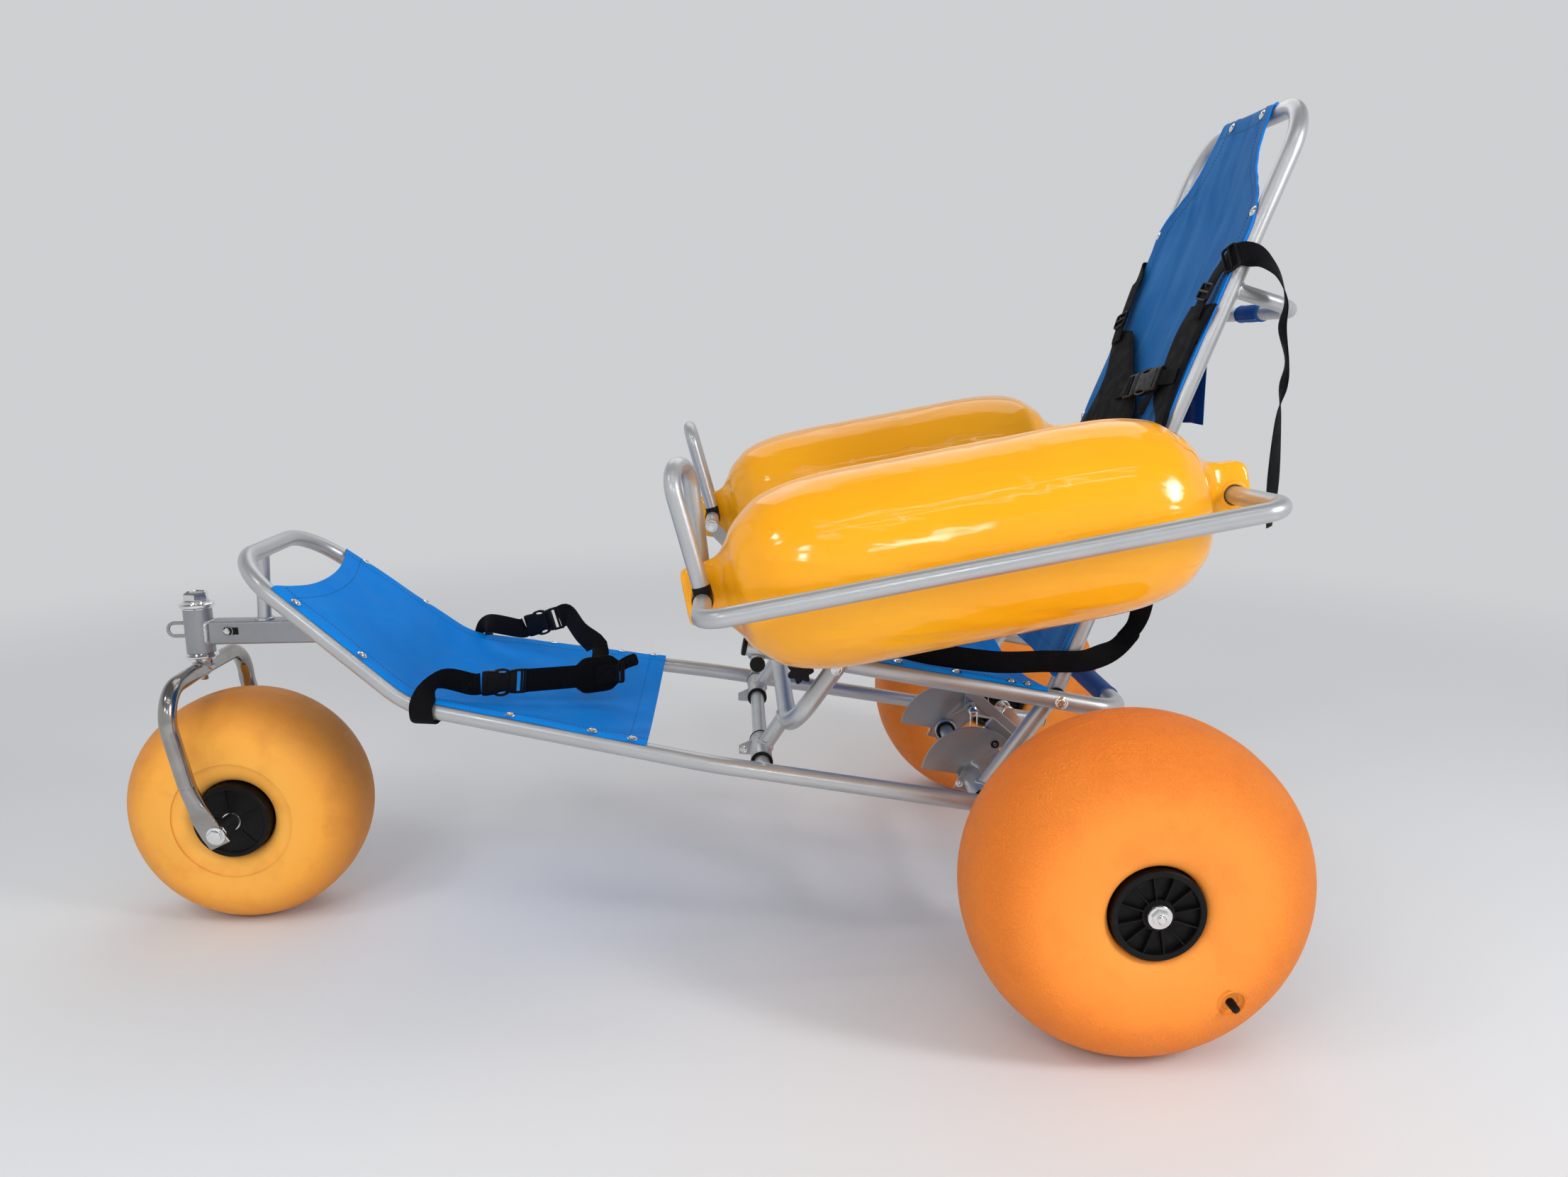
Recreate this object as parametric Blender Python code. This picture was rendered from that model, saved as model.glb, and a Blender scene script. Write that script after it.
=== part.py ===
"""Floating beach wheelchair, a frame of bent tubes on three balloon wheels, front towards -X, near side -Y."""
from math import atan2, ceil, cos, degrees, pi, radians, sin, tan

import bmesh
import bpy
from mathutils import Matrix, Quaternion, Vector

for old in list(bpy.data.objects):
    bpy.data.objects.remove(old, do_unlink=True)

# Driving dimensions in metres
GAP = 0.0003
RAIL_R = 0.014
SEAT_R = 0.015
BACK_R = 0.014
ARM_R = 0.013
CROSS_R = 0.0125
SLEEVE_R = 0.0175
BORE_R = 0.0130
REAR_R = 0.245
REAR_HALF = 0.120
REAR_Y = 0.500
FRONT_R = 0.2047
FRONT_HALF = 0.100
FRONT_X = -1.4232
HEAD_X = -1.487
TYRE_CORE = 0.5
WALL = 0.0055
HUB_R = 0.0645
HUB_CORE = 0.0555
AXLE_R = 0.0103
BACK_PIVOT = (-0.1560, 0.2660)
LINK_PIVOT = (-0.5176, 0.3380)
SWING = (0.1172, 0.1645)
SEAT_Y = 0.233
BACK_Y = 0.200
LINK_Y = 0.267
ARM_REAR = (0.1421, 0.7828)
ARM_FRONT = (-0.6000, 0.6500)
ARM_Y = 0.580
FLOAT_Y = 0.410
FLOAT_R = 0.138
KNOB = (-0.4565, 0.4975)
PIN = (-0.1165, 0.3225)
PLATE_Y = 0.127
PLATE_R = 0.087
CLOTH = 0.0024
EDGE_TURN = 0.62

# The drawing above starts at the rear axle; the finished object stands with its middle over the origin
REARMOST = 0.351
CENTRE_SHIFT = (REARMOST + FRONT_R - FRONT_X) / 2 - REARMOST

SEAT_BOLT = (BACK_PIVOT[0] + SWING[0], BACK_PIVOT[1] + SWING[1])
LINK_BOLT = (LINK_PIVOT[0] + SWING[0], LINK_PIVOT[1] + SWING[1])
SEAT_SLOPE = (SEAT_BOLT[1] - LINK_BOLT[1]) / (SEAT_BOLT[0] - LINK_BOLT[0])

materials = {}


def material(name, rgb, metallic, roughness):
    """One plain surface, kept by name so that every node gets its own copy."""
    materials[name] = (rgb, metallic, roughness)


material("silver paint", (0.56, 0.57, 0.58), 0.6, 0.38)
material("grey paint", (0.30, 0.31, 0.33), 0.5, 0.42)
material("stainless", (0.62, 0.62, 0.62), 1.0, 0.22)
material("chrome", (0.75, 0.75, 0.75), 1.0, 0.12)
material("black plastic", (0.02, 0.02, 0.022), 0.0, 0.45)
material("webbing", (0.015, 0.015, 0.017), 0.0, 0.8)
material("blue cloth", (0.012, 0.14, 0.52), 0.0, 0.45)
material("blue cover", (0.02, 0.08, 0.30), 0.0, 0.5)
material("orange rubber", (0.85, 0.20, 0.03), 0.0, 0.55)
material("yellow vinyl", (0.95, 0.42, 0.03), 0.0, 0.25)


def paint(obj, kind):
    rgb, metallic, roughness = materials[kind]
    skin = bpy.data.materials.new(obj.name + " " + kind)
    skin.use_nodes = True
    skin.diffuse_color = (rgb[0], rgb[1], rgb[2], 1.0)
    shader = skin.node_tree.nodes["Principled BSDF"]
    shader.inputs["Base Color"].default_value = (rgb[0], rgb[1], rgb[2], 1.0)
    shader.inputs["Metallic"].default_value = metallic
    shader.inputs["Roughness"].default_value = roughness
    obj.data.materials.clear()
    obj.data.materials.append(skin)


def raw(shape):
    """A mesh object from a shape, which is a pair of points and faces."""
    mesh = bpy.data.meshes.new("piece")
    mesh.from_pydata([tuple(v) for v in shape[0]], [], shape[1])
    work = bmesh.new()
    work.from_mesh(mesh)
    bmesh.ops.recalc_face_normals(work, faces=work.faces)
    if work.calc_volume(signed=True) < 0:
        bmesh.ops.reverse_faces(work, faces=work.faces)
    work.to_mesh(mesh)
    work.free()
    obj = bpy.data.objects.new("piece", mesh)
    bpy.context.scene.collection.objects.link(obj)
    return obj


def apply_boolean(obj, other, how):
    step = obj.modifiers.new("step", "BOOLEAN")
    step.operation = how
    step.solver = "EXACT"
    step.object = other
    graph = bpy.context.evaluated_depsgraph_get()
    mesh = bpy.data.meshes.new_from_object(obj.evaluated_get(graph))
    obj.modifiers.clear()
    obj.data = mesh
    bpy.data.objects.remove(other, do_unlink=True)


def node(name, kind, shapes, cuts=(), origin=(0.0, 0.0, 0.0), angle=40.0):
    """One named part: its shapes are welded into one solid, the cuts are taken away, the origin is set."""
    obj = raw(shapes[0])
    for shape in shapes[1:]:
        apply_boolean(obj, raw(shape), "UNION")
    for shape in cuts:
        apply_boolean(obj, raw(shape), "DIFFERENCE")
    if len(shapes) > 1 or cuts:
        work = bmesh.new()
        work.from_mesh(obj.data)
        bmesh.ops.remove_doubles(work, verts=work.verts, dist=0.00002)
        bmesh.ops.dissolve_degenerate(work, edges=work.edges, dist=0.00002)
        work.to_mesh(obj.data)
        work.free()
    obj.name = name
    obj.data.name = name
    obj.data.transform(Matrix.Translation(-Vector(origin)))
    obj.location = Vector(origin) + Vector((CENTRE_SHIFT, 0, 0))
    for face in obj.data.polygons:
        face.use_smooth = True
    obj.data.set_sharp_from_angle(angle=radians(angle))
    paint(obj, kind)
    return obj


def rounded(points, radius, step=26.0):
    """A polyline with its inner corners turned into arcs, one radius or one for each point."""
    pts = [Vector(p) for p in points]
    radii = list(radius) if isinstance(radius, (list, tuple)) else [radius] * len(pts)
    last = len(pts) - 1
    turns = [0.0] * (last + 1)
    reach = [0.0] * (last + 1)
    for i in range(1, last):
        turns[i] = (pts[i] - pts[i - 1]).angle(pts[i + 1] - pts[i])
        reach[i] = radii[i] * tan(turns[i] / 2)
    for i in range(last):
        room = 0.97 * (pts[i + 1] - pts[i]).length
        if reach[i] + reach[i + 1] > room:
            ratio = room / (reach[i] + reach[i + 1])
            reach[i] *= ratio
            reach[i + 1] *= ratio
    out = [pts[0]]
    for i in range(1, last):
        if turns[i] < 0.01 or reach[i] == 0:
            out.append(pts[i])
            continue
        back = (pts[i - 1] - pts[i]).normalized()
        ahead = (pts[i + 1] - pts[i]).normalized()
        centre = pts[i] + (back + ahead).normalized() * (reach[i] / sin(turns[i] / 2))
        arm = pts[i] + back * reach[i] - centre
        axis = (-back).cross(ahead).normalized()
        count = max(2, ceil(degrees(turns[i]) / step))
        for k in range(count + 1):
            out.append(centre + Quaternion(axis, turns[i] * k / count) @ arm)
    out.append(pts[-1])
    return out


def circle(radius, sides, start=0.0):
    turns = [start + 2 * pi * k / sides for k in range(sides)]
    return [(radius * cos(a), radius * sin(a)) for a in turns]


def sweep(path, outline, up=(0.0, 0.0, 1.0), ups=None):
    """Carry an outline along a path, without twist or with the given up directions, ends closed."""
    path = [Vector(p) for p in path]
    count = len(path)
    tangents = []
    for i in range(count):
        a = path[max(i - 1, 0)]
        b = path[min(i + 1, count - 1)]
        if 0 < i < count - 1:
            t = (path[i] - a).normalized() + (b - path[i]).normalized()
        else:
            t = b - a
        tangents.append(t.normalized())
    verts = []
    ring_up = Vector(up)
    for i in range(count):
        t = tangents[i]
        if ups is not None:
            ring_up = Vector(ups[i])
        elif i > 0:
            ring_up = tangents[i - 1].rotation_difference(t) @ ring_up
        ring_up = (ring_up - t * ring_up.dot(t)).normalized()
        side = t.cross(ring_up).normalized()
        for a, b in outline:
            verts.append(path[i] + side * a + ring_up * b)
    n = len(outline)
    faces = [list(range(n))[::-1]]
    for i in range(count - 1):
        for k in range(n):
            a = i * n + k
            b = i * n + (k + 1) % n
            faces.append([a, b, b + n, a + n])
    faces.append([(count - 1) * n + k for k in range(n)])
    return verts, faces


def tube(points, radius, bend=0.05, sides=12, step=26.0):
    path = rounded(points, bend, step)
    first = (path[1] - path[0]).normalized()
    up = (0.0, 0.0, 1.0) if abs(first.z) < 0.9 else (1.0, 0.0, 0.0)
    return sweep(path, circle(radius, sides, pi / sides), up)


def bar(a, b, radius, sides=12):
    return tube([a, b], radius, sides=sides)


def pin(x, z, y0, y1, radius, sides=16):
    """A round bar along Y."""
    return bar((x, y0, z), (x, y1, z), radius, sides)


def strap(points, width, thick, ups, bend=0.02, step=30.0, plain=False):
    """A flat band: ups gives the direction of the band's face at each given point."""
    path = [Vector(p) for p in points] if plain else rounded(points, bend, step)
    given = [Vector(p) for p in points]
    faces_up = []
    for p in path:
        near = sorted(range(len(given)), key=lambda i: (given[i] - p).length)[:2]
        w0 = (given[near[1]] - p).length + 1e-6
        w1 = (given[near[0]] - p).length + 1e-6
        faces_up.append((Vector(ups[near[0]]) * w0 + Vector(ups[near[1]]) * w1).normalized())
    wide = width / 2
    tall = thick / 2
    verts, faces = sweep(path, [(-wide, -tall), (wide, -tall), (wide, tall), (-wide, tall)], ups=faces_up)
    # A twisted band is cut along the same diagonal on its face and its back, so that it keeps its thickness
    flat = [faces[0], faces[-1]]
    for k, (a, b, c, d) in enumerate(faces[1:-1]):
        flat += [[a, b, d], [b, c, d]] if k % 4 == 2 else [[a, b, c], [a, c, d]]
    return verts, flat


def revolve(profile, centre, sides, along="Y"):
    """Turn a closed loop of (radius, offset) pairs about an axis, no point on the axis itself."""
    verts = []
    for k in range(sides):
        a = 2 * pi * k / sides
        for r, t in profile:
            p = (r * cos(a), t, r * sin(a)) if along == "Y" else (r * cos(a), r * sin(a), t)
            verts.append(Vector(p) + Vector(centre))
    n = len(profile)
    faces = []
    for k in range(sides):
        for j in range(n):
            a = k * n + j
            b = k * n + (j + 1) % n
            c = ((k + 1) % sides) * n
            faces.append([a, b, c + (j + 1) % n, c + j])
    return verts, faces


def ring(inner, outer, t0, t1, centre, sides=24, along="Y"):
    return revolve([(inner, t0), (outer, t0), (outer, t1), (inner, t1)], centre, sides, along)


def slab(outline, y0, y1):
    """A plate cut from an outline of (x, z) points, between two Y planes."""
    n = len(outline)
    verts = [Vector((x, y0, z)) for x, z in outline] + [Vector((x, y1, z)) for x, z in outline]
    faces = [list(range(n)), [n + k for k in range(n)][::-1]]
    for k in range(n):
        faces.append([k, (k + 1) % n, n + (k + 1) % n, n + k])
    return verts, faces


def box(x0, x1, y0, y1, z0, z1):
    return slab([(x0, z0), (x1, z0), (x1, z1), (x0, z1)], y0, y1)


def sheet(grid, thick, away):
    """A thin closed solid from a grid of points on its middle face; away says which side is its face side."""
    rows = len(grid)
    cols = len(grid[0])
    verts = []
    normals = []
    for i in range(rows):
        for j in range(cols):
            du = grid[min(i + 1, rows - 1)][j] - grid[max(i - 1, 0)][j]
            dv = grid[i][min(j + 1, cols - 1)] - grid[i][max(j - 1, 0)]
            n = du.cross(dv).normalized()
            if n.dot(Vector(away)) < 0:
                n = -n
            normals.append(n)
    flat = [p for row in grid for p in row]
    for sign in (0.5, -0.5):
        verts += [p + n * thick * sign for p, n in zip(flat, normals)]
    size = rows * cols
    faces = []
    for i in range(rows - 1):
        for j in range(cols - 1):
            a = i * cols + j
            faces.append([a, a + 1, a + cols + 1, a + cols])
            faces.append([size + a, size + a + cols, size + a + cols + 1, size + a + 1])
    edge = [(0, j) for j in range(cols)] + [(i, cols - 1) for i in range(1, rows)]
    edge += [(rows - 1, j) for j in range(cols - 2, -1, -1)] + [(i, 0) for i in range(rows - 2, 0, -1)]
    for k in range(len(edge)):
        a = edge[k][0] * cols + edge[k][1]
        b = edge[(k + 1) % len(edge)][0] * cols + edge[(k + 1) % len(edge)][1]
        faces.append([a, a + size, b + size, b])
    return verts, faces


def side_name(s):
    return "left" if s < 0 else "right"


def seat_z(x):
    return SEAT_BOLT[1] + SEAT_SLOPE * (x - SEAT_BOLT[0])


# Chassis: two rails joined by a raised loop, with all its welded cross tubes
def rail_corners(s):
    return [(0.075, s * 0.276, 0.2317), (-0.600, s * 0.2735, 0.3512), (-1.075, s * 0.213, 0.438),
            (-1.352, s * 0.165, 0.664)]


RAIL_PATH = rounded(rail_corners(-1) + rail_corners(1)[::-1], [0, 0.4, 0.16, 0.10, 0.10, 0.16, 0.4, 0], 24)


def rail_at(x):
    """Centre of the near rail (as positive y and z) where it passes a given x."""
    half = [p for p in RAIL_PATH if p.y < 0]
    for a, b in zip(half, half[1:]):
        if b.x <= x <= a.x:
            f = (x - a.x) / (b.x - a.x)
            return -(a.y + (b.y - a.y) * f), a.z + (b.z - a.z) * f
    return -half[-1].y, half[-1].z


main_tube = sweep(RAIL_PATH, circle(RAIL_R, 12, pi / 12), (0, 0, 1))
chassis_cuts = []
for s in (-1, 1):
    chassis_cuts.append(pin(0, REAR_R, s * 0.245, s * 0.3201, AXLE_R + GAP))
node("chassis_frame", "silver paint",
     [main_tube,
      pin(LINK_PIVOT[0], LINK_PIVOT[1], -0.268, 0.268, CROSS_R),
      pin(BACK_PIVOT[0], BACK_PIVOT[1], -0.270, 0.270, CROSS_R),
      pin(0, REAR_R, -0.320, 0.320, 0.0155),
      pin(-1.1706, 0.516, -0.192, 0.192, 0.011),
      bar((-1.3665, 0, 0.660), (-1.3735, 0, 0.5368), 0.0115)],
     chassis_cuts)

# Square receiver tube with a hole for the push pin
INNER = 0.0165
node("receiver_tube", "grey paint",
     [box(-1.4620, -1.1822, -0.020, 0.020, 0.496, 0.536)],
     [box(-1.4800, -1.1700, -INNER, INNER, 0.516 - INNER, 0.516 + INNER),
      pin(-1.4308, 0.520, -0.03, 0, 0.0034, 12)])
node("neck_lock_pin", "chrome",
     [pin(-1.4308, 0.520, -0.0270, -0.0208, 0.0070, 12), pin(-1.4308, 0.520, -0.0215, -0.0130, 0.0030, 12)],
     origin=(-1.4308, -0.024, 0.520))

# Neck: head tube with its square stub, which has a travel groove for the push pin, and a welded pull ring
STUB = INNER - GAP
neck_z0 = 0.480
neck_z1 = 0.557
loop_x = HEAD_X - 0.0210
node("neck_tube", "grey paint",
     [bar((HEAD_X, 0, neck_z0), (HEAD_X, 0, neck_z1), 0.0235, 20),
      box(HEAD_X + 0.015, -1.215, -STUB, STUB, 0.516 - STUB, 0.516 + STUB),
      tube([(loop_x, 0, 0.5315), (loop_x - 0.032, 0, 0.5315), (loop_x - 0.032, 0, 0.5085),
            (loop_x, 0, 0.5085)], 0.0030, 0.008, 8)],
     [bar((HEAD_X, 0, 0.40), (HEAD_X, 0, 0.60), 0.0170, 16),
      box(-1.4352, -1.3650, -0.03, -0.0115, 0.5154, 0.5246)],
     origin=(HEAD_X, 0, 0.516))
node("headset_cup_upper", "chrome",
     [ring(0.0130, 0.0285, neck_z1 + GAP, neck_z1 + 0.0135, (HEAD_X, 0, 0), 20, "Z")],
     origin=(HEAD_X, 0, neck_z1))
node("headset_race_lower", "chrome",
     [ring(0.0130, 0.0275, neck_z0 - 0.0130, neck_z0 - GAP, (HEAD_X, 0, 0), 20, "Z")],
     origin=(HEAD_X, 0, neck_z0))
node("headset_nut", "chrome",
     [ring(0.0150, 0.0210, neck_z1 + 0.0150, neck_z1 + 0.0300, (HEAD_X, 0, 0), 6, "Z")],
     origin=(HEAD_X, 0, neck_z1 + 0.015), angle=30)


# Fork: one bent stainless tube, its legs end in flat plates; the steering stem is welded to the crown
FORK_Y = 0.158
fork_half = [(HEAD_X, 0.0, 0.4515), (-1.4830, FORK_Y, 0.4515), (-1.4810, FORK_Y, 0.3850),
             (-1.4545, FORK_Y, 0.2600)]


def flip(points):
    return [(x, -y, z) for x, y, z in points]


fork_path = rounded(flip(fork_half)[::-1] + fork_half[1:], [0, 0.08, 0.055, 0, 0.055, 0.08, 0], 30)
fork_shapes = [sweep(fork_path, circle(0.0140, 12, pi / 12), (1, 0, 0)),
               bar((HEAD_X, 0, 0.4440), (HEAD_X, 0, neck_z1 + 0.0285), 0.0125, 16)]
for s in (-1, 1):
    top = Vector((-1.4560, 0, 0.2680))
    low = Vector((-1.4180, 0, 0.1860))
    run = (low - top).normalized()
    side = Vector((run.z, 0, -run.x))
    corners = [top - side * 0.0120, top + side * 0.0120, top + run * 0.030 + side * 0.018, low + side * 0.018,
               low - side * 0.018, top + run * 0.030 - side * 0.018]
    fork_shapes.append(slab([(p.x, p.z) for p in corners], s * (FORK_Y - 0.0035), s * (FORK_Y + 0.0035)))
fork_cuts = [pin(FRONT_X, FRONT_R, s * 0.14, s * 0.17, AXLE_R + GAP) for s in (-1, 1)]
node("caster_fork", "stainless", fork_shapes, fork_cuts, origin=(HEAD_X, 0, 0.452))


def bulge(radius, half, steps):
    """Points of a balloon tyre's cross section from the near side round the tread to the far side."""
    core = TYRE_CORE * radius
    points = []
    for k in range(-steps, steps + 1):
        a = pi / 2 * k / steps
        out = cos(a) ** (2 / 2.6) if k not in (-steps, steps) else 0.0
        points.append((core + (radius - core) * out, half * (1 if k > 0 else -1) * abs(sin(a)) ** (2 / 2.6)))
    return points


def tyre_profile(radius, half):
    """The tyre is an air filled shell, open between its two beads, where the hub closes it."""
    floor = half - 0.022
    inner = bulge(radius - WALL, half - WALL, 2)[::-1]
    shell = [(0.0565, -floor), (0.0675, -floor), (0.0750, 0.009 - half)] + bulge(radius, half, 4)
    shell += [(0.0750, half - 0.009), (0.0675, floor), (0.0565, floor), (0.0565, floor - 0.012)]
    return shell + [(0.0740, floor - 0.012)] + inner + [(0.0740, 0.012 - floor), (0.0565, 0.012 - floor)]


def hub_profile(half, face):
    lip = half - 0.0217
    return [(AXLE_R + 0.0005, -face), (HUB_R, -face), (HUB_R, -lip), (HUB_CORE, -lip), (HUB_CORE, lip),
            (HUB_R, lip), (HUB_R, face), (AXLE_R + 0.0005, face)]


def wheel(name, x, y, radius, half, face, sides=24):
    at = (x, y, radius)
    node(name + "_tyre" + ("" if y == 0 else "_" + side_name(y)), "orange rubber",
         [revolve(tyre_profile(radius, half), at, sides)], origin=at, angle=60)
    node(name + "_hub" + ("" if y == 0 else "_" + side_name(y)), "black plastic",
         [revolve(hub_profile(half, face), at, 18)], origin=at)


wheel("front", FRONT_X, 0, FRONT_R, FRONT_HALF, 0.102)
node("front_axle", "chrome",
     [pin(FRONT_X, FRONT_R, -0.1700, 0.1700, AXLE_R)] +
     [pin(FRONT_X, FRONT_R, s * 0.1026, s * 0.1541, 0.0145) for s in (-1, 1)] +
     [pin(FRONT_X, FRONT_R, s * 0.1619, s * 0.1690, 0.0150, 6) for s in (-1, 1)],
     origin=(FRONT_X, 0, FRONT_R))
for s in (-1, 1):
    wheel("rear", 0, s * REAR_Y, REAR_R, REAR_HALF, 0.112)
    node("rear_axle_" + side_name(s), "chrome",
         [pin(0, REAR_R, s * 0.246, s * 0.6235, AXLE_R),
          pin(0, REAR_R, s * 0.3205, s * 0.3870, 0.0150),
          pin(0, REAR_R, s * 0.6130, s * 0.6200, 0.0160)],
         origin=(0, s * 0.5, REAR_R))

# Seat frame: two rails and a rear bend, a front cross bar below them, two lugs for the star knobs
seat_path = [(-0.5385, -SEAT_Y, seat_z(-0.5385)), (0.0690, -SEAT_Y, seat_z(0.0690)),
             (0.0690, SEAT_Y, seat_z(0.0690)), (-0.5385, SEAT_Y, seat_z(-0.5385))]
lug = [(KNOB[0] - 0.013, KNOB[1] + 0.018), (KNOB[0] - 0.010, KNOB[1] - 0.010),
       (KNOB[0] + 0.010, KNOB[1] - 0.010), (KNOB[0] + 0.013, KNOB[1] + 0.018)]
seat_shapes = [tube(seat_path, SEAT_R, [0, 0.055, 0.055, 0], 12, 24),
               pin(-0.5225, seat_z(-0.5225) - 0.0235, -0.250, 0.250, 0.011)]
seat_cuts = []
for s in (-1, 1):
    seat_shapes.append(slab(lug, s * 0.2380, s * 0.2430))
    seat_cuts.append(pin(KNOB[0], KNOB[1], s * 0.20, s * 0.30, 0.0045, 12))
node("seat_frame", "silver paint", seat_shapes, seat_cuts, origin=(SEAT_BOLT[0], 0, SEAT_BOLT[1]))
run = Vector((1, 0, SEAT_SLOPE)).normalized()
for s in (-1, 1):
    end = Vector(seat_path[0])
    end.y = s * SEAT_Y
    node("seat_cap_" + side_name(s), "black plastic",
         [bar(end - run * 0.0075, end - run * 0.0005, 0.0158, 16)], origin=end)
    knob_shapes = []
    lobes = []
    for k in range(28):
        a = 2 * pi * k / 28
        r = 0.0185 + 0.0030 * cos(7 * a)
        lobes.append((KNOB[0] + r * cos(a), KNOB[1] + r * sin(a)))
    node("star_knob_" + side_name(s), "black plastic",
         [slab(lobes, s * 0.2590, s * 0.2740), pin(KNOB[0], KNOB[1], s * 0.2340, s * 0.2600, 0.0040, 12)],
         origin=(KNOB[0], s * 0.2665, KNOB[1]))
# Front link: sleeves on the front cross tube, short struts and a bent tube U outside the seat rails
low = (LINK_PIVOT[0] + 0.0436, LINK_PIVOT[1] + 0.0640)
leg = Vector((LINK_BOLT[0] - low[0], 0, LINK_BOLT[1] - low[1])).normalized()
tip = Vector((LINK_BOLT[0], 0, LINK_BOLT[1])) + leg * 0.021
u_path = [(tip.x, -LINK_Y, tip.z), (low[0], -LINK_Y, low[1]), (low[0], LINK_Y, low[1]),
          (tip.x, LINK_Y, tip.z)]
link_shapes = [tube(u_path, 0.0148, [0, 0.055, 0.055, 0], 12, 26)]
link_cuts = []
for s in (-1, 1):
    link_shapes.append(pin(LINK_PIVOT[0], LINK_PIVOT[1], s * 0.128, s * 0.235, SLEEVE_R))
    strut_foot = (LINK_PIVOT[0] + 0.004, s * 0.178, LINK_PIVOT[1] + 0.006)
    link_shapes.append(bar(strut_foot, (low[0], s * 0.178, low[1]), 0.013))
    clamp = [(LINK_PIVOT[0] - 0.036, LINK_PIVOT[1] - 0.013), (LINK_PIVOT[0], LINK_PIVOT[1] - 0.0165),
             (LINK_PIVOT[0], LINK_PIVOT[1] + 0.0165), (LINK_PIVOT[0] - 0.036, LINK_PIVOT[1] + 0.001)]
    link_shapes.append(slab(clamp, s * 0.150, s * 0.156))
link_cuts.append(pin(LINK_PIVOT[0], LINK_PIVOT[1], -0.30, 0.30, BORE_R))
node("front_link", "silver paint", link_shapes, link_cuts, origin=(LINK_PIVOT[0], 0, LINK_PIVOT[1]))
for s in (-1, 1):
    seat = Vector((tip.x, s * LINK_Y, tip.z))
    node("link_plug_" + side_name(s), "black plastic",
         [bar(seat + leg * 0.0003, seat + leg * 0.0060, 0.0150, 12)], origin=seat)

# Backrest: bent tube with lower struts on sleeves, lugs for the armrests, a push handle bow
UP = Vector((0.158, 0, 0.403)).normalized()
FRONT = Vector((-UP.z, 0, UP.x))
KNEE = Vector((SEAT_BOLT[0], 0, SEAT_BOLT[1]))
CROWN_H = 0.985


def on_back(h, y, n=0.0):
    """A point of the backrest: h up along the tubes from the seat bolt, y across, n to its front."""
    p = KNEE + UP * h + FRONT * n
    return Vector((p.x, y, p.z))


back_path = [(BACK_PIVOT[0], -BACK_Y, BACK_PIVOT[1]), on_back(0, -BACK_Y), on_back(CROWN_H, -BACK_Y),
             on_back(CROWN_H, BACK_Y), on_back(0, BACK_Y), (BACK_PIVOT[0], BACK_Y, BACK_PIVOT[1])]
back_shapes = [tube(back_path, BACK_R, [0, 0.12, 0.085, 0.085, 0.12, 0], 12, 24)]
handle_h = 0.690
bow = [on_back(handle_h, -BACK_Y), (0.336, -0.172, 1.040), (0.336, 0.172, 1.040), on_back(handle_h, BACK_Y)]
back_shapes.append(tube(bow, 0.012, [0, 0.060, 0.060, 0], 10, 26))
back_cuts = [pin(BACK_PIVOT[0], BACK_PIVOT[1], -0.30, 0.30, BORE_R)]
arm_h = (ARM_REAR[1] - KNEE.z) / UP.z
arm_on_tube = KNEE + UP * arm_h
for s in (-1, 1):
    back_shapes.append(pin(BACK_PIVOT[0], BACK_PIVOT[1], s * 0.118, s * 0.236, SLEEVE_R))
    eye = []
    for k in range(9):
        a = -pi / 2 + pi * k / 8
        eye.append((ARM_REAR[0] + 0.016 * cos(a), ARM_REAR[1] + 0.016 * sin(a)))
    eye = [(arm_on_tube.x, ARM_REAR[1] - 0.016)] + eye + [(arm_on_tube.x, ARM_REAR[1] + 0.016)]
    back_shapes.append(slab(eye, s * 0.1970, s * 0.2030))
    back_cuts.append(pin(ARM_REAR[0], ARM_REAR[1], s * 0.15, s * 0.25, 0.0075, 12))
node("backrest_frame", "silver paint", back_shapes, back_cuts, origin=(BACK_PIVOT[0], 0, BACK_PIVOT[1]))
node("handle_cover", "blue cover",
     [ring(0.012 + GAP, 0.0150, -0.042, 0.042, (0.336, 0, 1.040), 16)], origin=(0.336, 0, 1.040))

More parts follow.
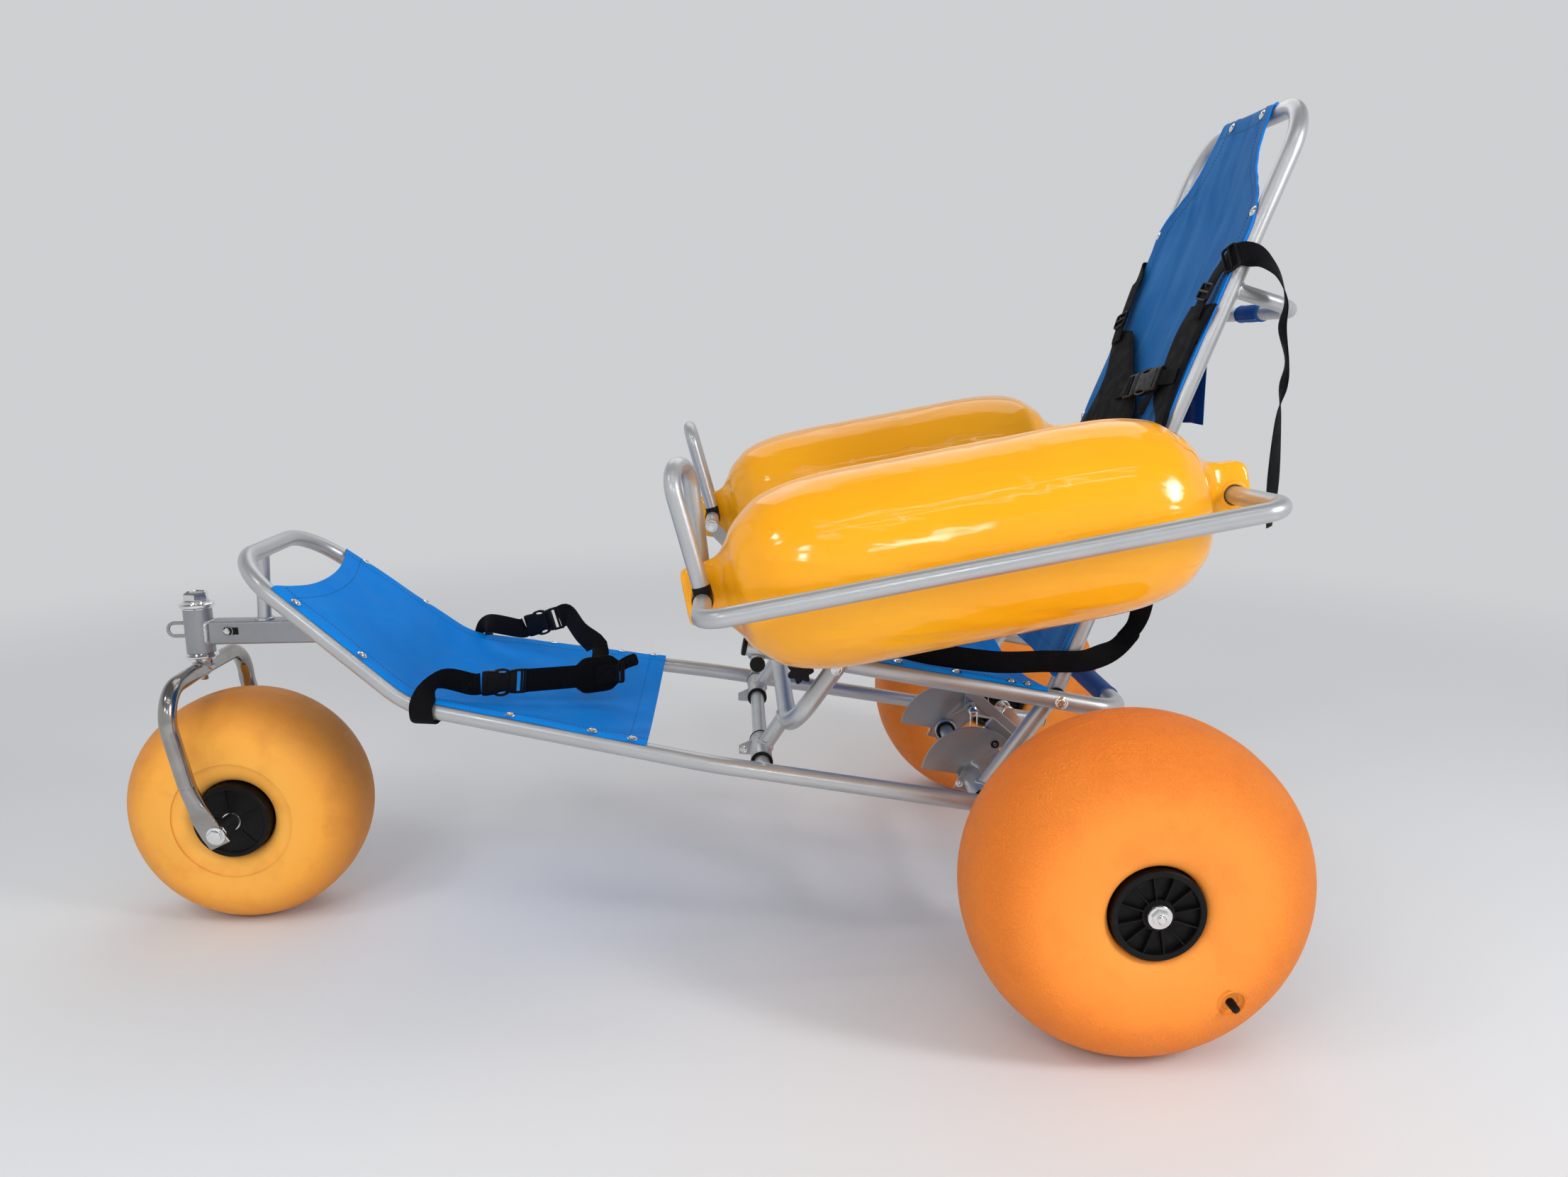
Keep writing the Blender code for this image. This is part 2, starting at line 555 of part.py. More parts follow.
# Sector plates on the backrest sleeves, index arms on the rear axle tube, plungers in the arms
pin_angle = atan2(PIN[1] - BACK_PIVOT[1], PIN[0] - BACK_PIVOT[0])
pin_reach = ((PIN[0] - BACK_PIVOT[0]) ** 2 + (PIN[1] - BACK_PIVOT[1]) ** 2) ** 0.5
for s in (-1, 1):
    fan = []
    for k in range(17):
        a = radians(170 - (170 - 28) * k / 16)
        fan.append((BACK_PIVOT[0] + PLATE_R * cos(a), BACK_PIVOT[1] + PLATE_R * sin(a)))
    for k in range(7):
        a = radians(-20 - 180 * k / 6 + 10)
        fan.append((BACK_PIVOT[0] + 0.0235 * cos(a), BACK_PIVOT[1] + 0.0235 * sin(a)))
    holes = [pin(BACK_PIVOT[0], BACK_PIVOT[1], s * 0.10, s * 0.15, SLEEVE_R + GAP)]
    for turn in (0, -12):
        a = pin_angle + radians(turn)
        hole_x = BACK_PIVOT[0] + pin_reach * cos(a)
        hole_z = BACK_PIVOT[1] + pin_reach * sin(a)
        holes.append(pin(hole_x, hole_z, s * 0.10, s * 0.15, 0.0036, 12))
    node("sector_plate_" + side_name(s), "grey paint", [slab(fan, s * 0.1245, s * 0.1295)], holes,
         origin=(BACK_PIVOT[0], s * PLATE_Y, BACK_PIVOT[1]))
    foot = Vector((0, 0, REAR_R))
    top = Vector((-0.1190, 0, 0.3520))
    line = (top - foot).normalized()
    off = Vector((line.z, 0, -line.x)) * 0.0095
    ends = [foot + line * 0.0160 - off, top - off, top + off, foot + line * 0.0160 + off]
    mid = 0.092
    gusset = [(PIN[0] - 0.0115, PIN[1] - 0.0060), (PIN[0] + 0.0020, PIN[1] - 0.0125)]
    gusset += [((foot + line * 0.0900 - off).x, (foot + line * 0.0900 - off).z), (top.x, top.z),
               ((top - off).x, (top - off).z)]
    node("index_arm_" + side_name(s), "grey paint",
         [slab([(p.x, p.z) for p in ends], s * (mid - 0.006), s * (mid + 0.006)),
          slab(gusset, s * (mid - 0.002), s * (mid + 0.002)),
          pin(PIN[0], PIN[1], s * 0.083, s * 0.1240, 0.0105)],
         [pin(PIN[0], PIN[1], s * 0.05, s * 0.15, 0.0035, 12),
          pin(0, REAR_R, s * 0.05, s * 0.15, 0.0158)],
         origin=(0, s * mid, REAR_R))
    node("index_plunger_" + side_name(s), "chrome",
         [pin(PIN[0], PIN[1], s * 0.0560, s * 0.1240, 0.0030, 12),
          pin(PIN[0], PIN[1], s * 0.0540, s * 0.0640, 0.0085, 16)],
         origin=(PIN[0], s * 0.060, PIN[1]))
    drop = s * 0.0505
    loop = [(PIN[0] - 0.006, drop, PIN[1] + 0.002), (PIN[0] - 0.006, drop, PIN[1] - 0.040),
            (PIN[0] + 0.006, drop, PIN[1] - 0.040), (PIN[0] + 0.006, drop, PIN[1] + 0.002)]
    node("pull_ring_" + side_name(s), "chrome",
         [tube(loop, 0.0013, 0.0058, 6, 30),
          bar((PIN[0] - 0.0072, drop, PIN[1] + 0.002), (PIN[0] + 0.0072, drop, PIN[1] + 0.002), 0.0018, 8)],
         origin=(PIN[0], drop, PIN[1]))

# Armrests: pivot sleeve on the backrest lug, tube through both float lugs, hand loop, brace to the star knob
for s in (-1, 1):
    node("armrest_pivot_" + side_name(s), "grey paint",
         [pin(ARM_REAR[0], ARM_REAR[1], s * 0.2035, s * 0.2500, 0.0185),
          pin(ARM_REAR[0], ARM_REAR[1], s * 0.1900, s * 0.2060, 0.0070, 12)],
         [pin(ARM_REAR[0], ARM_REAR[1], s * 0.2120, s * 0.2600, ARM_R + GAP)],
         origin=(ARM_REAR[0], s * 0.2035, ARM_REAR[1]))
    arm_path = [(ARM_FRONT[0], s * 0.2560, ARM_FRONT[1]), (ARM_FRONT[0], s * ARM_Y, ARM_FRONT[1]),
                (ARM_REAR[0] + 0.012, s * ARM_Y, ARM_REAR[1] + 0.002), (ARM_REAR[0], s * 0.44, ARM_REAR[1]),
                (ARM_REAR[0], s * 0.2125, ARM_REAR[1])]
    node("armrest_frame_" + side_name(s), "silver paint",
         [tube(arm_path, ARM_R, [0, 0.035, 0.035, 0.06, 0], 12, 28)],
         [pin(ARM_FRONT[0], ARM_FRONT[1], s * 0.2500, s * 0.2680, 0.0054, 12)],
         origin=(ARM_REAR[0], s * 0.2125, ARM_REAR[1]))
    twist = 0.026 if s < 0 else 0.0
    base_z = ARM_FRONT[1] + ARM_R + GAP + 0.0005
    grip = [(ARM_FRONT[0], s * 0.4530, base_z), (-0.6440, s * 0.4530, 0.8320),
            (-0.6440 + twist, s * 0.3750, 0.8320), (ARM_FRONT[0], s * 0.3750, base_z)]
    node("hand_loop_" + side_name(s), "silver paint",
         [tube(grip, 0.0120, [0, 0.037, 0.037, 0], 10, 28)],
         origin=(ARM_FRONT[0], s * 0.414, base_z))
    toward = (Vector((KNOB[0], 0, KNOB[1])) - Vector((ARM_FRONT[0], 0, ARM_FRONT[1]))).normalized()
    across = Vector((-toward.z, 0, toward.x))
    near = Vector((ARM_FRONT[0], 0, ARM_FRONT[1]))
    far = Vector((KNOB[0], 0, KNOB[1]))
    wide = 0.0125
    flat = [far + toward * 0.012 - across * wide, far + toward * 0.012 + across * wide, near + across * wide]
    for k in range(1, 6):
        a = pi * k / 6
        flat.append(near + across * (wide * cos(a)) - toward * (wide * sin(a)))
    flat.append(near - across * wide)
    slot_dir = (toward * 0.9547 - across * 0.2972).normalized()
    slot_side = Vector((-slot_dir.z, 0, slot_dir.x))
    back = far - slot_dir * 0.0030
    mouth = []
    for k in range(0, 9):
        a = pi / 2 + pi * k / 8
        mouth.append(back + slot_dir * (0.0052 * cos(a)) + slot_side * (0.0052 * sin(a)))
    mouth += [far + slot_dir * 0.03 - slot_side * 0.0054, far + slot_dir * 0.03 + slot_side * 0.0054]
    node("brace_" + side_name(s), "stainless",
         [slab([(p.x, p.z) for p in flat], s * 0.2515, s * 0.2555),
          pin(ARM_FRONT[0], ARM_FRONT[1], s * 0.2460, s * 0.2660, 0.0050, 12),
          pin(ARM_FRONT[0], ARM_FRONT[1], s * 0.2455, s * 0.2520, 0.0095, 6)],
         [slab([(p.x, p.z) for p in mouth], s * 0.2400, s * 0.2700)],
         origin=(ARM_FRONT[0], s * 0.2535, ARM_FRONT[1]))


# Float: an air filled fender with domed ends and two flat lugs, bored for the armrest tube, and a valve hole
FLOAT_ROWS = ((-0.026, 0.036, 0.0135), (-0.022, 0.043, 0.0160), (0.012, 0.046, 0.0170), (0.030, 0.052, 0.0240),
              (0.044, 0.070, 0.0500), (0.066, 0.098, 0.0880), (0.100, 0.122, 0.1180), (0.150, 0.134, 0.1330),
              (0.210, FLOAT_R, FLOAT_R))
AIR_ROWS = ((0.064, 0.070, 0.062), (0.100, 0.112, 0.108), (0.180, 0.131, 0.130))


def float_point(d, high, aside, s):
    """A point of a float: d along its axis from the front hole, then up from it and aside."""
    front = Vector((ARM_FRONT[0], 0, ARM_FRONT[1]))
    along = (Vector((ARM_REAR[0], 0, ARM_REAR[1])) - front).normalized()
    p = front + along * d + Vector((-along.z, 0, along.x)) * high
    return Vector((p.x, s * FLOAT_Y + aside, p.z))


def float_shape(s, half_rows, sides):
    length = ((ARM_REAR[0] - ARM_FRONT[0]) ** 2 + (ARM_REAR[1] - ARM_FRONT[1]) ** 2) ** 0.5
    rows = list(half_rows) + [(length - d, tall, wide) for d, tall, wide in half_rows[::-1]]
    verts = []
    for d, tall, wide in rows:
        power = 0.72 if wide < 0.03 else 1.0
        for k in range(sides):
            a = 2 * pi * k / sides
            aside = wide * abs(cos(a)) ** power * (1 if cos(a) >= 0 else -1)
            high = tall * abs(sin(a)) ** power * (1 if sin(a) >= 0 else -1)
            verts.append(float_point(d, high, aside, s))
    faces = [list(range(sides))[::-1]]
    for i in range(len(rows) - 1):
        for k in range(sides):
            a = i * sides + k
            b = i * sides + (k + 1) % sides
            faces.append([a, b, b + sides, a + sides])
    faces.append([(len(rows) - 1) * sides + k for k in range(sides)])
    return verts, faces


for s in (-1, 1):
    valve = bar(float_point(0.620, 0.052, 0, s), float_point(0.725, 0.052, 0, s), 0.0035, 8)
    node("float_" + side_name(s), "yellow vinyl", [float_shape(s, FLOAT_ROWS, 18)],
         [float_shape(s, AIR_ROWS, 12), valve,
          pin(ARM_FRONT[0], ARM_FRONT[1], s * 0.36, s * 0.46, 0.0165),
          pin(ARM_REAR[0], ARM_REAR[1], s * 0.36, s * 0.46, 0.0165)],
         origin=(ARM_FRONT[0], s * FLOAT_Y, ARM_FRONT[1]), angle=55)


# Slings: stretched sheets that lie on the tubes, with their edges bent round them a little
def hang(left, right, up, lift, sag, drift=0.0, turn=EDGE_TURN):
    """One row of a sling from near to far: edge arcs over each tube and a sagging middle.

    Drift says how far the tubes spread per length, so that each arc lies square to its own tube."""
    up = Vector(up).normalized()
    across = (right - left).normalized()
    up = (up - across * up.dot(across)).normalized()
    ahead = across.cross(up)
    outward = (-across - ahead * drift).normalized()
    turns = (turn, turn / 3, -turn / 3)
    row = [left + up * (lift * cos(a)) + outward * (lift * sin(a)) for a in turns]
    span = (right - left).length
    for k in range(1, 6):
        f = k / 6
        high = lift * cos(EDGE_TURN / 3) - sag * (1 - (2 * f - 1) ** 2)
        row.append(left + across * (span * f) + up * high)
    outward = (across - ahead * drift).normalized()
    row += [right + up * (lift * cos(a)) + outward * (lift * sin(a)) for a in turns[::-1]]
    return row


def wrap_radius(tube_radius):
    """Distance from a tube's centre to the middle of cloth bent round it in flats."""
    return (tube_radius + GAP) / cos(EDGE_TURN / 3) + CLOTH / 2 + 0.0002


lift_rail = wrap_radius(RAIL_R)
foot_front = -1.292
foot_rear = -0.700
places = sorted(p.x for p in RAIL_PATH if p.y < 0 and foot_front + 0.006 < p.x < foot_rear - 0.02)
places = [foot_front] + places + [-0.820, foot_rear]
for a, b in zip(places[:-1], places[1:]):
    if b - a > 0.075:
        places += [a + (b - a) * k / ceil((b - a) / 0.075) for k in range(1, ceil((b - a) / 0.075))]
rows = []
for x in sorted(places):
    y, z = rail_at(x)
    y2, z2 = rail_at(x + 0.006)
    y1, z1 = rail_at(x - 0.006)
    slope = Vector((0.012, 0, z2 - z1)).normalized()
    up = Vector((-slope.z, 0, slope.x))
    sag = 0.003 + 0.020 * min(1.0, max(0.0, (x + 1.16) / 0.15))
    scoop = 0.030 * max(0.0, (foot_rear - x) / (foot_rear - foot_front)) ** 3
    line = hang(Vector((x, -y, z)), Vector((x, y, z)), up, lift_rail, sag, (y2 - y1) / 0.012 * slope.x)
    rows.append([p + slope * (scoop * max(0.0, 1 - (p.y / y) ** 2)) for p in line])
node("foot_sling", "blue cloth", [sheet(rows, CLOTH, (0, 0, 1))], origin=(-1.0, 0, 0.43), angle=60)

lift_seat = wrap_radius(SEAT_R)
rows = []
steps = 8
for i in range(steps + 1):
    x = -0.505 + (-0.062 + 0.505) * i / steps
    z = seat_z(x)
    rows.append(hang(Vector((x, -SEAT_Y, z)), Vector((x, SEAT_Y, z)), (-SEAT_SLOPE, 0, 1), lift_seat, 0.022))
node("seat_sling", "blue cloth", [sheet(rows, CLOTH, (0, 0, 1))], origin=(-0.3, 0, 0.49), angle=60)

lift_back = wrap_radius(BACK_R)
SAG_BACK = 0.020
rows = []
COLUMNS = (-1.0, -0.97, -0.93, -0.66, -0.33, 0.0, 0.33, 0.66, 0.93, 0.97, 1.0)
for h in (0.030, 0.130, 0.230, 0.330, 0.430, 0.530, 0.620, 0.710, 0.790, 0.815):
    turn = 0.2 if h > 0.80 else EDGE_TURN
    rows.append(hang(on_back(h, -BACK_Y), on_back(h, BACK_Y), FRONT, lift_back, SAG_BACK, 0.0, turn))
NECK = ((0.835, 0.95), (0.860, 0.80), (0.885, 0.66), (0.920, 0.56), (0.955, 0.50), (CROWN_H, 0.47))
for h, w in NECK:
    sag = SAG_BACK * min(1.0, (CROWN_H - h) / 0.17)
    rows.append([on_back(h, BACK_Y * w * c, lift_back - sag * (1 - c ** 2)) for c in COLUMNS])
for turn in (EDGE_TURN * 0.67, EDGE_TURN * 1.34):
    h = CROWN_H + lift_back * sin(turn)
    rows.append([on_back(h, BACK_Y * NECK[-1][1] * c, lift_back * cos(turn)) for c in COLUMNS])
node("back_sling", "blue cloth", [sheet(rows, CLOTH, FRONT)], origin=on_back(0.5, 0), angle=60)

# Harness: panels on the back sling, shoulder straps round the tubes, the near one with a hanging tail
tail = [(0.2520, 1.1120), (0.2740, 1.0900), (0.2880, 1.0520), (0.2850, 1.0120), (0.2960, 0.9620),
        (0.2930, 0.9240), (0.2890, 0.8760), (0.2880, 0.7800), (0.2870, 0.7060)]
tail_points = [Vector((x, -0.2290, z)) for x, z in tail]
tail_face = [(0.3, -0.8, 0.5), (0.6, -0.5, 0.5), (0.9, -0.3, 0.2), (1, -0.1, 0), (1, -0.3, 0), (1, -0.1, 0),
             (0.8, -0.6, 0), (0.6, -0.8, 0), (0.8, -0.6, 0)]
# Edges of the two panels, as (h, inner y, outer y) down the backrest: the belt is worn askew in the photo
PANELS = {-1: ((0.655, 0.140, 0.232), (0.610, 0.122, 0.216), (0.560, 0.118, 0.214), (0.505, 0.128, 0.220),
               (0.465, 0.190, 0.236), (0.400, 0.204, 0.234)),
          1: ((0.618, 0.122, 0.206), (0.597, 0.092, 0.194), (0.545, 0.034, 0.164), (0.503, -0.030, 0.160),
              (0.462, -0.060, 0.170), (0.420, 0.000, 0.190), (0.385, 0.120, 0.202))}
STRAP_ENDS = {-1: ((0.700, 0.187, 0.0255), (0.6620, 0.1820, 0.0265)),
              1: ((0.690, 0.186, 0.0255), (0.6250, 0.1700, 0.0265))}
for s in (-1, 1):
    rows = [[on_back(h, s * (y0 + (y1 - y0) * k / 4), 0.0206) for k in range(5)] for h, y0, y1 in PANELS[s]]
    node("harness_panel_" + side_name(s), "webbing", [sheet(rows, 0.0050, FRONT)], origin=rows[2][2])
    ring_r = 0.0215
    over = [on_back(0.745, s * 0.170, -0.0230), on_back(0.745, s * 0.200, -ring_r),
            on_back(0.745, s * (BACK_Y + ring_r * 0.75), -ring_r * 0.7),
            on_back(0.742, s * (BACK_Y + ring_r), 0.0),
            on_back(0.738, s * (BACK_Y + ring_r * 0.75), ring_r * 0.7),
            on_back(0.731, s * (BACK_Y + 0.0075), 0.0212), on_back(0.718, s * (BACK_Y - 0.007), 0.0235)]
    over += [on_back(h, s * y, n) for h, y, n in STRAP_ENDS[s]]
    out = Vector((0, s, 0))
    face = [-FRONT, -FRONT, (out - FRONT).normalized(), out, (out + FRONT).normalized(),
            (out * 0.4 + FRONT).normalized(), FRONT, FRONT, FRONT]
    if s < 0:
        over = over[:2:-1] + tail_points
        face = face[:2:-1] + tail_face
    node("shoulder_strap_" + side_name(s), "webbing",
         [strap(over, 0.036, 0.0018, face, plain=True)], origin=over[4])
def on_chest(y):
    """A point of the chest buckle's middle line: it runs a little down to the sitter's right."""
    return on_back(0.5090 - 0.152 * y, y, 0.0302)


node("chest_buckle", "black plastic",
     [strap([on_chest(-0.1500), on_chest(-0.0450)], 0.042, 0.0110, [FRONT] * 2, plain=True),
      strap([on_chest(-0.1560), on_chest(0.0200)], 0.026, 0.0045, [FRONT] * 2, plain=True)],
     origin=on_chest(-0.07))

# Hip belt: two bands that stand on the seat, pass outside the backrest tubes and end behind them
for s in (-1, 1):
    knot = on_back(0.065, s * BACK_Y)
    clear = BACK_R + 0.0070
    belt = [Vector((-0.2950, s * 0.1760, 0.5075)), Vector((-0.2150, s * 0.2030, 0.4990)),
            Vector((-0.1340, s * 0.2140, 0.4905)), Vector((-0.0600, s * 0.2200, 0.4920)),
            knot + Vector((-0.014, s * clear, 0)), knot + Vector((0.012, s * clear, 0)),
            knot + Vector((0.038, s * 0.0160, 0.004)), knot + Vector((0.076, s * 0.0060, 0.018)),
            knot + Vector((0.103, 0, 0.044))]
    face = [(0, s * 0.6, 0.8), (0, s, 0.2), (0, s, 0), (0, s, 0), (0, s, 0), (0, s, 0), (-0.1, s, 0.2),
            (-0.5, s * 0.6, 0.6), (-0.6, s * 0.5, 0.6)]
    node("hip_belt_" + side_name(s), "webbing", [strap(belt, 0.036, 0.0018, face, plain=True)], origin=knot)

# Calf belt: two straps from the rails to a pad over the foot sling, each with a side release buckle
CATCH = {-1: Vector((-0.9757, -0.1500, 0.4540)), 1: Vector((-0.9516, 0.1500, 0.4787))}
BUCKLE_END = {-1: Vector((-0.9105, -0.1040, 0.4450)), 1: Vector((-0.8810, 0.1200, 0.5030))}
PAD = Vector((-0.7990, -0.0300, 0.4330))
pad_face = Vector((0.50, -0.86, 0.0)).normalized()
pad_run = Vector((0.86, 0.50, -0.03)).normalized()
bands = [strap([PAD - pad_run * 0.036, PAD + pad_run * 0.036], 0.060, 0.0070, [pad_face] * 2, plain=True)]
for s in (-1, 1):
    start_y, start_z = rail_at(-1.050)
    wrap = RAIL_R + 0.0075
    hub = Vector((-1.050, s * start_y, start_z))
    course = (BUCKLE_END[s] - CATCH[s]).normalized()
    out = Vector((-course.y * s, course.x * s, 0)).normalized()
    belt = [hub + Vector((0.004, -s * 0.012, -wrap - 0.002)), hub + Vector((0, s * 0.008, -wrap - 0.001)),
            hub + Vector((-0.002, s * wrap, -0.006)), hub + Vector((0.002, s * (wrap - 0.001), 0.018)),
            Vector((-1.030, s * (start_y - 0.020), start_z + 0.042)), CATCH[s] - course * 0.014, CATCH[s]]
    face = [(0, 0, -1), (0, 0, -1), (0, s, 0), (0.1, s, 0.1), (0.75, s * 0.5, -0.35), out, out]
    node("calf_strap_" + side_name(s), "webbing", [strap(belt, 0.036, 0.0018, face, plain=True)], origin=hub)
    b0 = CATCH[s] + course * 0.0030
    node("calf_buckle_" + side_name(s), "black plastic",
         [strap([b0, BUCKLE_END[s]], 0.042, 0.0100, [out] * 2, plain=True)], origin=b0)
    start = [BUCKLE_END[s] + course * 0.0030, BUCKLE_END[s] + course * 0.0170]
    if s < 0:
        line = start + [PAD - pad_run * 0.020, PAD + pad_run * 0.030]
        turn = [out, out, pad_face, pad_face]
    else:
        line = start + [Vector((-0.8377, 0.0700, 0.4850)), Vector((-0.8020, 0.0300, 0.4620)), PAD]
        turn = [out, out, out, -pad_face, -pad_face]
    bands.append(strap(line, 0.036, 0.0024, turn, plain=True))
node("calf_band", "webbing", bands, origin=PAD)
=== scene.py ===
# %% [markdown]
# A floating beach wheelchair, dressed for its picture. The frame that is loaded here holds every solid of the
# chair at its real size, with its joints. This lesson gives each of them the surface of the real thing: smooth
# painted tubes with their weld beads, stainless and chromed fittings, soft orange wheels, glossy floats, sewn
# slings and black webbing. Nothing is moved; a finer piece takes the place of the plain solid that it stands for.
# %% Load the frame
from math import atan2, ceil, copysign, cos, degrees, exp, hypot, pi, radians, sin, sqrt, tan

import bmesh
import bpy
from mathutils import Matrix, Quaternion, Vector


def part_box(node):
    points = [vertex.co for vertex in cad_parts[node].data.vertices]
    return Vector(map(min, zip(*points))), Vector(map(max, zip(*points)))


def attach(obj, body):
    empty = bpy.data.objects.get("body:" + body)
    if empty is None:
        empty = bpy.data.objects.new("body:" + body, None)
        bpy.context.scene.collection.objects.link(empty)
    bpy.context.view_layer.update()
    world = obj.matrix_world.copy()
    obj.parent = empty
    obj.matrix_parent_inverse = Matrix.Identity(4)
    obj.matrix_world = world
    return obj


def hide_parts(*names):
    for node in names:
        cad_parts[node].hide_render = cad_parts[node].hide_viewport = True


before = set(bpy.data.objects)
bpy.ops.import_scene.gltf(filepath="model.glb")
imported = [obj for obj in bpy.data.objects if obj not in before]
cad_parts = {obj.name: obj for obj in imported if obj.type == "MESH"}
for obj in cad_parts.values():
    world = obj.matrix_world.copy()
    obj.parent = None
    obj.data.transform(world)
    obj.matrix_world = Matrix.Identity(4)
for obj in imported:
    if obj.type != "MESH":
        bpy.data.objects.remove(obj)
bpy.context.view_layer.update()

# %% [markdown]
# The chair was drawn with the rear axle at x = 0. The finished one stands with its middle over the origin, so
# every shape below is made in the drawing's numbers and then carried along x by one shift. The shift is read from
# the frame: it is where the middle of a rear axle lies now.
# %% From the drawing to the frame
axle_low, axle_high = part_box("rear_axle_left")
SHIFT = Vector(((axle_low.x + axle_high.x) / 2, 0, 0))
SIDES = ((-1, "left"), (1, "right"))
print("drawing shift", round(SHIFT.x, 5))

# %% [markdown]
# The photograph was taken from the chair's left side, a little above the armrests, with a wide lens. Its place and
# turn were fitted to the wheels and the frame, so the camera is a plain one with no shift.
# %% Camera
EYE = Vector((-0.5529, -2.0355, 0.9871)) + SHIFT
YAW, PITCH, ROLL = radians(2.34), radians(11.46), radians(-0.52)
FOCAL_PIXELS, PHOTO_WIDTH = 1663.3, 2212
ahead = Vector((sin(YAW) * cos(PITCH), cos(YAW) * cos(PITCH), -sin(PITCH)))
level = Vector((cos(YAW), -sin(YAW), 0))
right = level * cos(ROLL) + level.cross(ahead) * sin(ROLL)
camera = bpy.data.objects.new("camera", bpy.data.cameras.new("camera"))
camera.data.sensor_width = 36.0
camera.data.lens = FOCAL_PIXELS / PHOTO_WIDTH * camera.data.sensor_width
turn = Matrix((right, right.cross(ahead), -ahead)).transposed().to_4x4()
camera.matrix_world = Matrix.Translation(EYE) @ turn
bpy.context.scene.collection.objects.link(camera)
bpy.context.scene.camera = camera
print("lens", round(camera.data.lens, 2), "mm")

# %% [markdown]
# The world, the floor and every finish are small networks of shader nodes. Two helpers build them all: one fills a
# socket with a link or a plain value, the other adds a node. Names that start with a capital are its sockets.
# %% Shader nodes
def plug(tree, socket, value):
    if isinstance(value, bpy.types.NodeSocket):
        tree.links.new(value, socket)
    else:
        socket.default_value = value


def add_node(tree, kind, *values, **named):
    """Add a node: bare values fill its sockets in order, small names are settings, capital names are sockets."""
    made = tree.nodes.new("ShaderNode" + kind)
    for name, value in named.items():
        if name[0].islower():
            setattr(made, name, value)
    for socket, value in zip(made.inputs, values):
        plug(tree, socket, value)
    for name, value in named.items():
        if name[0].isupper():
            plug(tree, made.inputs[name.replace("_", " ")], value)
    return made.outputs


# %% [markdown]
# Metal and glossy vinyl need something to mirror, so the walls that they see are pale and the ceiling over them is
# darker. The camera, mirrors and clear things see that room; everything else is lit by an even, weaker one.
# %% World
PALE = (0.615, 0.628, 0.643, 1)
bpy.context.scene.view_settings.view_transform = "Standard"
world = bpy.data.worlds.new("room")
bpy.context.scene.world = world
world.use_nodes = True
sky = world.node_tree
light_room = sky.nodes["Background"]
light_room.inputs["Color"].default_value = PALE
light_room.inputs["Strength"].default_value = 0.65
rays = add_node(sky, "LightPath")
mirror_rays = add_node(sky, "Math", rays["Is Glossy Ray"], rays["Is Transmission Ray"], operation="MAXIMUM")
seen_rays = add_node(sky, "Math", rays["Is Camera Ray"], mirror_rays[0], operation="ADD", use_clamp=True)
height = add_node(sky, "SeparateXYZ", add_node(sky, "TexCoord")["Generated"])
dim = add_node(sky, "MapRange", height["Z"], 0.32, 0.75, 1.0, 0.3, interpolation_type="SMOOTHSTEP")
seen_room = add_node(sky, "Background", PALE, dim["Result"])
choose = add_node(sky, "MixShader", seen_rays[0], light_room.outputs[0], seen_room[0])
plug(sky, sky.nodes["World Output"].inputs["Surface"], choose[0])

# %% [markdown]
# Soft light from a white room: one wide lamp up on the left, weaker ones behind and low in front, and a window with
# six panes on the right. Small lamps stand for the panes of more windows and for tubes under the ceiling: they show
# as crisp glints and streaks on the floats. The two widest lamps are not mirrored.
# %% Lamps
def lamp(name, place, aim, width, height, watts, mirrored=True):
    light = bpy.data.lights.new(name, "AREA")
    light.shape = "RECTANGLE"
    light.size = width
    light.size_y = height
    light.energy = watts
    holder = bpy.data.objects.new(name, light)
    holder.location = place
    holder.visible_glossy = mirrored
    holder.rotation_euler = (Vector(aim) - Vector(place)).to_track_quat("-Z", "Y").to_euler()
    bpy.context.scene.collection.objects.link(holder)


lamp("windows", (-1.7, -2.6, 2.9), (0, 0, 0.5), 3.4, 2.0, 38, False)
lamp("room_behind", (0.3, 2.0, 3.1), (0, 0, 0.6), 3.6, 2.2, 26)
lamp("low_fill", (0.2, -3.4, 0.55), (0, 0, 0.45), 3.0, 0.8, 16, False)
PANES = ((-1.83, -1.36, 2.84, 0.34), (-1.15, -2.83, 2.13, 0.26), (0.46, -3.24, 2.02, 0.5))
for k, (x, y, z, wide) in enumerate(PANES):
    lamp(f"pane_{k}", (x, y, z), (0.2, -0.5, 0.75), wide, 0.24, 5)
for k in range(6):
    column, row = k % 2, k // 2
    place = (3.1 - 0.26 * column, -2.3 + 0.44 * column, 1.75 + 0.36 * row)
    lamp(f"far_window_{k}", place, (0.66, -0.5, 0.8), 0.46, 0.31, 8)
for k, (y, z) in enumerate(((-2.2, 3.3), (-1.7, 3.45))):
    lamp(f"ceiling_{k}", (0.5, y, z), (0.4, -0.5, 0.8), 2.6, 0.05, 4)
print("lamps", len(bpy.data.lights))

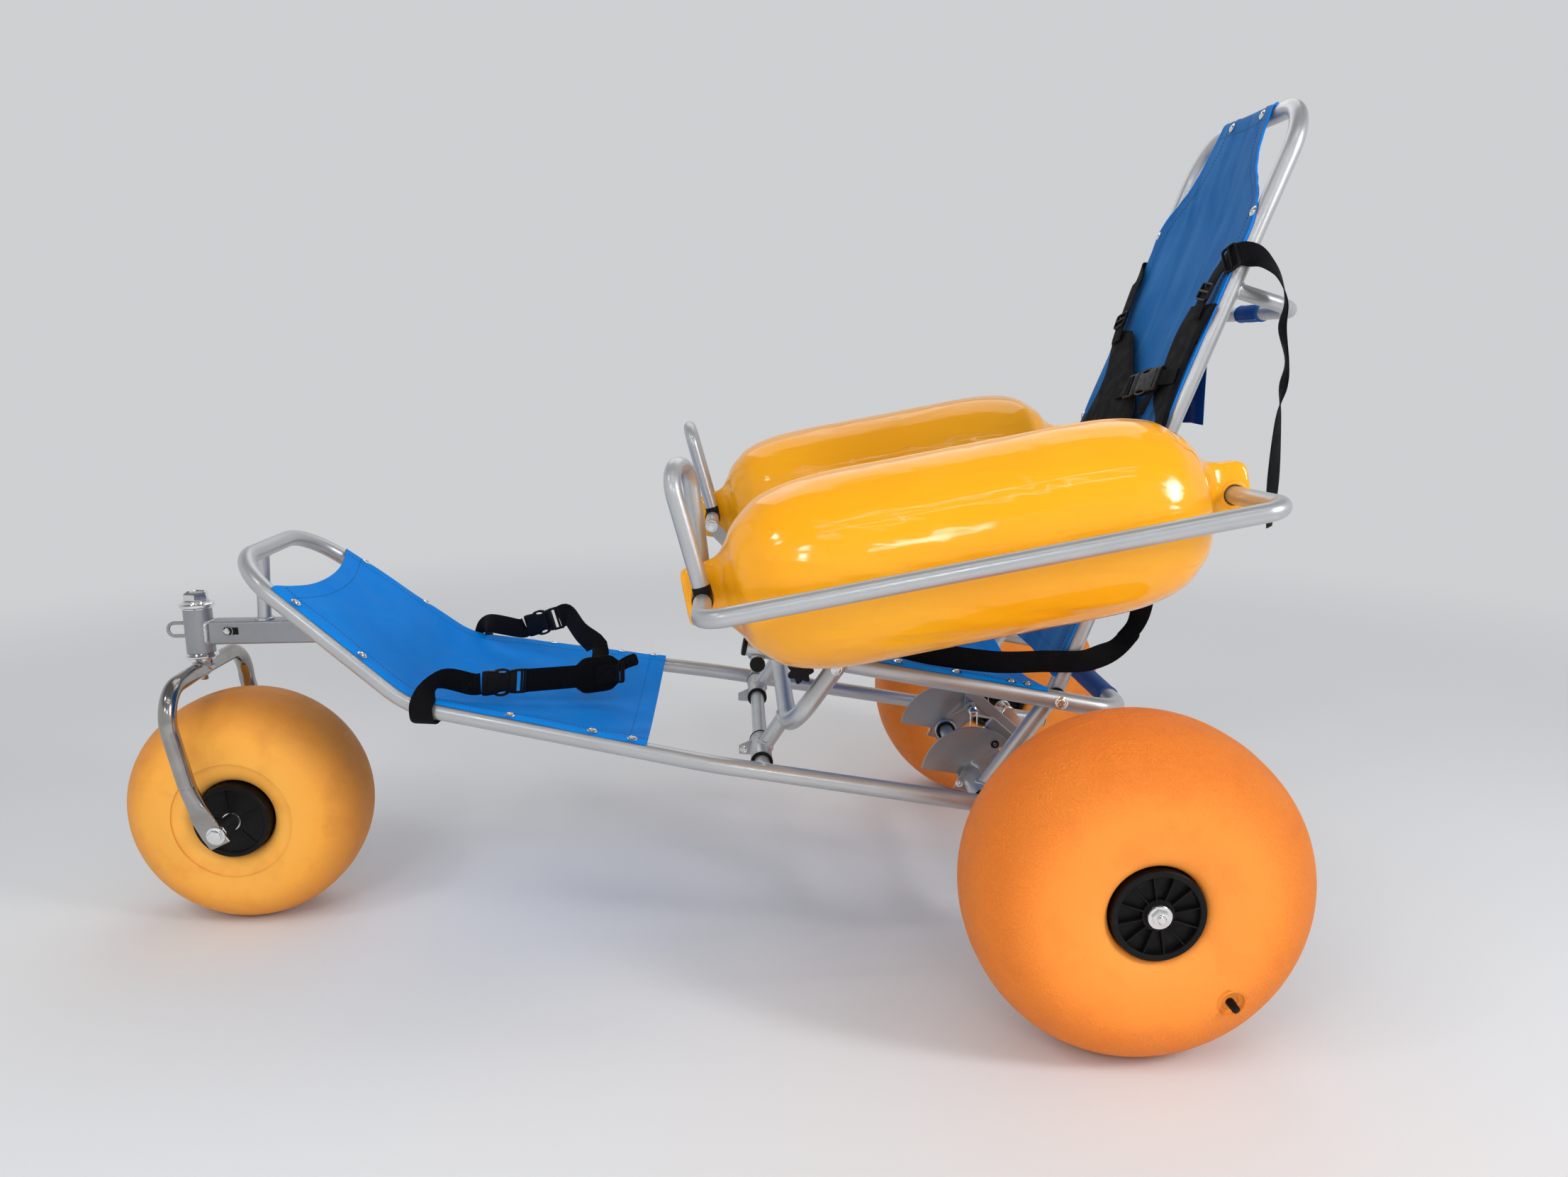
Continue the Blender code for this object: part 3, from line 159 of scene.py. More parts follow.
# %% [markdown]
# The floor is a plain pale sheet that takes the shadow. Far from the chair it fades into the colour of the room, so
# that no hard horizon shows. The fade depends on the distance from the chair, not on the camera.
# %% Floor
FLOOR_HALF, FADE_FROM, FADE_TO = 14.0, 1.6, 4.2
floor_mesh = bpy.data.meshes.new("floor")
corners = [(x * FLOOR_HALF, y * FLOOR_HALF, 0) for x, y in ((-1, -1), (1, -1), (1, 1), (-1, 1))]
floor_mesh.from_pydata(corners, [], [(0, 1, 2, 3)])
floor = bpy.data.objects.new("floor", floor_mesh)
bpy.context.scene.collection.objects.link(floor)
ground = bpy.data.materials.new("floor")
ground.use_nodes = True
ground_tree = ground.node_tree
matt = ground_tree.nodes["Principled BSDF"]
matt.inputs["Base Color"].default_value = (0.77, 0.78, 0.795, 1)
matt.inputs["Roughness"].default_value = 0.85
reach = add_node(ground_tree, "VectorMath", add_node(ground_tree, "TexCoord")["Object"], operation="LENGTH")
fade = add_node(ground_tree, "MapRange", reach["Value"], FADE_FROM, FADE_TO, interpolation_type="SMOOTHSTEP")
glow = add_node(ground_tree, "Emission", PALE)
blend = add_node(ground_tree, "MixShader", fade["Result"], matt.outputs[0], glow[0])
plug(ground_tree, ground_tree.nodes["Material Output"].inputs["Surface"], blend[0])
floor_mesh.materials.append(ground)

# %% [markdown]
# A finish starts as one Principled shader and gets layers: noise that shifts its colour or its roughness, and
# heights that become bump. All patterns are measured in metres in the chair's own space, or along the cloth where
# a piece has a map named lay, so a weave of one millimetre stays one millimetre on every piece. Each finish knows
# the material slot of the frame that it belongs to.
# %% A small workbench for finishes
class Finish:
    def __init__(self, name, slot, rgb, metallic, roughness, **fixed):
        self.skin = bpy.data.materials.new(name)
        self.skin.use_nodes = True
        self.skin.diffuse_color = (*rgb, 1)
        self.tree = self.skin.node_tree
        self.slot, self.colour, self.normal = slot, (*rgb, 1), None
        self.set(Base_Color=self.colour, Metallic=metallic, Roughness=roughness, **fixed)

    def set(self, **values):
        for name, value in values.items():
            plug(self.tree, self.tree.nodes["Principled BSDF"].inputs[name.replace("_", " ")], value)

    def add(self, kind, *values, **named):
        return add_node(self.tree, kind, *values, **named)

    def place(self, stretch=None, lay=False):
        point = self.add("UVMap", uv_map="lay")[0] if lay else self.add("TexCoord")["Object"]
        return self.add("Mapping", Vector=point, Scale=stretch)[0] if stretch else point

    def noise(self, size, detail=2.0, twist=0.0, **where):
        """Cloudy values, size metres from one cloud to the next."""
        return self.add("TexNoise", Vector=self.place(**where), Scale=1 / size, Detail=detail,
                        Distortion=twist)["Fac"]

    def cells(self, size):
        return self.add("TexVoronoi", Vector=self.place(), Scale=1 / size)["Distance"]

    def from_axle(self, x, z):
        """Distance from an axle that lies across the chair."""
        flat = self.add("Mapping", Vector=self.place(), Scale=(1, 0, 1), Location=(-x, 0, -z))
        return self.add("VectorMath", flat[0], operation="LENGTH")["Value"]

    def ridges(self, spacing, along, wobble):
        """Ridges on the flat cloth, spacing metres apart."""
        scale = 2 * pi / (20 * spacing)
        return self.add("TexWave", Vector=self.place(lay=True), Scale=scale, Distortion=wobble,
                        bands_direction=along)["Fac"]

    def level(self, value, low, high, to_low=0.0, to_high=1.0):
        return self.add("MapRange", value, low, high, to_low, to_high)["Result"]

    def join(self, a, b, how="MULTIPLY"):
        return self.add("Math", a, b, operation=how)[0]

    def tint(self, amount, rgb):
        """Shift the colour towards rgb by the amount, which is a pattern from 0 to 1."""
        mix = self.tree.nodes.new("ShaderNodeMix")
        mix.data_type = "RGBA"
        for place, value in ((0, amount), (6, self.colour), (7, (*rgb, 1))):
            plug(self.tree, mix.inputs[place], value)
        self.colour = mix.outputs[2]
        self.set(Base_Color=self.colour)

    def patches(self, size, detail, low, high, most, rgb, **more):
        """Cloudy patches of another colour, where the noise is between low and high."""
        self.tint(self.level(self.noise(size, detail, **more), low, high, 0.0, most), rgb)

    def rough(self, size, detail, low, high, smooth, dull, **more):
        """Roughness from smooth to dull, where the noise goes from low to high."""
        self.set(Roughness=self.level(self.noise(size, detail, **more), low, high, smooth, dull))

    def bump(self, height, depth, strength=1.0):
        below = {"Normal": self.normal} if self.normal else {}
        self.normal = self.add("Bump", Height=height, Distance=depth, Strength=strength, **below)[0]
        self.set(Normal=self.normal)


# %% [markdown]
# The frame is aluminium tube under silver paint. The paint holds tiny flakes that sparkle one by one, dries with a
# faint orange peel, and is dulled by hands and sand in soft patches. Two sizes of noise give the flakes, a third
# one the peel, and a wide one the dull patches.
# %% Silver and grey paint
def metal_paint(name, rgb, bright, dark):
    paint = Finish(name, name, rgb, 0.66, 0.34, Coat_Weight=0.15, Coat_Roughness=0.2, Specular_IOR_Level=0.4)
    paint.patches(0.0006, 1.0, 0.5, 0.75, 0.28, bright)
    paint.patches(0.11, 3.0, 0.45, 0.8, 0.4, dark)
    paint.rough(0.05, 4.0, 0.3, 0.7, 0.29, 0.41)
    paint.bump(paint.noise(0.0022, 2.0), 0.00003)
    return paint


silver = metal_paint("silver_paint", (0.5, 0.51, 0.52), (0.84, 0.85, 0.86), (0.38, 0.39, 0.4))
grey = metal_paint("grey_paint", (0.32, 0.33, 0.345), (0.52, 0.53, 0.55), (0.22, 0.23, 0.245))

# %% [markdown]
# The fork and the braces are bare stainless steel, brushed along their length and then polished, with a slight
# brown cast. The headset, the axle ends and the screws are chromed, and almost mirrors. Weld beads are bare, lumpy
# and brighter than the paint round them.
# %% Stainless, chrome and weld metal
stainless = Finish("stainless", "stainless", (0.4, 0.385, 0.365), 1.0, 0.16)
stainless.rough(0.0016, 3.0, 0.3, 0.7, 0.1, 0.24, stretch=(1, 1, 0.04))
stainless.patches(0.05, 2.0, 0.4, 0.8, 0.5, (0.24, 0.215, 0.195))
stainless.bump(stainless.noise(0.0012, 2.0, stretch=(1, 1, 0.05)), 0.00002)
chrome = Finish("chrome", "chrome", (0.8, 0.8, 0.8), 1.0, 0.1)
chrome.rough(0.004, 3.0, 0.35, 0.75, 0.07, 0.22)
chrome.patches(0.01, 2.0, 0.5, 0.8, 0.35, (0.55, 0.54, 0.52))
weld = Finish("weld_metal", "silver_paint", (0.62, 0.63, 0.64), 0.85, 0.3)
weld.bump(weld.noise(0.0025, 3.0), 0.0005)
weld.rough(0.003, 2.0, 0.3, 0.7, 0.2, 0.5)

# %% [markdown]
# Caps, buckles, hubs and the star knobs are black nylon. Moulded nylon is matt with a very fine spark texture,
# and its raised edges are rubbed a little greyer and smoother.
# %% Black nylon
nylon = Finish("black_nylon", "black_plastic", (0.005, 0.0044, 0.0042), 0.0, 0.42, Specular_IOR_Level=0.16)
nylon.patches(0.02, 4.0, 0.5, 0.8, 0.5, (0.014, 0.0135, 0.0135))
nylon.rough(0.008, 3.0, 0.3, 0.7, 0.34, 0.52)
nylon.bump(nylon.noise(0.0007, 2.0), 0.00006)

# %% [markdown]
# Webbing is woven nylon tape: fine ribs run along it and every second thread steps over, which reads as small
# chevrons. Two crossing sets of ridges along the tape's own map give that, with a soft fuzz as sheen.
# %% Webbing and elastic
def tape(name, rgb, across, along):
    made = Finish(name, "webbing", rgb, 0.0, 0.72, Sheen_Weight=0.02, Sheen_Roughness=0.4, Specular_IOR_Level=0.06)
    weave = made.join(made.ridges(across, "X", 0.6), made.ridges(along, "Y", 1.2))
    made.bump(weave, 0.0005, 0.9)
    made.tint(made.level(weave, 0.45, 1.0), tuple(c * 2.2 + 0.003 for c in rgb))
    made.rough(0.02, 3.0, 0.3, 0.7, 0.6, 0.82)
    return made


webbing = tape("webbing", (0.0045, 0.0045, 0.0055), 0.0022, 0.0016)
elastic = tape("elastic_cover", (0.005, 0.005, 0.0062), 0.0011, 0.004)

# %% [markdown]
# The slings are polyester cloth coated with soft vinyl. Under the coat the plain weave still shows as a grid of
# about one millimetre. The coat is half glossy. Wide lighter patches on it are painted highlights, and on a creased
# cloth lighter streaks along the creases are painted highlights too.
# %% Coated blue cloth
THREADS, FOLDS = 0.0013, {"twist": 0.5, "stretch": (1, 0.14, 1), "lay": True}


def coated(name, slot, rgb, light, rough_low, rough_high, fold_highlight=0.0):
    cloth = Finish(name, slot, rgb, 0.0, 0.5, Specular_IOR_Level=0.05)
    weave = cloth.join(cloth.ridges(THREADS, "X", 0.3), cloth.ridges(THREADS, "Y", 0.3))
    cloth.bump(weave, 0.00022, 0.55)
    cloth.tint(cloth.level(weave, 0.5, 1.0, 0.0, 0.25), light)
    # wide lighter patches: painted highlights of the coat
    cloth.patches(0.16, 3.0, 0.45, 0.85, 0.55, light, twist=0.6, lay=True)
    if fold_highlight:
        # lighter streaks along the creases: painted highlights; the bump under them is real
        cloth.patches(0.045, 2.0, 0.45, 0.7, fold_highlight, light, **FOLDS)
        cloth.bump(cloth.noise(0.045, 2.0, **FOLDS), 0.004, 0.6)
    cloth.rough(0.05, 4.0, 0.3, 0.7, rough_low, rough_high, lay=True)
    return cloth


blue = coated("blue_cloth", "blue_cloth", (0.001, 0.215, 0.73), (0.006, 0.285, 0.83), 0.45, 0.62)
# The back's cloth is the same blue as the seat's, painted darker and greyer as painted shade, with painted
# highlights along its creases.
shaded_back_blue = coated("back_blue_cloth", "blue_cloth", (0.016, 0.13, 0.38), (0.055, 0.215, 0.5), 0.5, 0.65, 0.55)
navy = coated("navy_cloth", "blue_cloth", (0.006, 0.06, 0.23), (0.014, 0.09, 0.3), 0.5, 0.65)
piping = coated("piping", "blue_cloth", (0.006, 0.215, 0.8), (0.03, 0.3, 0.88), 0.4, 0.5)
cover_cloth = coated("cover_cloth", "blue_cover", (0.045, 0.105, 0.29), (0.07, 0.14, 0.34), 0.5, 0.65)
cover_edge = coated("cover_edge", "blue_cover", (0.13, 0.23, 0.43), (0.18, 0.29, 0.48), 0.45, 0.6)
thread = Finish("dark_thread", "blue_cloth", (0.006, 0.012, 0.035), 0.0, 0.75)
thread.bump(thread.noise(0.0005, 1.0), 0.0001)

# %% [markdown]
# The floats are blown from vinyl and come out of the mould glossy as wet paint, in a deep golden yellow that glows
# a little where light passes through the skin. Long shallow ripples break up the reflections of the windows.
# %% Yellow vinyl
vinyl = Finish("yellow_vinyl", "yellow_vinyl", (0.98, 0.405, 0.008), 0.0, 0.1, Coat_Weight=0.3,
               Coat_Roughness=0.015, Specular_IOR_Level=0.28, Subsurface_Weight=0.12, Subsurface_Scale=0.012,
               Subsurface_Radius=(1.0, 0.45, 0.1))
vinyl.patches(0.25, 2.0, 0.4, 0.75, 0.6, (1.0, 0.48, 0.02))
vinyl.bump(vinyl.noise(0.14, 1.5, 0.4, stretch=(1, 2.2, 3.5)), 0.02, 0.3)
vinyl.bump(vinyl.noise(0.012, 2.0), 0.00012, 0.5)
vinyl.rough(0.05, 3.0, 0.35, 0.75, 0.06, 0.15)

# %% [markdown]
# The wheels are soft orange polyurethane. The skin has a leather grain that is strong on the tread and fades on
# the sides, and light that enters it comes out redder in the hollows. The front wheel is a yellower orange. The
# distance from the axle tells the shader where on the wheel it is: the colour is painted lighter towards the hub,
# as painted light, and deeper towards the tread, as painted shade, most of all on the front wheel.
# %% Orange wheel skin
REAR_R, REAR_HALF, REAR_Y = 0.245, 0.12, 0.5
FRONT_R, FRONT_HALF, FRONT_X = 0.2047, 0.1, -1.4232


def wheel_skin(name, rgb, deep, light, grain, edge, axle_x, radius):
    skin = Finish(name, "orange_rubber", rgb, 0.0, 0.5, Subsurface_Weight=0.18, Subsurface_Scale=0.02,
                  Specular_IOR_Level=0.3, Subsurface_Radius=(1.0, 0.35, 0.08))
    out = skin.from_axle(SHIFT.x + axle_x, radius)
    # lighter towards the hub: painted light
    skin.tint(skin.level(out, 0.3 * radius, 0.75 * radius, 0.75, 0.0), light)
    skin.patches(0.16, 3.0, 0.45, 0.8, 0.35, light)
    # deeper towards the tread: painted shade
    skin.tint(skin.level(out, 0.72 * radius, 1.0 * radius, 0.0, edge), deep)
    skin.patches(0.05, 4.0, 0.5, 0.85, 0.35, deep)
    tread = skin.level(out, 0.6 * radius, 0.85 * radius, 0.15, 1.0)
    leather = skin.cells(0.0034)
    rough_skin = skin.join(skin.join(leather, skin.noise(0.0016, 3.0, 1.5), "ADD"), tread)
    skin.bump(rough_skin, 0.0017, grain)
    skin.bump(skin.join(skin.cells(0.03), tread), 0.0035, grain * 0.5)
    skin.tint(skin.level(skin.join(leather, tread), 0.1, 0.4, 0.0, 0.22 * grain), deep)
    skin.rough(0.04, 4.0, 0.3, 0.7, 0.46, 0.62)
    return skin


# In each call, the deep colour and the edge amount give the painted shade at the tread, and the light colour gives
# the painted light near the hub.
rear_orange = wheel_skin("rear_orange", (1.0, 0.275, 0.028), (0.76, 0.165, 0.016), (1.0, 0.35, 0.055), 1.0, 0.1,
                         0, REAR_R)
front_orange = wheel_skin("front_orange", (1.0, 0.43, 0.055), (0.52, 0.15, 0.024), (1.0, 0.5, 0.1), 0.25, 0.62,
                          FRONT_X, FRONT_R)
print("finishes", len(bpy.data.materials))

# %% [markdown]
# Almost every hard piece is one of a few shapes: a tube bent along a path, an outline turned about an axis, or a
# plate cut from an outline. Each function returns points and faces in the drawing's numbers. A path's corners are
# rounded first, because a bent tube has one radius in each bend.
# %% Paths
def rounded(points, bends, step=6.0):
    """The path through the points with arcs for corners; bends is a radius, or one for each point."""
    pts = [Vector(p) for p in points]
    radii = list(bends) if isinstance(bends, (list, tuple)) else [bends] * len(pts)
    last = len(pts) - 1
    turns = [0.0] + [(pts[i] - pts[i - 1]).angle(pts[i + 1] - pts[i]) for i in range(1, last)] + [0.0]
    reach = [radii[i] * tan(turns[i] / 2) for i in range(last + 1)]
    for i in range(last):
        room = 0.97 * (pts[i + 1] - pts[i]).length
        if reach[i] + reach[i + 1] > room:
            ratio = room / (reach[i] + reach[i + 1])
            reach[i] *= ratio
            reach[i + 1] *= ratio
    out = [pts[0]]
    for i in range(1, last):
        if turns[i] < 0.01 or reach[i] == 0:
            out.append(pts[i])
            continue
        back = (pts[i - 1] - pts[i]).normalized()
        on = (pts[i + 1] - pts[i]).normalized()
        centre = pts[i] + (back + on).normalized() * (reach[i] / sin(turns[i] / 2))
        arm = pts[i] + back * reach[i] - centre
        axis = (-back).cross(on).normalized()
        count = max(2, ceil(degrees(turns[i]) / step))
        out += [centre + Quaternion(axis, turns[i] * k / count) @ arm for k in range(count + 1)]
    return out + [pts[-1]]


def flowing(points, steps=6):
    """A smooth curve through all the points, with steps between each pair."""
    pts = [Vector(p) for p in points]
    ends = [pts[0] * 2 - pts[1]] + pts + [pts[-1] * 2 - pts[-2]]
    out = []
    for i in range(1, len(ends) - 2):
        a, b, c, d = ends[i - 1:i + 3]
        for k in range(steps):
            t = k / steps
            out.append(0.5 * (2 * b + (c - a) * t + (2 * a - 5 * b + 4 * c - d) * t ** 2
                              + (3 * b - a - 3 * c + d) * t ** 3))
    return out + [pts[-1]]


def mm(*pairs):
    """Outlines are easier to read in millimetres."""
    return [(a / 1000, b / 1000) for a, b in pairs]


def spot(place, y):
    """A place that is given as (x, z), carried out to y."""
    x, z = place
    return Vector((x, y, z))


def angles(count):
    return [2 * pi * k / count for k in range(count)]


def circle(radius, sides, other=None):
    """An outline round the origin: a circle, or an oval with another radius upwards."""
    return [(radius * cos(a), (other or radius) * sin(a)) for a in angles(sides)]


def oval(centre, u, v, count):
    """Points of an oval in space, from its middle and its two half axes."""
    return [Vector(centre) + Vector(u) * cos(a) + Vector(v) * sin(a) for a in angles(count)]


def squarish(a, power):
    """A point of a circle that is drawn towards a square as the power falls below 1."""
    return copysign(abs(cos(a)) ** power, cos(a)), copysign(abs(sin(a)) ** power, sin(a))


def across_to(along, face):
    """Three directions at right angles: along, the part of face that is square to it, and the side."""
    along, face = Vector(along).normalized(), Vector(face)
    face = (face - along * face.dot(along)).normalized()
    return along, face, along.cross(face)


# %% [markdown]
# Every shape is a net: rings of points with a face between each four neighbours. The first and the last ring are
# closed by flat ends. A shape turned about an axis has no ends, its last ring meets the first.
# %% Nets
def net(rows, across, round_whole=False):
    faces = []
    for i in range(rows if round_whole else rows - 1):
        a, b = i * across, (i + 1) % rows * across
        for k in range(across):
            j = (k + 1) % across
            faces.append([a + k, a + j, b + j, b + k])
    return faces


def closed_net(rows, across):
    ends = [list(range(across))[::-1], [(rows - 1) * across + k for k in range(across)]]
    return ends + net(rows, across)


# %% [markdown]
# A sweep carries an outline along a path. Without given directions it doesn't twist, which suits round tube. With
# them, flat tape can lie on a surface or turn over. Each point keeps its place along and across in the map named
# lay.
# %% Sweep, tube and turned shapes
def sweep(path, outline, up=(0, 0, 1), ups=None, sizes=None, closed=False):
    path = [Vector(p) for p in path]
    count = len(path)
    n = len(outline)
    tangents = []
    for i in range(count):
        a = path[(i - 1) % count] if closed else path[max(i - 1, 0)]
        b = path[(i + 1) % count] if closed else path[min(i + 1, count - 1)]
        before = (path[i] - a).normalized() if path[i] != a else Vector()
        after = (b - path[i]).normalized() if b != path[i] else Vector()
        tangents.append((before + after).normalized())
    around = [0.0]
    for k in range(n):
        around.append(around[-1] + (Vector(outline[(k + 1) % n]) - Vector(outline[k])).length)
    verts, spots = [], []
    ring_up = Vector(up)
    run = 0.0
    for i, t in enumerate(tangents):
        run += (path[i] - path[i - 1]).length if i else 0.0
        if ups is not None:
            ring_up = Vector(ups[i])
        elif i > 0:
            ring_up = tangents[i - 1].rotation_difference(t) @ ring_up
        _, ring_up, side = across_to(t, ring_up)
        size = sizes[i] if sizes else 1.0
        verts += [path[i] + side * (a * size) + ring_up * (b * size) for a, b in outline]
        spots += [(around[k], run) for k in range(n)]
    return verts, net(count, n, round_whole=True) if closed else closed_net(count, n), spots


def tube(points, radius, bends=0.05, sides=28, step=6.0):
    path = rounded(points, bends, step)
    first = (path[1] - path[0]).normalized()
    return sweep(path, circle(radius, sides), (0, 0, 1) if abs(first.z) < 0.9 else (1, 0, 0))


def bar(a, b, radius, sides=28):
    return tube([a, b], radius, 0, sides)


def pin(x, z, y0, y1, radius, sides=28):
    return bar((x, y0, z), (x, y1, z), radius, sides)


def turned(profile, centre, axis=(0, 1, 0), sides=36):
    """Turn a loop of (radius, height) pairs about an axis through centre."""
    axis = Vector(axis).normalized()
    side = axis.orthogonal().normalized()
    other = axis.cross(side)
    verts = []
    for a in angles(sides):
        arm = side * cos(a) + other * sin(a)
        verts += [Vector(centre) + arm * r + axis * h for r, h in profile]
    return verts, net(sides, len(profile), round_whole=True), list(profile) * sides


def plate(outline, y0, y1):
    """A plate cut from an outline of (x, z) points, between two Y planes."""
    n = len(outline)
    verts = [Vector((x, y, z)) for y in (y0, y1) for x, z in outline]
    return verts, [list(range(n)), [n + k for k in range(n)][::-1]] + net(2, n)


def round_corners(a, b, corner, steps):
    """A rectangle of half sizes a and b with round corners."""
    outline = []
    for cx, cy, start in ((1, 1, 0), (-1, 1, 90), (-1, -1, 180), (1, -1, 270)):
        for k in range(steps + 1 if corner else 1):
            t = radians(start + 90 * k / steps)
            outline.append((cx * (a - corner) + corner * cos(t), cy * (b - corner) + corner * sin(t)))
    return outline


def block(centre, along, up, size, corner=0.0):
    """A slab of size (long, wide, thick) with its long side along a direction and round corners seen from above."""
    along, up, side = across_to(along, up)
    outline = round_corners(size[0] / 2, size[1] / 2, corner, 4)
    verts = [Vector(centre) + along * x - side * y + up * h
             for h in (-size[2] / 2, size[2] / 2) for x, y in outline]
    return verts, closed_net(2, len(outline))


# %% [markdown]
# A piece is one or more of these shapes in one finish. It is built where it stands, so that its own space is the
# chair's space and the patterns of its finish meet those of its neighbours. Its outer side is found for each shape,
# its edges may get a small bevel, and it rides on the body that carries it. A hole is cut by a boolean, whose
# result is kept as the piece's mesh.
# %% From shapes to a piece of the chair
made_faces = {}


def piece(name, finish, body, shapes, node=None, bevel=0.0, sharp=38.0):
    verts, faces, spots = [], [], []
    for shape in shapes:
        base = len(verts)
        verts += [Vector(v) + SHIFT for v in shape[0]]
        faces += [[base + i for i in face] for face in shape[1]]
        spots += shape[2] if len(shape) > 2 else [(0.0, 0.0)] * len(shape[0])
    mesh = bpy.data.meshes.new(name)
    mesh.from_pydata(verts, [], faces)
    layer = mesh.uv_layers.new(name="lay")
    for loop in mesh.loops:
        layer.data[loop.index].uv = spots[loop.vertex_index]
    work = bmesh.new()
    work.from_mesh(mesh)
    bmesh.ops.recalc_face_normals(work, faces=work.faces)
    work.to_mesh(mesh)
    work.free()
    mesh.shade_smooth()
    mesh.set_sharp_from_angle(angle=radians(sharp))
    mesh.materials.append(finish.skin)
    obj = bpy.data.objects.new(name, mesh)
    bpy.context.scene.collection.objects.link(obj)
    if bevel:
        edge = obj.modifiers.new("edge", "BEVEL")
        edge.width = bevel
        edge.segments = 2
        edge.limit_method = "ANGLE"
        edge.angle_limit = radians(50)
        edge.harden_normals = True
    if body:
        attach(obj, body)
    if node:
        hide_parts(node)
    made_faces[name] = len(faces)
    return obj


def cut_away(obj, finish, shape):
    cutter = piece("cutter", finish, None, [shape])
    step = obj.modifiers.new("cut", "BOOLEAN")
    step.operation = "DIFFERENCE"
    step.object = cutter
    graph = bpy.context.evaluated_depsgraph_get()
    mesh = bpy.data.meshes.new_from_object(obj.evaluated_get(graph))
    obj.modifiers.clear()
    obj.data = mesh
    bpy.data.objects.remove(cutter, do_unlink=True)


# %% [markdown]
# Where one tube meets another, the welder leaves a rope of small puddles. Its centre line is the saddle curve in
# which the two round surfaces meet. For each line along the branch tube, the place where it enters the main tube
# comes from a quadratic equation. The bead's thickness rises and falls with each puddle.
# %% Weld beads
def saddle(start, towards, branch, through, along, radius):
    """Points where a branch tube, seen from its start, enters the round surface of a main tube."""
    start, through = Vector(start), Vector(through)
    towards, along = (Vector(towards) - start).normalized(), Vector(along).normalized()
    side = towards.orthogonal().normalized()
    other = towards.cross(side)
    points = []
    for edge in oval(start, side * branch, other * branch, 72):
        p = edge - through
        p = p - along * p.dot(along)
        d = towards - along * towards.dot(along)
        qa, qb, qc = d.dot(d), 2 * p.dot(d), p.dot(p) - radius ** 2
        root = max(qb * qb - 4 * qa * qc, 0.0)
        points.append(edge + towards * ((-qb - sqrt(root)) / (2 * qa)))
    return points


def bead(points, size=0.0026, puddle=0.0042):
    """A closed weld bead along points, with one swelling for each puddle."""
    length = sum((b - a).length for a, b in zip(points, points[1:] + points[:1]))
    waves = max(6, round(length / puddle))
    sizes = [1.0 + 0.2 * abs(sin(pi * waves * k / len(points))) for k in range(len(points))]
    return sweep(points, circle(size, 8), closed=True, sizes=sizes, up=(0.31, 0.52, 0.79))


def joint_bead(start, towards, branch, through, along, radius, size=0.0026):
    return bead(saddle(start, towards, branch, through, along, radius), size)


print("shapes ready, sides", SIDES)

# %% [markdown]
# A balloon wheel is a fat, soft tyre that is moulded round a nylon hub. Seen in section, its outside is a
# superellipse, fuller than a circle, and near the hub it rolls over into a funnel. The two mould halves meet in a
# fine raised line round the tread.
# %% Tyre section
FULLNESS, HUB_LIP = 2 / 2.6, 0.0662
SEAM_HIGH, SEAM_HALF = 0.0006, 0.0007


def tyre_section(radius, half, lip):
    """Half of the outside, from the hub's lip to the seam, as (radius, distance from the middle plane)."""
    core = radius / 2
    funnel = [(lip, half - 0.03), (lip + 0.0008, half - 0.021), (lip + 0.007, half - 0.0128),
              (lip + 0.02, half - 0.0064), (lip + 0.04, half - 0.0022)]
    points = [(p.x, p.y) for p in flowing([(r, t, 0) for r, t in funnel], 4)]
    steps = 22
    for k in range(steps + 1):
        a = pi / 2 * (1 - k / steps)
        points.append((core + (radius - core) * (cos(a) ** FULLNESS if k else 0.0), half * sin(a) ** FULLNESS))
    points = [p for p in points if p[1] > SEAM_HALF * 3]
    return points + [(radius - 0.00005, SEAM_HALF * 2), (radius, SEAM_HALF), (radius + SEAM_HIGH, SEAM_HALF * 0.4)]


def tyre(name, finish, body, centre, radius, half, node):
    section = tyre_section(radius, half, HUB_LIP)
    loop = [(r, -t) for r, t in section] + section[::-1]
    return piece(name, finish, body, [turned(loop, centre, sides=160)], node, sharp=70)


tyre("front_wheel_skin", front_orange, "front_wheel", (FRONT_X, 0, FRONT_R), FRONT_R, FRONT_HALF, "front_tyre")
rear_skins = {}
for s, side in SIDES:
    rear_skins[side] = tyre(f"rear_wheel_skin_{side}", rear_orange, f"rear_wheel_{side}", (0, s * REAR_Y, REAR_R),
                            REAR_R, REAR_HALF, f"rear_tyre_{side}")
print("tyre faces", made_faces["front_wheel_skin"])

# %% [markdown]
# On its outer side each rear tyre has a valve in a shallow round dish, with a black cap that stands out a little.
# The dish could be bump, but its rim catches the light, so it is real: a disc is cut out of the skin, and a turned
# dish with a rolled rim closes the hole.
# %% Valve dish and cap
VALVE_X, VALVE_Z = 0.1035, 0.1175
DISH_R = 0.0185


def section_at(r):
    """Height of the outside above the middle plane at radius r, read from the tyre's own section."""
    points = tyre_section(REAR_R, REAR_HALF, HUB_LIP)
    for (r0, t0), (r1, t1) in zip(points, points[1:]):
        if r0 <= r <= r1:
            return t0 + (t1 - t0) * (r - r0) / (r1 - r0)
    return 0.0


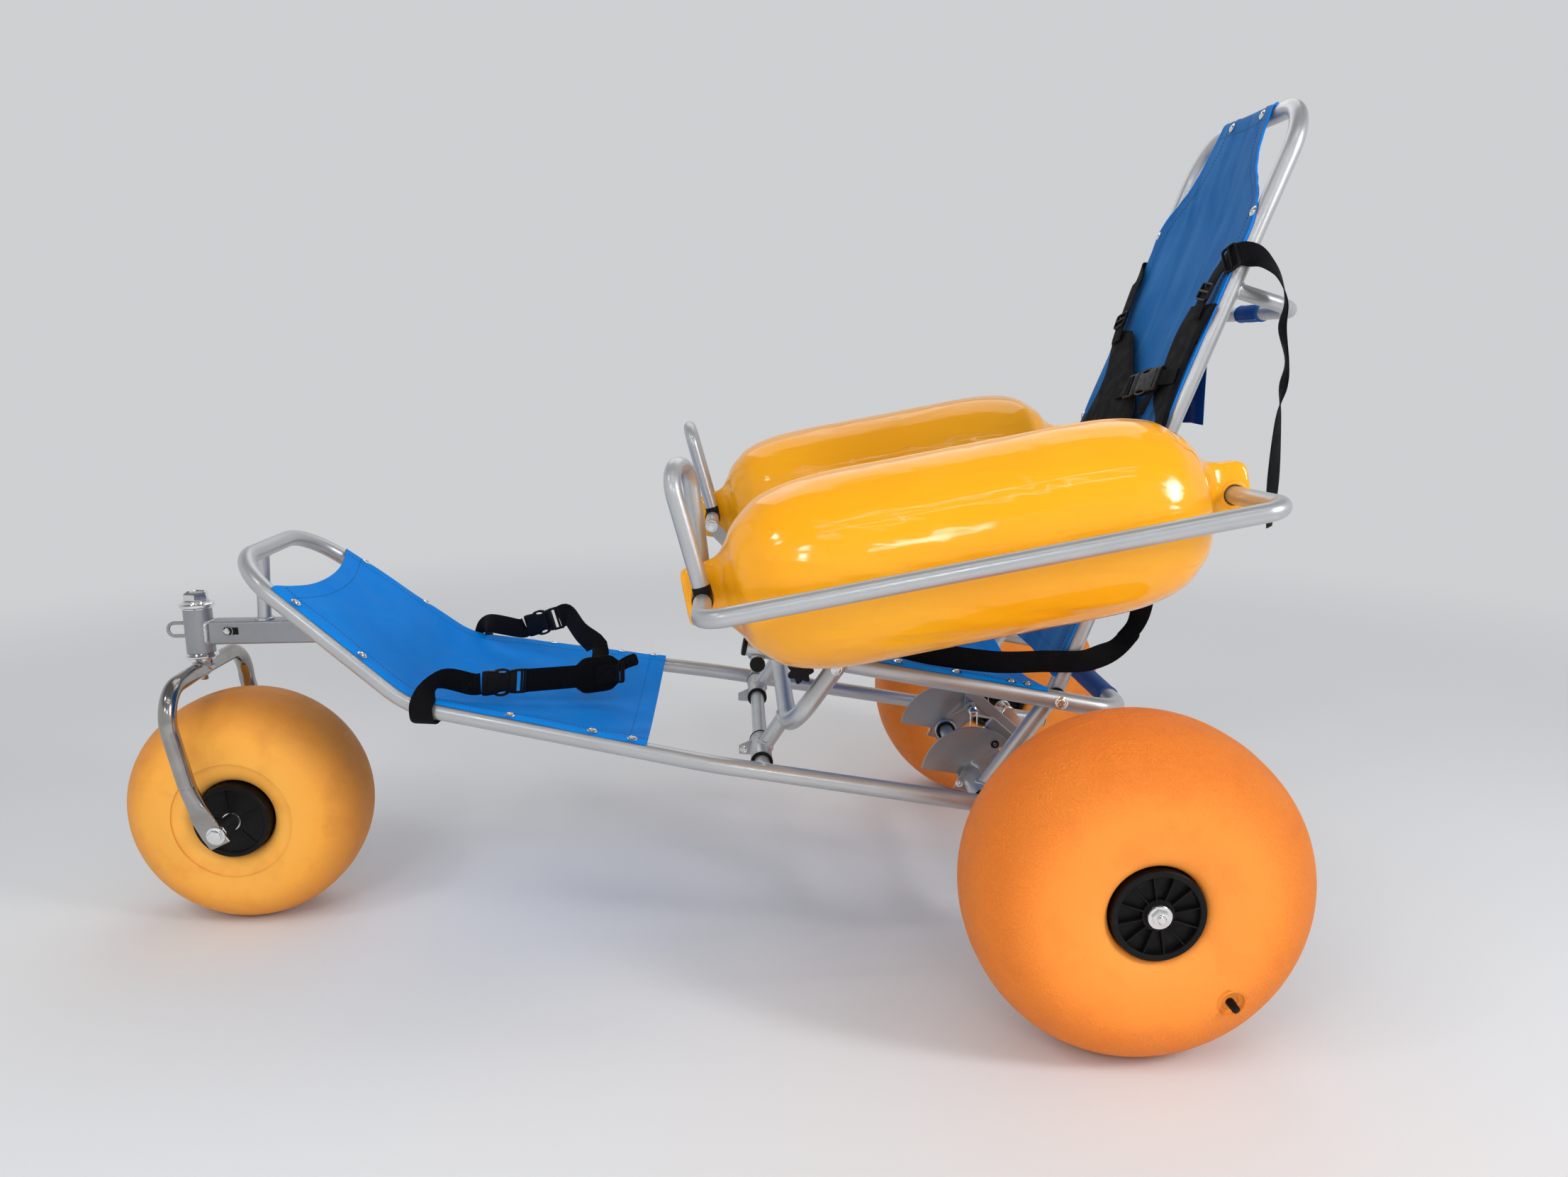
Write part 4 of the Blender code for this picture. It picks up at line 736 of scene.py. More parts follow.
valve_r = hypot(VALVE_X, VALVE_Z - REAR_R)
lift = section_at(valve_r)
lean = (section_at(valve_r - 0.004) - section_at(valve_r + 0.004)) / 0.008
for s, side in SIDES:
    out = Vector((VALVE_X / valve_r * lean, s, (VALVE_Z - REAR_R) / valve_r * lean)).normalized()
    seat = Vector((VALVE_X, s * (REAR_Y + lift), VALVE_Z))
    cut_away(rear_skins[side], rear_orange,
             turned([(0.0001, -0.006), (DISH_R, -0.006), (DISH_R, 0.02), (0.0001, 0.02)], seat, out, 48))
    dish = mm((10.5, -7.5), (12.5, -4.5), (15.5, -4.2), (17.8, -3.4), (19, 0.3), (19.7, 0.6), (20.6, -0.2),
              (20.6, -6), (10.5, -9))
    piece(f"valve_dish_{side}", rear_orange, f"rear_wheel_{side}", [turned(dish, seat, out, 48)])
    cap = mm((0.1, -6), (6, -6), (6, 3.5), (4.8, 4.2), (4.8, 6.8), (5.6, 7.6), (5.6, 11.2), (5, 12.8), (3, 13.6),
             (0.1, 13.8))
    piece(f"valve_cap_{side}", nylon, f"rear_wheel_{side}", [turned(cap, seat, out, 24)])

# %% [markdown]
# The hubs are nylon discs. A rear hub has a rim, a sunk floor with twelve thin ribs, and a boss that holds a ball
# bearing. The front hub is nearly smooth, with five low ribs. The bearing is a chromed outer ring, a dark seal and
# an inner ring on the axle.
# %% Hubs and bearings
def hub(name, body, x, y, z, face, rim, ribs, sunk, node, lip_half):
    loop = [(0.0155, -face + 0.004), (0.0225, -face + 0.0035), (0.0232, -face + sunk), (rim - 0.0095, -face + sunk),
            (rim - 0.0085, -face + 0.001), (rim - 0.0072, -face), (rim - 0.001, -face), (rim, -face + 0.001),
            (rim, -lip_half), (0.0555, -lip_half)]
    both = loop + [(r, -t) for r, t in loop[::-1]]
    shapes = [turned(both, (x, y, z), sides=72)]
    for side in (-1, 1):
        for k in range(ribs):
            a = 2 * pi * (k + 0.35) / ribs
            way = Vector((cos(a), 0, sin(a)))
            middle = Vector((x, y + side * (face - sunk / 2 - 0.0012), z)) + way * ((0.0225 + rim - 0.0085) / 2)
            shapes.append(block(middle, way, (0, 1, 0), (rim - 0.03, 0.0018, sunk - 0.001)))
    piece(name, nylon, body, shapes, node, bevel=0.0004)
    rings, seals = [], []
    for side in (-1, 1):
        at = (x, y + side * (face - 0.005), z)
        rings.append(turned(mm((11.2, -4), (12.8, -4), (12.8, 4), (11.2, 4)), at, sides=40))
        rings.append(turned(mm((14, -4), (15.8, -4), (15.8, 4.3), (15.2, 4.8), (14, 4.3)), at, sides=40))
        seals.append(turned(mm((12.4, -3), (14.4, -3), (14.4, 3), (12.4, 3)), at, sides=40))
    piece(name + "_bearings", chrome, body, rings, bevel=0.0002)
    piece(name + "_seals", nylon, body, seals)


hub("front_wheel_hub", "front_wheel", FRONT_X, 0, FRONT_R, 0.102, 0.0645, 5, 0.0035, "front_hub", 0.0783)
for s, side in SIDES:
    hub(f"rear_wheel_hub_{side}", f"rear_wheel_{side}", 0, s * REAR_Y, REAR_R, 0.112, 0.0645, 12, 0.01,
        f"rear_hub_{side}", 0.0983)
print("hub faces", made_faces["rear_wheel_hub_left"])

# %% [markdown]
# The armrest floats are fenders: a long round body with domed ends, each drawn out into a flat lug with a hole for
# the armrest tube. One list gives the section at places along the axis, the heights and widths between them follow
# a smooth curve, and the section changes from a round to a flat one towards the lugs. The two skins of the fender
# meet in an upright weld line that runs all round it.
# %% Float body
ARM_REAR, ARM_FRONT = (0.1421, 0.7828), (-0.6, 0.65)
FLOAT_Y, FLOAT_R = 0.41, 0.138
ARM_SPAN = hypot(ARM_REAR[0] - ARM_FRONT[0], ARM_REAR[1] - ARM_FRONT[1])
FLOAT_ALONG = Vector((ARM_REAR[0] - ARM_FRONT[0], 0, ARM_REAR[1] - ARM_FRONT[1])).normalized()
FLOAT_UP = Vector((-FLOAT_ALONG.z, 0, FLOAT_ALONG.x))
LUG_HOLE = 0.0172
# place along the axis from the hole, half height, half width
FLOAT_ROWS = ((-0.0262, 0.03, 0.0075), (-0.0255, 0.035, 0.0115), (-0.022, 0.0395, 0.0145),
              (-0.01, 0.044, 0.0158), (0.012, 0.046, 0.017), (0.03, 0.052, 0.0235), (0.044, 0.069, 0.048),
              (0.054, 0.085, 0.073), (0.07, 0.101, 0.094), (0.1, 0.1215, 0.118), (0.15, 0.134, 0.133),
              (0.21, FLOAT_R, FLOAT_R), (0.3, FLOAT_R, FLOAT_R))


def float_point(d, high, aside, s):
    p = spot(ARM_FRONT, s * FLOAT_Y + aside) + FLOAT_ALONG * d
    return p + FLOAT_UP * high


def float_shell(s):
    half = flowing([Vector(row) for row in FLOAT_ROWS], 5)
    rows = half + [Vector((ARM_SPAN - p.x, p.y, p.z)) for p in half[::-1]]
    turns = sorted(angles(72) + [radians(90 * q + e) for q in (1, 3) for e in (-1.3, -0.6, 0.6, 1.3)])
    verts = []
    for d, tall, wide in rows:
        power = 1.0 - 0.28 * min(1.0, max(0.0, (0.05 - wide) / 0.03))
        for a in turns:
            off = min(abs(degrees(a) - 90), abs(degrees(a) - 270))
            ridge = 0.0009 * max(0.0, 1 - off)
            u, v = squarish(a, power)
            verts.append(float_point(d, (tall + ridge) * v, wide * u, s))
    return verts, closed_net(len(rows), len(turns))


# %% [markdown]
# The lug holes are cut through the shell. A boolean leaves a knife edge, so a turned lip with a round section is
# laid round each end of the hole, as the mould leaves it. A small valve screw sits in the rear shoulder.
# %% Floats with their lug holes and valve
LIP_AT = 0.016
for s, side in SIDES:
    body = f"armrest_{side}"
    skin = piece(f"fender_{side}", vinyl, body, [float_shell(s)], f"float_{side}", sharp=75)
    lips = []
    for hole in (ARM_FRONT, ARM_REAR):
        cut_away(skin, vinyl, pin(hole[0], hole[1], s * 0.36, s * 0.46, LUG_HOLE, 48))
        for end in (-1, 1):
            lip = [(LUG_HOLE + r, h) for r, h in circle(0.003, 10, 0.0026)]
            lips.append(turned(lip, spot(hole, s * FLOAT_Y + end * LIP_AT), sides=48))
    piece(f"fender_lips_{side}", vinyl, body, lips)
    seat = float_point(ARM_SPAN - 0.075, 0.088, s * 0.04, s)
    out = (FLOAT_UP * 0.75 + FLOAT_ALONG * 0.6 + Vector((0, s * 0.35, 0))).normalized()
    plug = mm((0.1, -6), (8.5, -6), (8.5, 4.5), (7, 5.8), (4, 6.2), (3.2, 4.5), (0.1, 4.5))
    piece(f"fender_valve_{side}", vinyl, body, [turned(plug, seat, out, 28)])
print("fender faces", made_faces["fender_left"])

# %% [markdown]
# The chassis is one long tube, bent into two rails and a raised loop at the front. The rails carry a front cross
# tube for the swinging link, a rear one for the backrest, the rear axle tube and a thin tube for the receiver.
# Every joint between two tubes gets its weld bead.
# %% Driving dimensions of the frame
GAP = 0.0003
RAIL_R, SEAT_R, BACK_R, ARM_R, CROSS_R, SLEEVE_R = 0.014, 0.015, 0.014, 0.013, 0.0125, 0.0175
BACK_PIVOT, LINK_PIVOT, SWING = (-0.156, 0.266), (-0.5176, 0.338), (0.1172, 0.1645)
SEAT_Y, BACK_Y, LINK_Y, ARM_Y = 0.233, 0.2, 0.267, 0.58
HEAD_X, FORK_Y = -1.487, 0.158
KNOB = (-0.4565, 0.4975)
SEAT_BOLT = (BACK_PIVOT[0] + SWING[0], BACK_PIVOT[1] + SWING[1])
LINK_BOLT = (LINK_PIVOT[0] + SWING[0], LINK_PIVOT[1] + SWING[1])
SEAT_SLOPE = (SEAT_BOLT[1] - LINK_BOLT[1]) / (SEAT_BOLT[0] - LINK_BOLT[0])
RAIL_CORNERS = [(0.075, 0.276, 0.2317), (-0.6, 0.2735, 0.3512), (-1.075, 0.213, 0.438), (-1.352, 0.165, 0.664)]


def seat_z(x):
    return SEAT_BOLT[1] + SEAT_SLOPE * (x - SEAT_BOLT[0])


def sided(points, s):
    return [(x, s * y, z) for x, y, z in points]


# %% [markdown]
# The cross tubes end inside the rails, so their length is read from the rail's path at their place. A weld bead
# then follows the saddle where each one meets the rail.
# %% Chassis tubes
rail_path = rounded(sided(RAIL_CORNERS, -1) + sided(RAIL_CORNERS, 1)[::-1],
                    [0, 0.4, 0.16, 0.1, 0.1, 0.16, 0.4, 0], 5)
cross_tubes = [(LINK_PIVOT[0], LINK_PIVOT[1], CROSS_R), (BACK_PIVOT[0], BACK_PIVOT[1], CROSS_R),
               (0, REAR_R, 0.0155), (-1.1706, 0.516, 0.011)]


def rail_at(x):
    """Half distance, height and direction of the rails where they pass a given x."""
    half = [p for p in rail_path if p.y < 0]
    for a, b in zip(half, half[1:]):
        if b.x <= x <= a.x:
            f = (x - a.x) / (b.x - a.x)
            return -(a.y + (b.y - a.y) * f), a.z + (b.z - a.z) * f, (a - b).normalized()
    return -half[-1].y, half[-1].z, (half[-2] - half[-1]).normalized()


chassis = [sweep(rail_path, circle(RAIL_R, 28))]
beads = []
for x, z, r in cross_tubes:
    y, rail_z, along = rail_at(x)
    reach = y + 0.006
    chassis.append(pin(x, z, -reach, reach, r))
    for s, side in SIDES:
        way = Vector((along.x, s * -along.y, along.z))
        beads.append(joint_bead((x, 0, z), (x, s, z), r, (x, s * y, rail_z), way, RAIL_R))
upright = ((-1.3735, 0, 0.5368), (-1.3665, 0, 0.66))
chassis.append(bar(*upright, 0.0115))
beads.append(joint_bead(upright[0], upright[1], 0.0115, (-1.3548, 0, 0.664), (0, 1, 0), RAIL_R, 0.003))
beads.append(bead(oval((-1.3735, 0, 0.5372), (0.0125, 0, 0), (0, 0.0125, 0), 72), 0.003))
piece("chassis_tubes", silver, "chassis", chassis, "chassis_frame")
piece("chassis_welds", weld, "chassis", beads)

# %% [markdown]
# Closed ends of the rails: the tubes end behind the axle in round plastic plugs. They sit just inside the cut end
# and have a small domed face.
# %% Rail plugs
plugs = []
for s, side in SIDES:
    end, before = Vector(sided(RAIL_CORNERS, s)[0]), Vector(sided(RAIL_CORNERS, s)[1])
    out = (end - before).normalized()
    plugs.append(turned(mm((0.1, -4), (13.8, -4), (13.8, 1), (12, 2.2), (0.1, 3)), end, out, 28))
piece("rail_plugs", nylon, "chassis", plugs)

# %% [markdown]
# Under the front loop sits the square receiver. The neck of the caster slides in it and is held by a spring pin,
# whose head shows in a shallow round recess. The neck is a short steering tube with a square stub, joined by a
# heavy weld, and a bent wire ring on its front to pull it by.
# %% Receiver, neck and lock pin
STUB = 0.0162
NECK_Z0, NECK_Z1 = 0.48, 0.557


def square_tube(x0, x1, half, inner, z, corner=0.004):
    """A square tube along X with round outer corners and an open bore."""
    outline = round_corners(half, half, corner, 5)
    rings = ((x0, 1.0), (x1, 1.0), (x1, inner / half), (x0, inner / half))
    verts = [Vector((x, y * ratio, z + h * ratio)) for x, ratio in rings for y, h in outline]
    return verts, net(4, len(outline), round_whole=True)


piece("receiver", grey, "chassis", [square_tube(-1.462, -1.1822, 0.02, 0.0168, 0.516)],
      "receiver_tube", bevel=0.0006)
recess = mm((6, -1), (8.4, -1), (9.8, 0.4), (9.6, 1.2), (8.6, 1.2), (7, 0.2), (6, 0.2))
piece("pin_recess", grey, "chassis", [turned(recess, (-1.4308, -0.02, 0.52), (0, -1, 0), 32)])
piece("pin_slot", nylon, "chassis",
      [block((-1.4255, -0.0203, 0.52), (1, 0, 0), (0, -1, 0), (0.026, 0.0125, 0.0008), 0.0004)])
head = mm((0.1, -12), (3, -12), (3, 0.2), (5.2, 0.2), (6, 1.2), (5.8, 5.2), (4.6, 6.2), (3.4, 5), (0.1, 5))
piece("lock_pin", chrome, "neck_pin", [turned(head, (-1.4308, -0.0205, 0.52), (0, -1, 0), 28)],
      "neck_lock_pin")
loop_x = HEAD_X - 0.021
loop = [(loop_x, 0, 0.5315), (loop_x - 0.032, 0, 0.5315), (loop_x - 0.032, 0, 0.5085), (loop_x, 0, 0.5085)]
pull_wire = tube(loop, 0.003, [0, 0.0113, 0.0113, 0], 14, 12)
steering = turned([(0.0172, NECK_Z0), (0.0235, NECK_Z0), (0.0235, NECK_Z1), (0.0172, NECK_Z1)], (HEAD_X, 0, 0),
                  (0, 0, 1), 48)
piece("neck", grey, "neck",
      [steering, pull_wire, square_tube(HEAD_X + 0.019, -1.215, STUB, 0.013, 0.516, 0.0032)], "neck_tube",
      bevel=0.0007)
stub_edge = []
for a in angles(72):
    y = STUB * max(-1, min(1, 1.32 * cos(a)))
    z = STUB * max(-1, min(1, 1.32 * sin(a)))
    stub_edge.append(Vector((HEAD_X + sqrt(0.0235 ** 2 - y * y) + 0.0006, y, 0.516 + z)))
ring_welds = [bead(oval((HEAD_X - 0.023, 0, z), (0, 0.004, 0), (0, 0, 0.004), 24), 0.0013, 0.002)
              for z in (0.5315, 0.5085)]
piece("neck_welds", weld, "neck", [bead(stub_edge, 0.0046, 0.0062)] + ring_welds)

# %% [markdown]
# The headset: a knurled upper cup, a hollow hexagon nut with a locking ring, and a lower race that flares over the
# fork. All are chromed. They are turned shapes with the small steps that catch the light.
# %% Headset
top = NECK_Z1 + GAP
cup = [(0.0132, top), (0.0236, top), (0.0244, top + 0.0022), (0.0278, top + 0.0045), (0.0284, top + 0.0062),
       (0.0284, top + 0.0088), (0.0268, top + 0.01), (0.0225, top + 0.0104), (0.0215, top + 0.0132),
       (0.0132, top + 0.0132)]
low = NECK_Z0 - GAP
race = [(0.0132, low), (0.0236, low), (0.025, low - 0.002), (0.0272, low - 0.0042), (0.0274, low - 0.0066),
        (0.0258, low - 0.008), (0.0225, low - 0.0088), (0.0215, low - 0.0127), (0.0132, low - 0.0127)]
for name, profile, node in (("headset_cup", cup, "headset_cup_upper"),
                            ("headset_race", race, "headset_race_lower")):
    piece(name, chrome, "neck", [turned(profile, (HEAD_X, 0, 0), (0, 0, 1), 56)], node, sharp=28)
nut = [(0.0152, top + 0.0147), (0.019, top + 0.0147), (0.0208, top + 0.016), (0.0208, top + 0.0262),
       (0.019, top + 0.0282), (0.0168, top + 0.0295), (0.0152, top + 0.0295)]
washer = [(0.014, top + 0.0134), (0.0212, top + 0.0134), (0.0212, top + 0.0145), (0.014, top + 0.0145)]
piece("headset_hex_nut", chrome, "caster",
      [turned(nut, (HEAD_X, 0, 0), (0, 0, 1), 6), turned(washer, (HEAD_X, 0, 0), (0, 0, 1), 40)], "headset_nut",
      bevel=0.0005, sharp=25)

# %% [markdown]
# The fork is one stainless tube. It runs level under the neck, turns down over the wheel, and its ends are pressed
# flat to take the axle bolts. The tube's section is round down to the bend and then becomes a wide flat one, so
# each leg is a sweep whose outline changes on the way.
# %% Fork
fork_half = [(HEAD_X, 0.0, 0.4515), (-1.483, FORK_Y, 0.4515), (-1.481, FORK_Y, 0.385), (-1.44, FORK_Y, 0.228)]
fork_path = rounded(sided(fork_half, -1)[::-1] + fork_half[1:], [0, 0.08, 0.055, 0, 0.055, 0.08, 0], 5)
fork_path = [p for i, p in enumerate(fork_path) if i == 0 or (p - fork_path[i - 1]).length > 0.0002]


def fork_leg(s):
    """The pressed end: from a round section to a flat plate, 36 mm wide and 7 mm thick."""
    stations = ((-1.4622, 0.29, 0.014, 0.014), (-1.456, 0.27, 0.0142, 0.0136), (-1.451, 0.254, 0.0152, 0.011),
                (-1.4465, 0.242, 0.0168, 0.0072), (-1.443, 0.233, 0.0178, 0.0042), (-1.44, 0.2265, 0.018, 0.0036),
                (-1.43, 0.205, 0.018, 0.0035), (-1.4183, 0.1862, 0.018, 0.0035))
    course = Vector((-1.418 + 1.456, 0, 0.186 - 0.268)).normalized()
    across = Vector((course.z, 0, -course.x))
    verts = []
    for i, (x, z, wide, thick) in enumerate(stations):
        for a in angles(28):
            u, v = squarish(a, 1.0 if i < 3 else 0.35)
            verts.append(Vector((x, s * FORK_Y + thick * v, z)) + across * (wide * u))
    return verts, closed_net(len(stations), 28)


upper = [p for p in fork_path if p.z > 0.288]
fork_shapes = [sweep([Vector((-1.4622, -FORK_Y, 0.29))] + upper + [Vector((-1.4622, FORK_Y, 0.29))],
                     circle(0.014, 32), (1, 0, 0)),
               bar((HEAD_X, 0, 0.46), (HEAD_X, 0, NECK_Z1 + 0.0285), 0.0125), fork_leg(-1), fork_leg(1)]
stem_foot = turned(mm((0.1, 430), (5.8, 430), (6.4, 431), (6.4, 440), (10.5, 440), (10.5, 456), (0.1, 456)),
                   (HEAD_X, 0, 0), (0, 0, 1), 24)
piece("fork", stainless, "caster", fork_shapes + [stem_foot], "caster_fork", bevel=0.0006)
piece("fork_weld", weld, "caster",
      [joint_bead((HEAD_X, 0, 0.5), (HEAD_X, 0, 0.4), 0.015, (HEAD_X, 0, 0.4515), (0, 1, 0), 0.014, 0.003)])
print("fork path points", len(fork_path))

# %% [markdown]
# The seat hangs between the front link and the backrest as one bar of a four bar linkage. Its frame is a U of tube,
# open to the front, with a cross bar under its front end and two small plates for the star knobs.
# %% Seat frame
seat_corners = [(-0.5385, -SEAT_Y, seat_z(-0.5385)), (0.069, -SEAT_Y, seat_z(0.069)),
                (0.069, SEAT_Y, seat_z(0.069)), (-0.5385, SEAT_Y, seat_z(-0.5385))]
seat_way = Vector((1, 0, SEAT_SLOPE)).normalized()
front_bar_z = seat_z(-0.5225) - 0.0235
seat_tubes = [tube(seat_corners, SEAT_R, [0, 0.055, 0.055, 0]), pin(-0.5225, front_bar_z, -0.25, 0.25, 0.011)]
seat_beads, knob_plates = [], []
for s, side in SIDES:
    lug = [(KNOB[0] - 0.013, KNOB[1] + 0.018), (KNOB[0] - 0.01, KNOB[1] - 0.01),
           (KNOB[0] + 0.01, KNOB[1] - 0.01), (KNOB[0] + 0.013, KNOB[1] + 0.018)]
    knob_plates.append(plate(lug, s * 0.238, s * 0.243))
    rail_point = Vector((-0.5225, s * SEAT_Y, seat_z(-0.5225)))
    seat_beads.append(bead([rail_point + Vector((0.012 * sin(a), 0.0105 * cos(a), 0.0015 * cos(2 * a) - 0.013))
                            for a in angles(48)], 0.0024))
piece("seat_tubes", silver, "seat", seat_tubes, "seat_frame")
piece("knob_plates", silver, "seat", knob_plates, bevel=0.0008)
piece("seat_welds", weld, "seat", seat_beads)

# %% [markdown]
# Tube ends are closed by black plastic plugs. The two on the seat rails stand a little proud with a rounded edge,
# and the ones on the cross bar have fine ribs round the rim, like a bottle cap.
# %% Plugs on the seat
PLUG_RIBS = 30


def ribbed_plug(centre, out, radius, high):
    """A bottle cap shape: ribbed rim, rounded edge, flat face."""
    out = Vector(out).normalized()
    side = out.orthogonal().normalized()
    other = out.cross(side)
    levels = ((1.0, 0.0), (1.0, high * 0.75), (0.94, high * 0.96), (0.8, high))
    verts = []
    for scale, h in levels:
        for k, a in enumerate(angles(4 * PLUG_RIBS)):
            notch = 0.0006 if k % 4 in (0, 1) and scale > 0.99 else 0.0
            verts.append(Vector(centre) + (side * cos(a) + other * sin(a)) * (radius * scale - notch) + out * h)
    return verts, closed_net(len(levels), 4 * PLUG_RIBS)


cap_profile = mm((0.1, 0.4), (15, 0.4), (15.8, 1.2), (15.8, 5), (14.6, 6.8), (11, 7.5), (0.1, 7.6))
bar_plugs = []
for s, side in SIDES:
    end = Vector((seat_corners[0][0], s * SEAT_Y, seat_corners[0][2]))
    piece(f"seat_end_cap_{side}", nylon, "seat", [turned(cap_profile, end, -seat_way, 32)],
          f"seat_cap_{side}")
    bar_plugs.append(ribbed_plug((-0.5225, s * 0.244, front_bar_z), (0, s, 0), 0.0122, high=0.0068))
piece("seat_bar_plugs", nylon, "seat", bar_plugs)

# %% [markdown]
# A star knob has seven rounded lobes, a domed face and a threaded stud. The outline is a circle whose radius waves
# seven times; rings of that outline, each a little smaller and higher, make the dome.
# %% Star knobs
def star_knob(s):
    stations = ((0.2592, 0.8), (0.26, 0.93), (0.2612, 1.0), (0.2712, 1.0), (0.273, 0.95), (0.2738, 0.86),
                (0.274, 0.55))
    verts = []
    for y, scale in stations:
        for a in angles(84):
            r = (0.0181 + 0.0031 * cos(7 * a)) * scale
            verts.append(Vector((KNOB[0] + r * cos(a), s * y, KNOB[1] + r * sin(a))))
    return verts, closed_net(len(stations), 84)


for s, side in SIDES:
    piece(f"star_knob_body_{side}", nylon, f"knob_{side}",
          [star_knob(s), pin(KNOB[0], KNOB[1], s * 0.2565, s * 0.26, 0.0105)], f"star_knob_{side}")
    piece(f"knob_stud_{side}", chrome, f"knob_{side}",
          [pin(KNOB[0], KNOB[1], s * 0.234, s * 0.259, 0.0022, 20)])

# %% [markdown]
# The front link swings on the front cross tube. Two sleeves turn on that tube, a short strut rises from each, and a
# bent tube joins the struts and carries the seat rails between its upturned ends. Each sleeve has a split clamp
# plate with a screw.
# %% Front link
low_x, low_z = LINK_PIVOT[0] + 0.0436, LINK_PIVOT[1] + 0.064
leg = Vector((LINK_BOLT[0] - low_x, 0, LINK_BOLT[1] - low_z)).normalized()
tip = spot(LINK_BOLT, 0) + leg * 0.021
u_path = [(tip.x, -LINK_Y, tip.z), (low_x, -LINK_Y, low_z), (low_x, LINK_Y, low_z), (tip.x, LINK_Y, tip.z)]
link_shapes = [tube(u_path, 0.0148, [0, 0.055, 0.055, 0])]
link_beads, link_clamps = [], []
for s, side in SIDES:
    at = spot(LINK_PIVOT, s * 0.1815)
    link_shapes.append(turned([(0.013, -0.0535), (0.0168, -0.0535), (SLEEVE_R, -0.0525), (SLEEVE_R, 0.0525),
                               (0.0168, 0.0535), (0.013, 0.0535)], at, sides=40))
    foot = Vector((LINK_PIVOT[0] + 0.004, s * 0.178, LINK_PIVOT[1] + 0.006))
    head_point = Vector((low_x, s * 0.178, low_z))
    link_shapes.append(bar(foot, head_point, 0.013))
    link_beads.append(joint_bead((foot + head_point) / 2, foot, 0.013, at, (0, 1, 0), SLEEVE_R, 0.003))
    link_beads.append(joint_bead((foot + head_point) / 2, head_point, 0.013, (low_x, 0, low_z), (0, 1, 0), 0.0148,
                                 0.003))
    clamp = [(LINK_PIVOT[0] - 0.036, LINK_PIVOT[1] - 0.013), (LINK_PIVOT[0], LINK_PIVOT[1] - 0.0165),
             (LINK_PIVOT[0], LINK_PIVOT[1] + 0.0165), (LINK_PIVOT[0] - 0.036, LINK_PIVOT[1] + 0.001)]
    link_clamps.append(plate(clamp, s * 0.15, s * 0.156))
piece("link_tubes", silver, "link", link_shapes, "front_link", sharp=45)
piece("link_clamps", grey, "link", link_clamps, bevel=0.0008)
piece("link_welds", weld, "link", link_beads)
for s, side in SIDES:
    seat = Vector((tip.x, s * LINK_Y, tip.z))
    plug = mm((0.1, 0.3), (14.8, 0.3), (15, 1.2), (15, 4.2), (13.8, 5.6), (0.1, 6))
    piece(f"link_end_plug_{side}", nylon, "link", [turned(plug, seat, leg, 32)], f"link_plug_{side}")
    bush = turned(mm((4, 0), (14.2, 0), (14.2, 3.6), (4, 3.6)), spot(LINK_BOLT, s * 0.2483), (0, s, 0), 32)
    piece(f"link_spacer_{side}", nylon, "link", [bush])

# %% [markdown]
# The backrest is the tallest bent tube. Below the seat bolts it bends forward into two struts, whose sleeves turn
# on the rear cross tube. A bow behind it is the push handle, in a blue cover, and two lugs carry the armrests.
# %% Backrest frame
UP = Vector((0.158, 0, 0.403)).normalized()
FRONT = Vector((-UP.z, 0, UP.x))
CROWN_H = 0.985


def on_back(h, y, n=0.0):
    """A point of the backrest: h up along the tubes from the seat bolt, y across, n to its front."""
    p = spot(SEAT_BOLT, 0) + UP * h + FRONT * n
    return Vector((p.x, y, p.z))


back_path = [spot(BACK_PIVOT, -BACK_Y), on_back(0, -BACK_Y), on_back(CROWN_H, -BACK_Y),
             on_back(CROWN_H, BACK_Y), on_back(0, BACK_Y), spot(BACK_PIVOT, BACK_Y)]
HANDLE_H, HANDLE_X, HANDLE_Z = 0.69, 0.336, 1.04
bow = [on_back(HANDLE_H, -BACK_Y), (HANDLE_X, -0.172, HANDLE_Z), (HANDLE_X, 0.172, HANDLE_Z),
       on_back(HANDLE_H, BACK_Y)]
back_shapes = [tube(back_path, BACK_R, [0, 0.12, 0.085, 0.085, 0.12, 0]), tube(bow, 0.012, [0, 0.06, 0.06, 0])]
back_beads, back_plates = [], []
strut = spot(SWING, 0).normalized()
arm_on_tube = spot(SEAT_BOLT, 0) + UP * ((ARM_REAR[1] - SEAT_BOLT[1]) / UP.z)
for s, side in SIDES:
    at = spot(BACK_PIVOT, s * 0.177)
    back_shapes.append(turned([(0.013, -0.059), (0.0168, -0.059), (SLEEVE_R, -0.058), (SLEEVE_R, 0.058),
                               (0.0168, 0.059), (0.013, 0.059)], at, sides=40))
    foot = spot(BACK_PIVOT, s * BACK_Y)
    back_beads.append(joint_bead(foot + strut * 0.06, foot, BACK_R, at, (0, 1, 0), SLEEVE_R, 0.0028))
    bow_way = (Vector((HANDLE_X, s * 0.172, HANDLE_Z)) - on_back(HANDLE_H, s * BACK_Y)).normalized()
    bow_foot = on_back(HANDLE_H, s * BACK_Y)
    back_beads.append(joint_bead(bow_foot + bow_way * 0.05, bow_foot, 0.012, bow_foot, UP, BACK_R, 0.0026))
    turns = (-pi / 2 + pi * k / 16 for k in range(17))
    eye = [(ARM_REAR[0] + 0.016 * cos(a), ARM_REAR[1] + 0.016 * sin(a)) for a in turns]
    eye = [(arm_on_tube.x, ARM_REAR[1] - 0.016)] + eye + [(arm_on_tube.x, ARM_REAR[1] + 0.016)]
    back_plates.append(plate(eye, s * 0.197, s * 0.203))
piece("backrest_tubes", silver, "backrest", back_shapes, "backrest_frame", sharp=45)
piece("backrest_lugs", silver, "backrest", back_plates, bevel=0.0008)
piece("backrest_welds", weld, "backrest", back_beads)

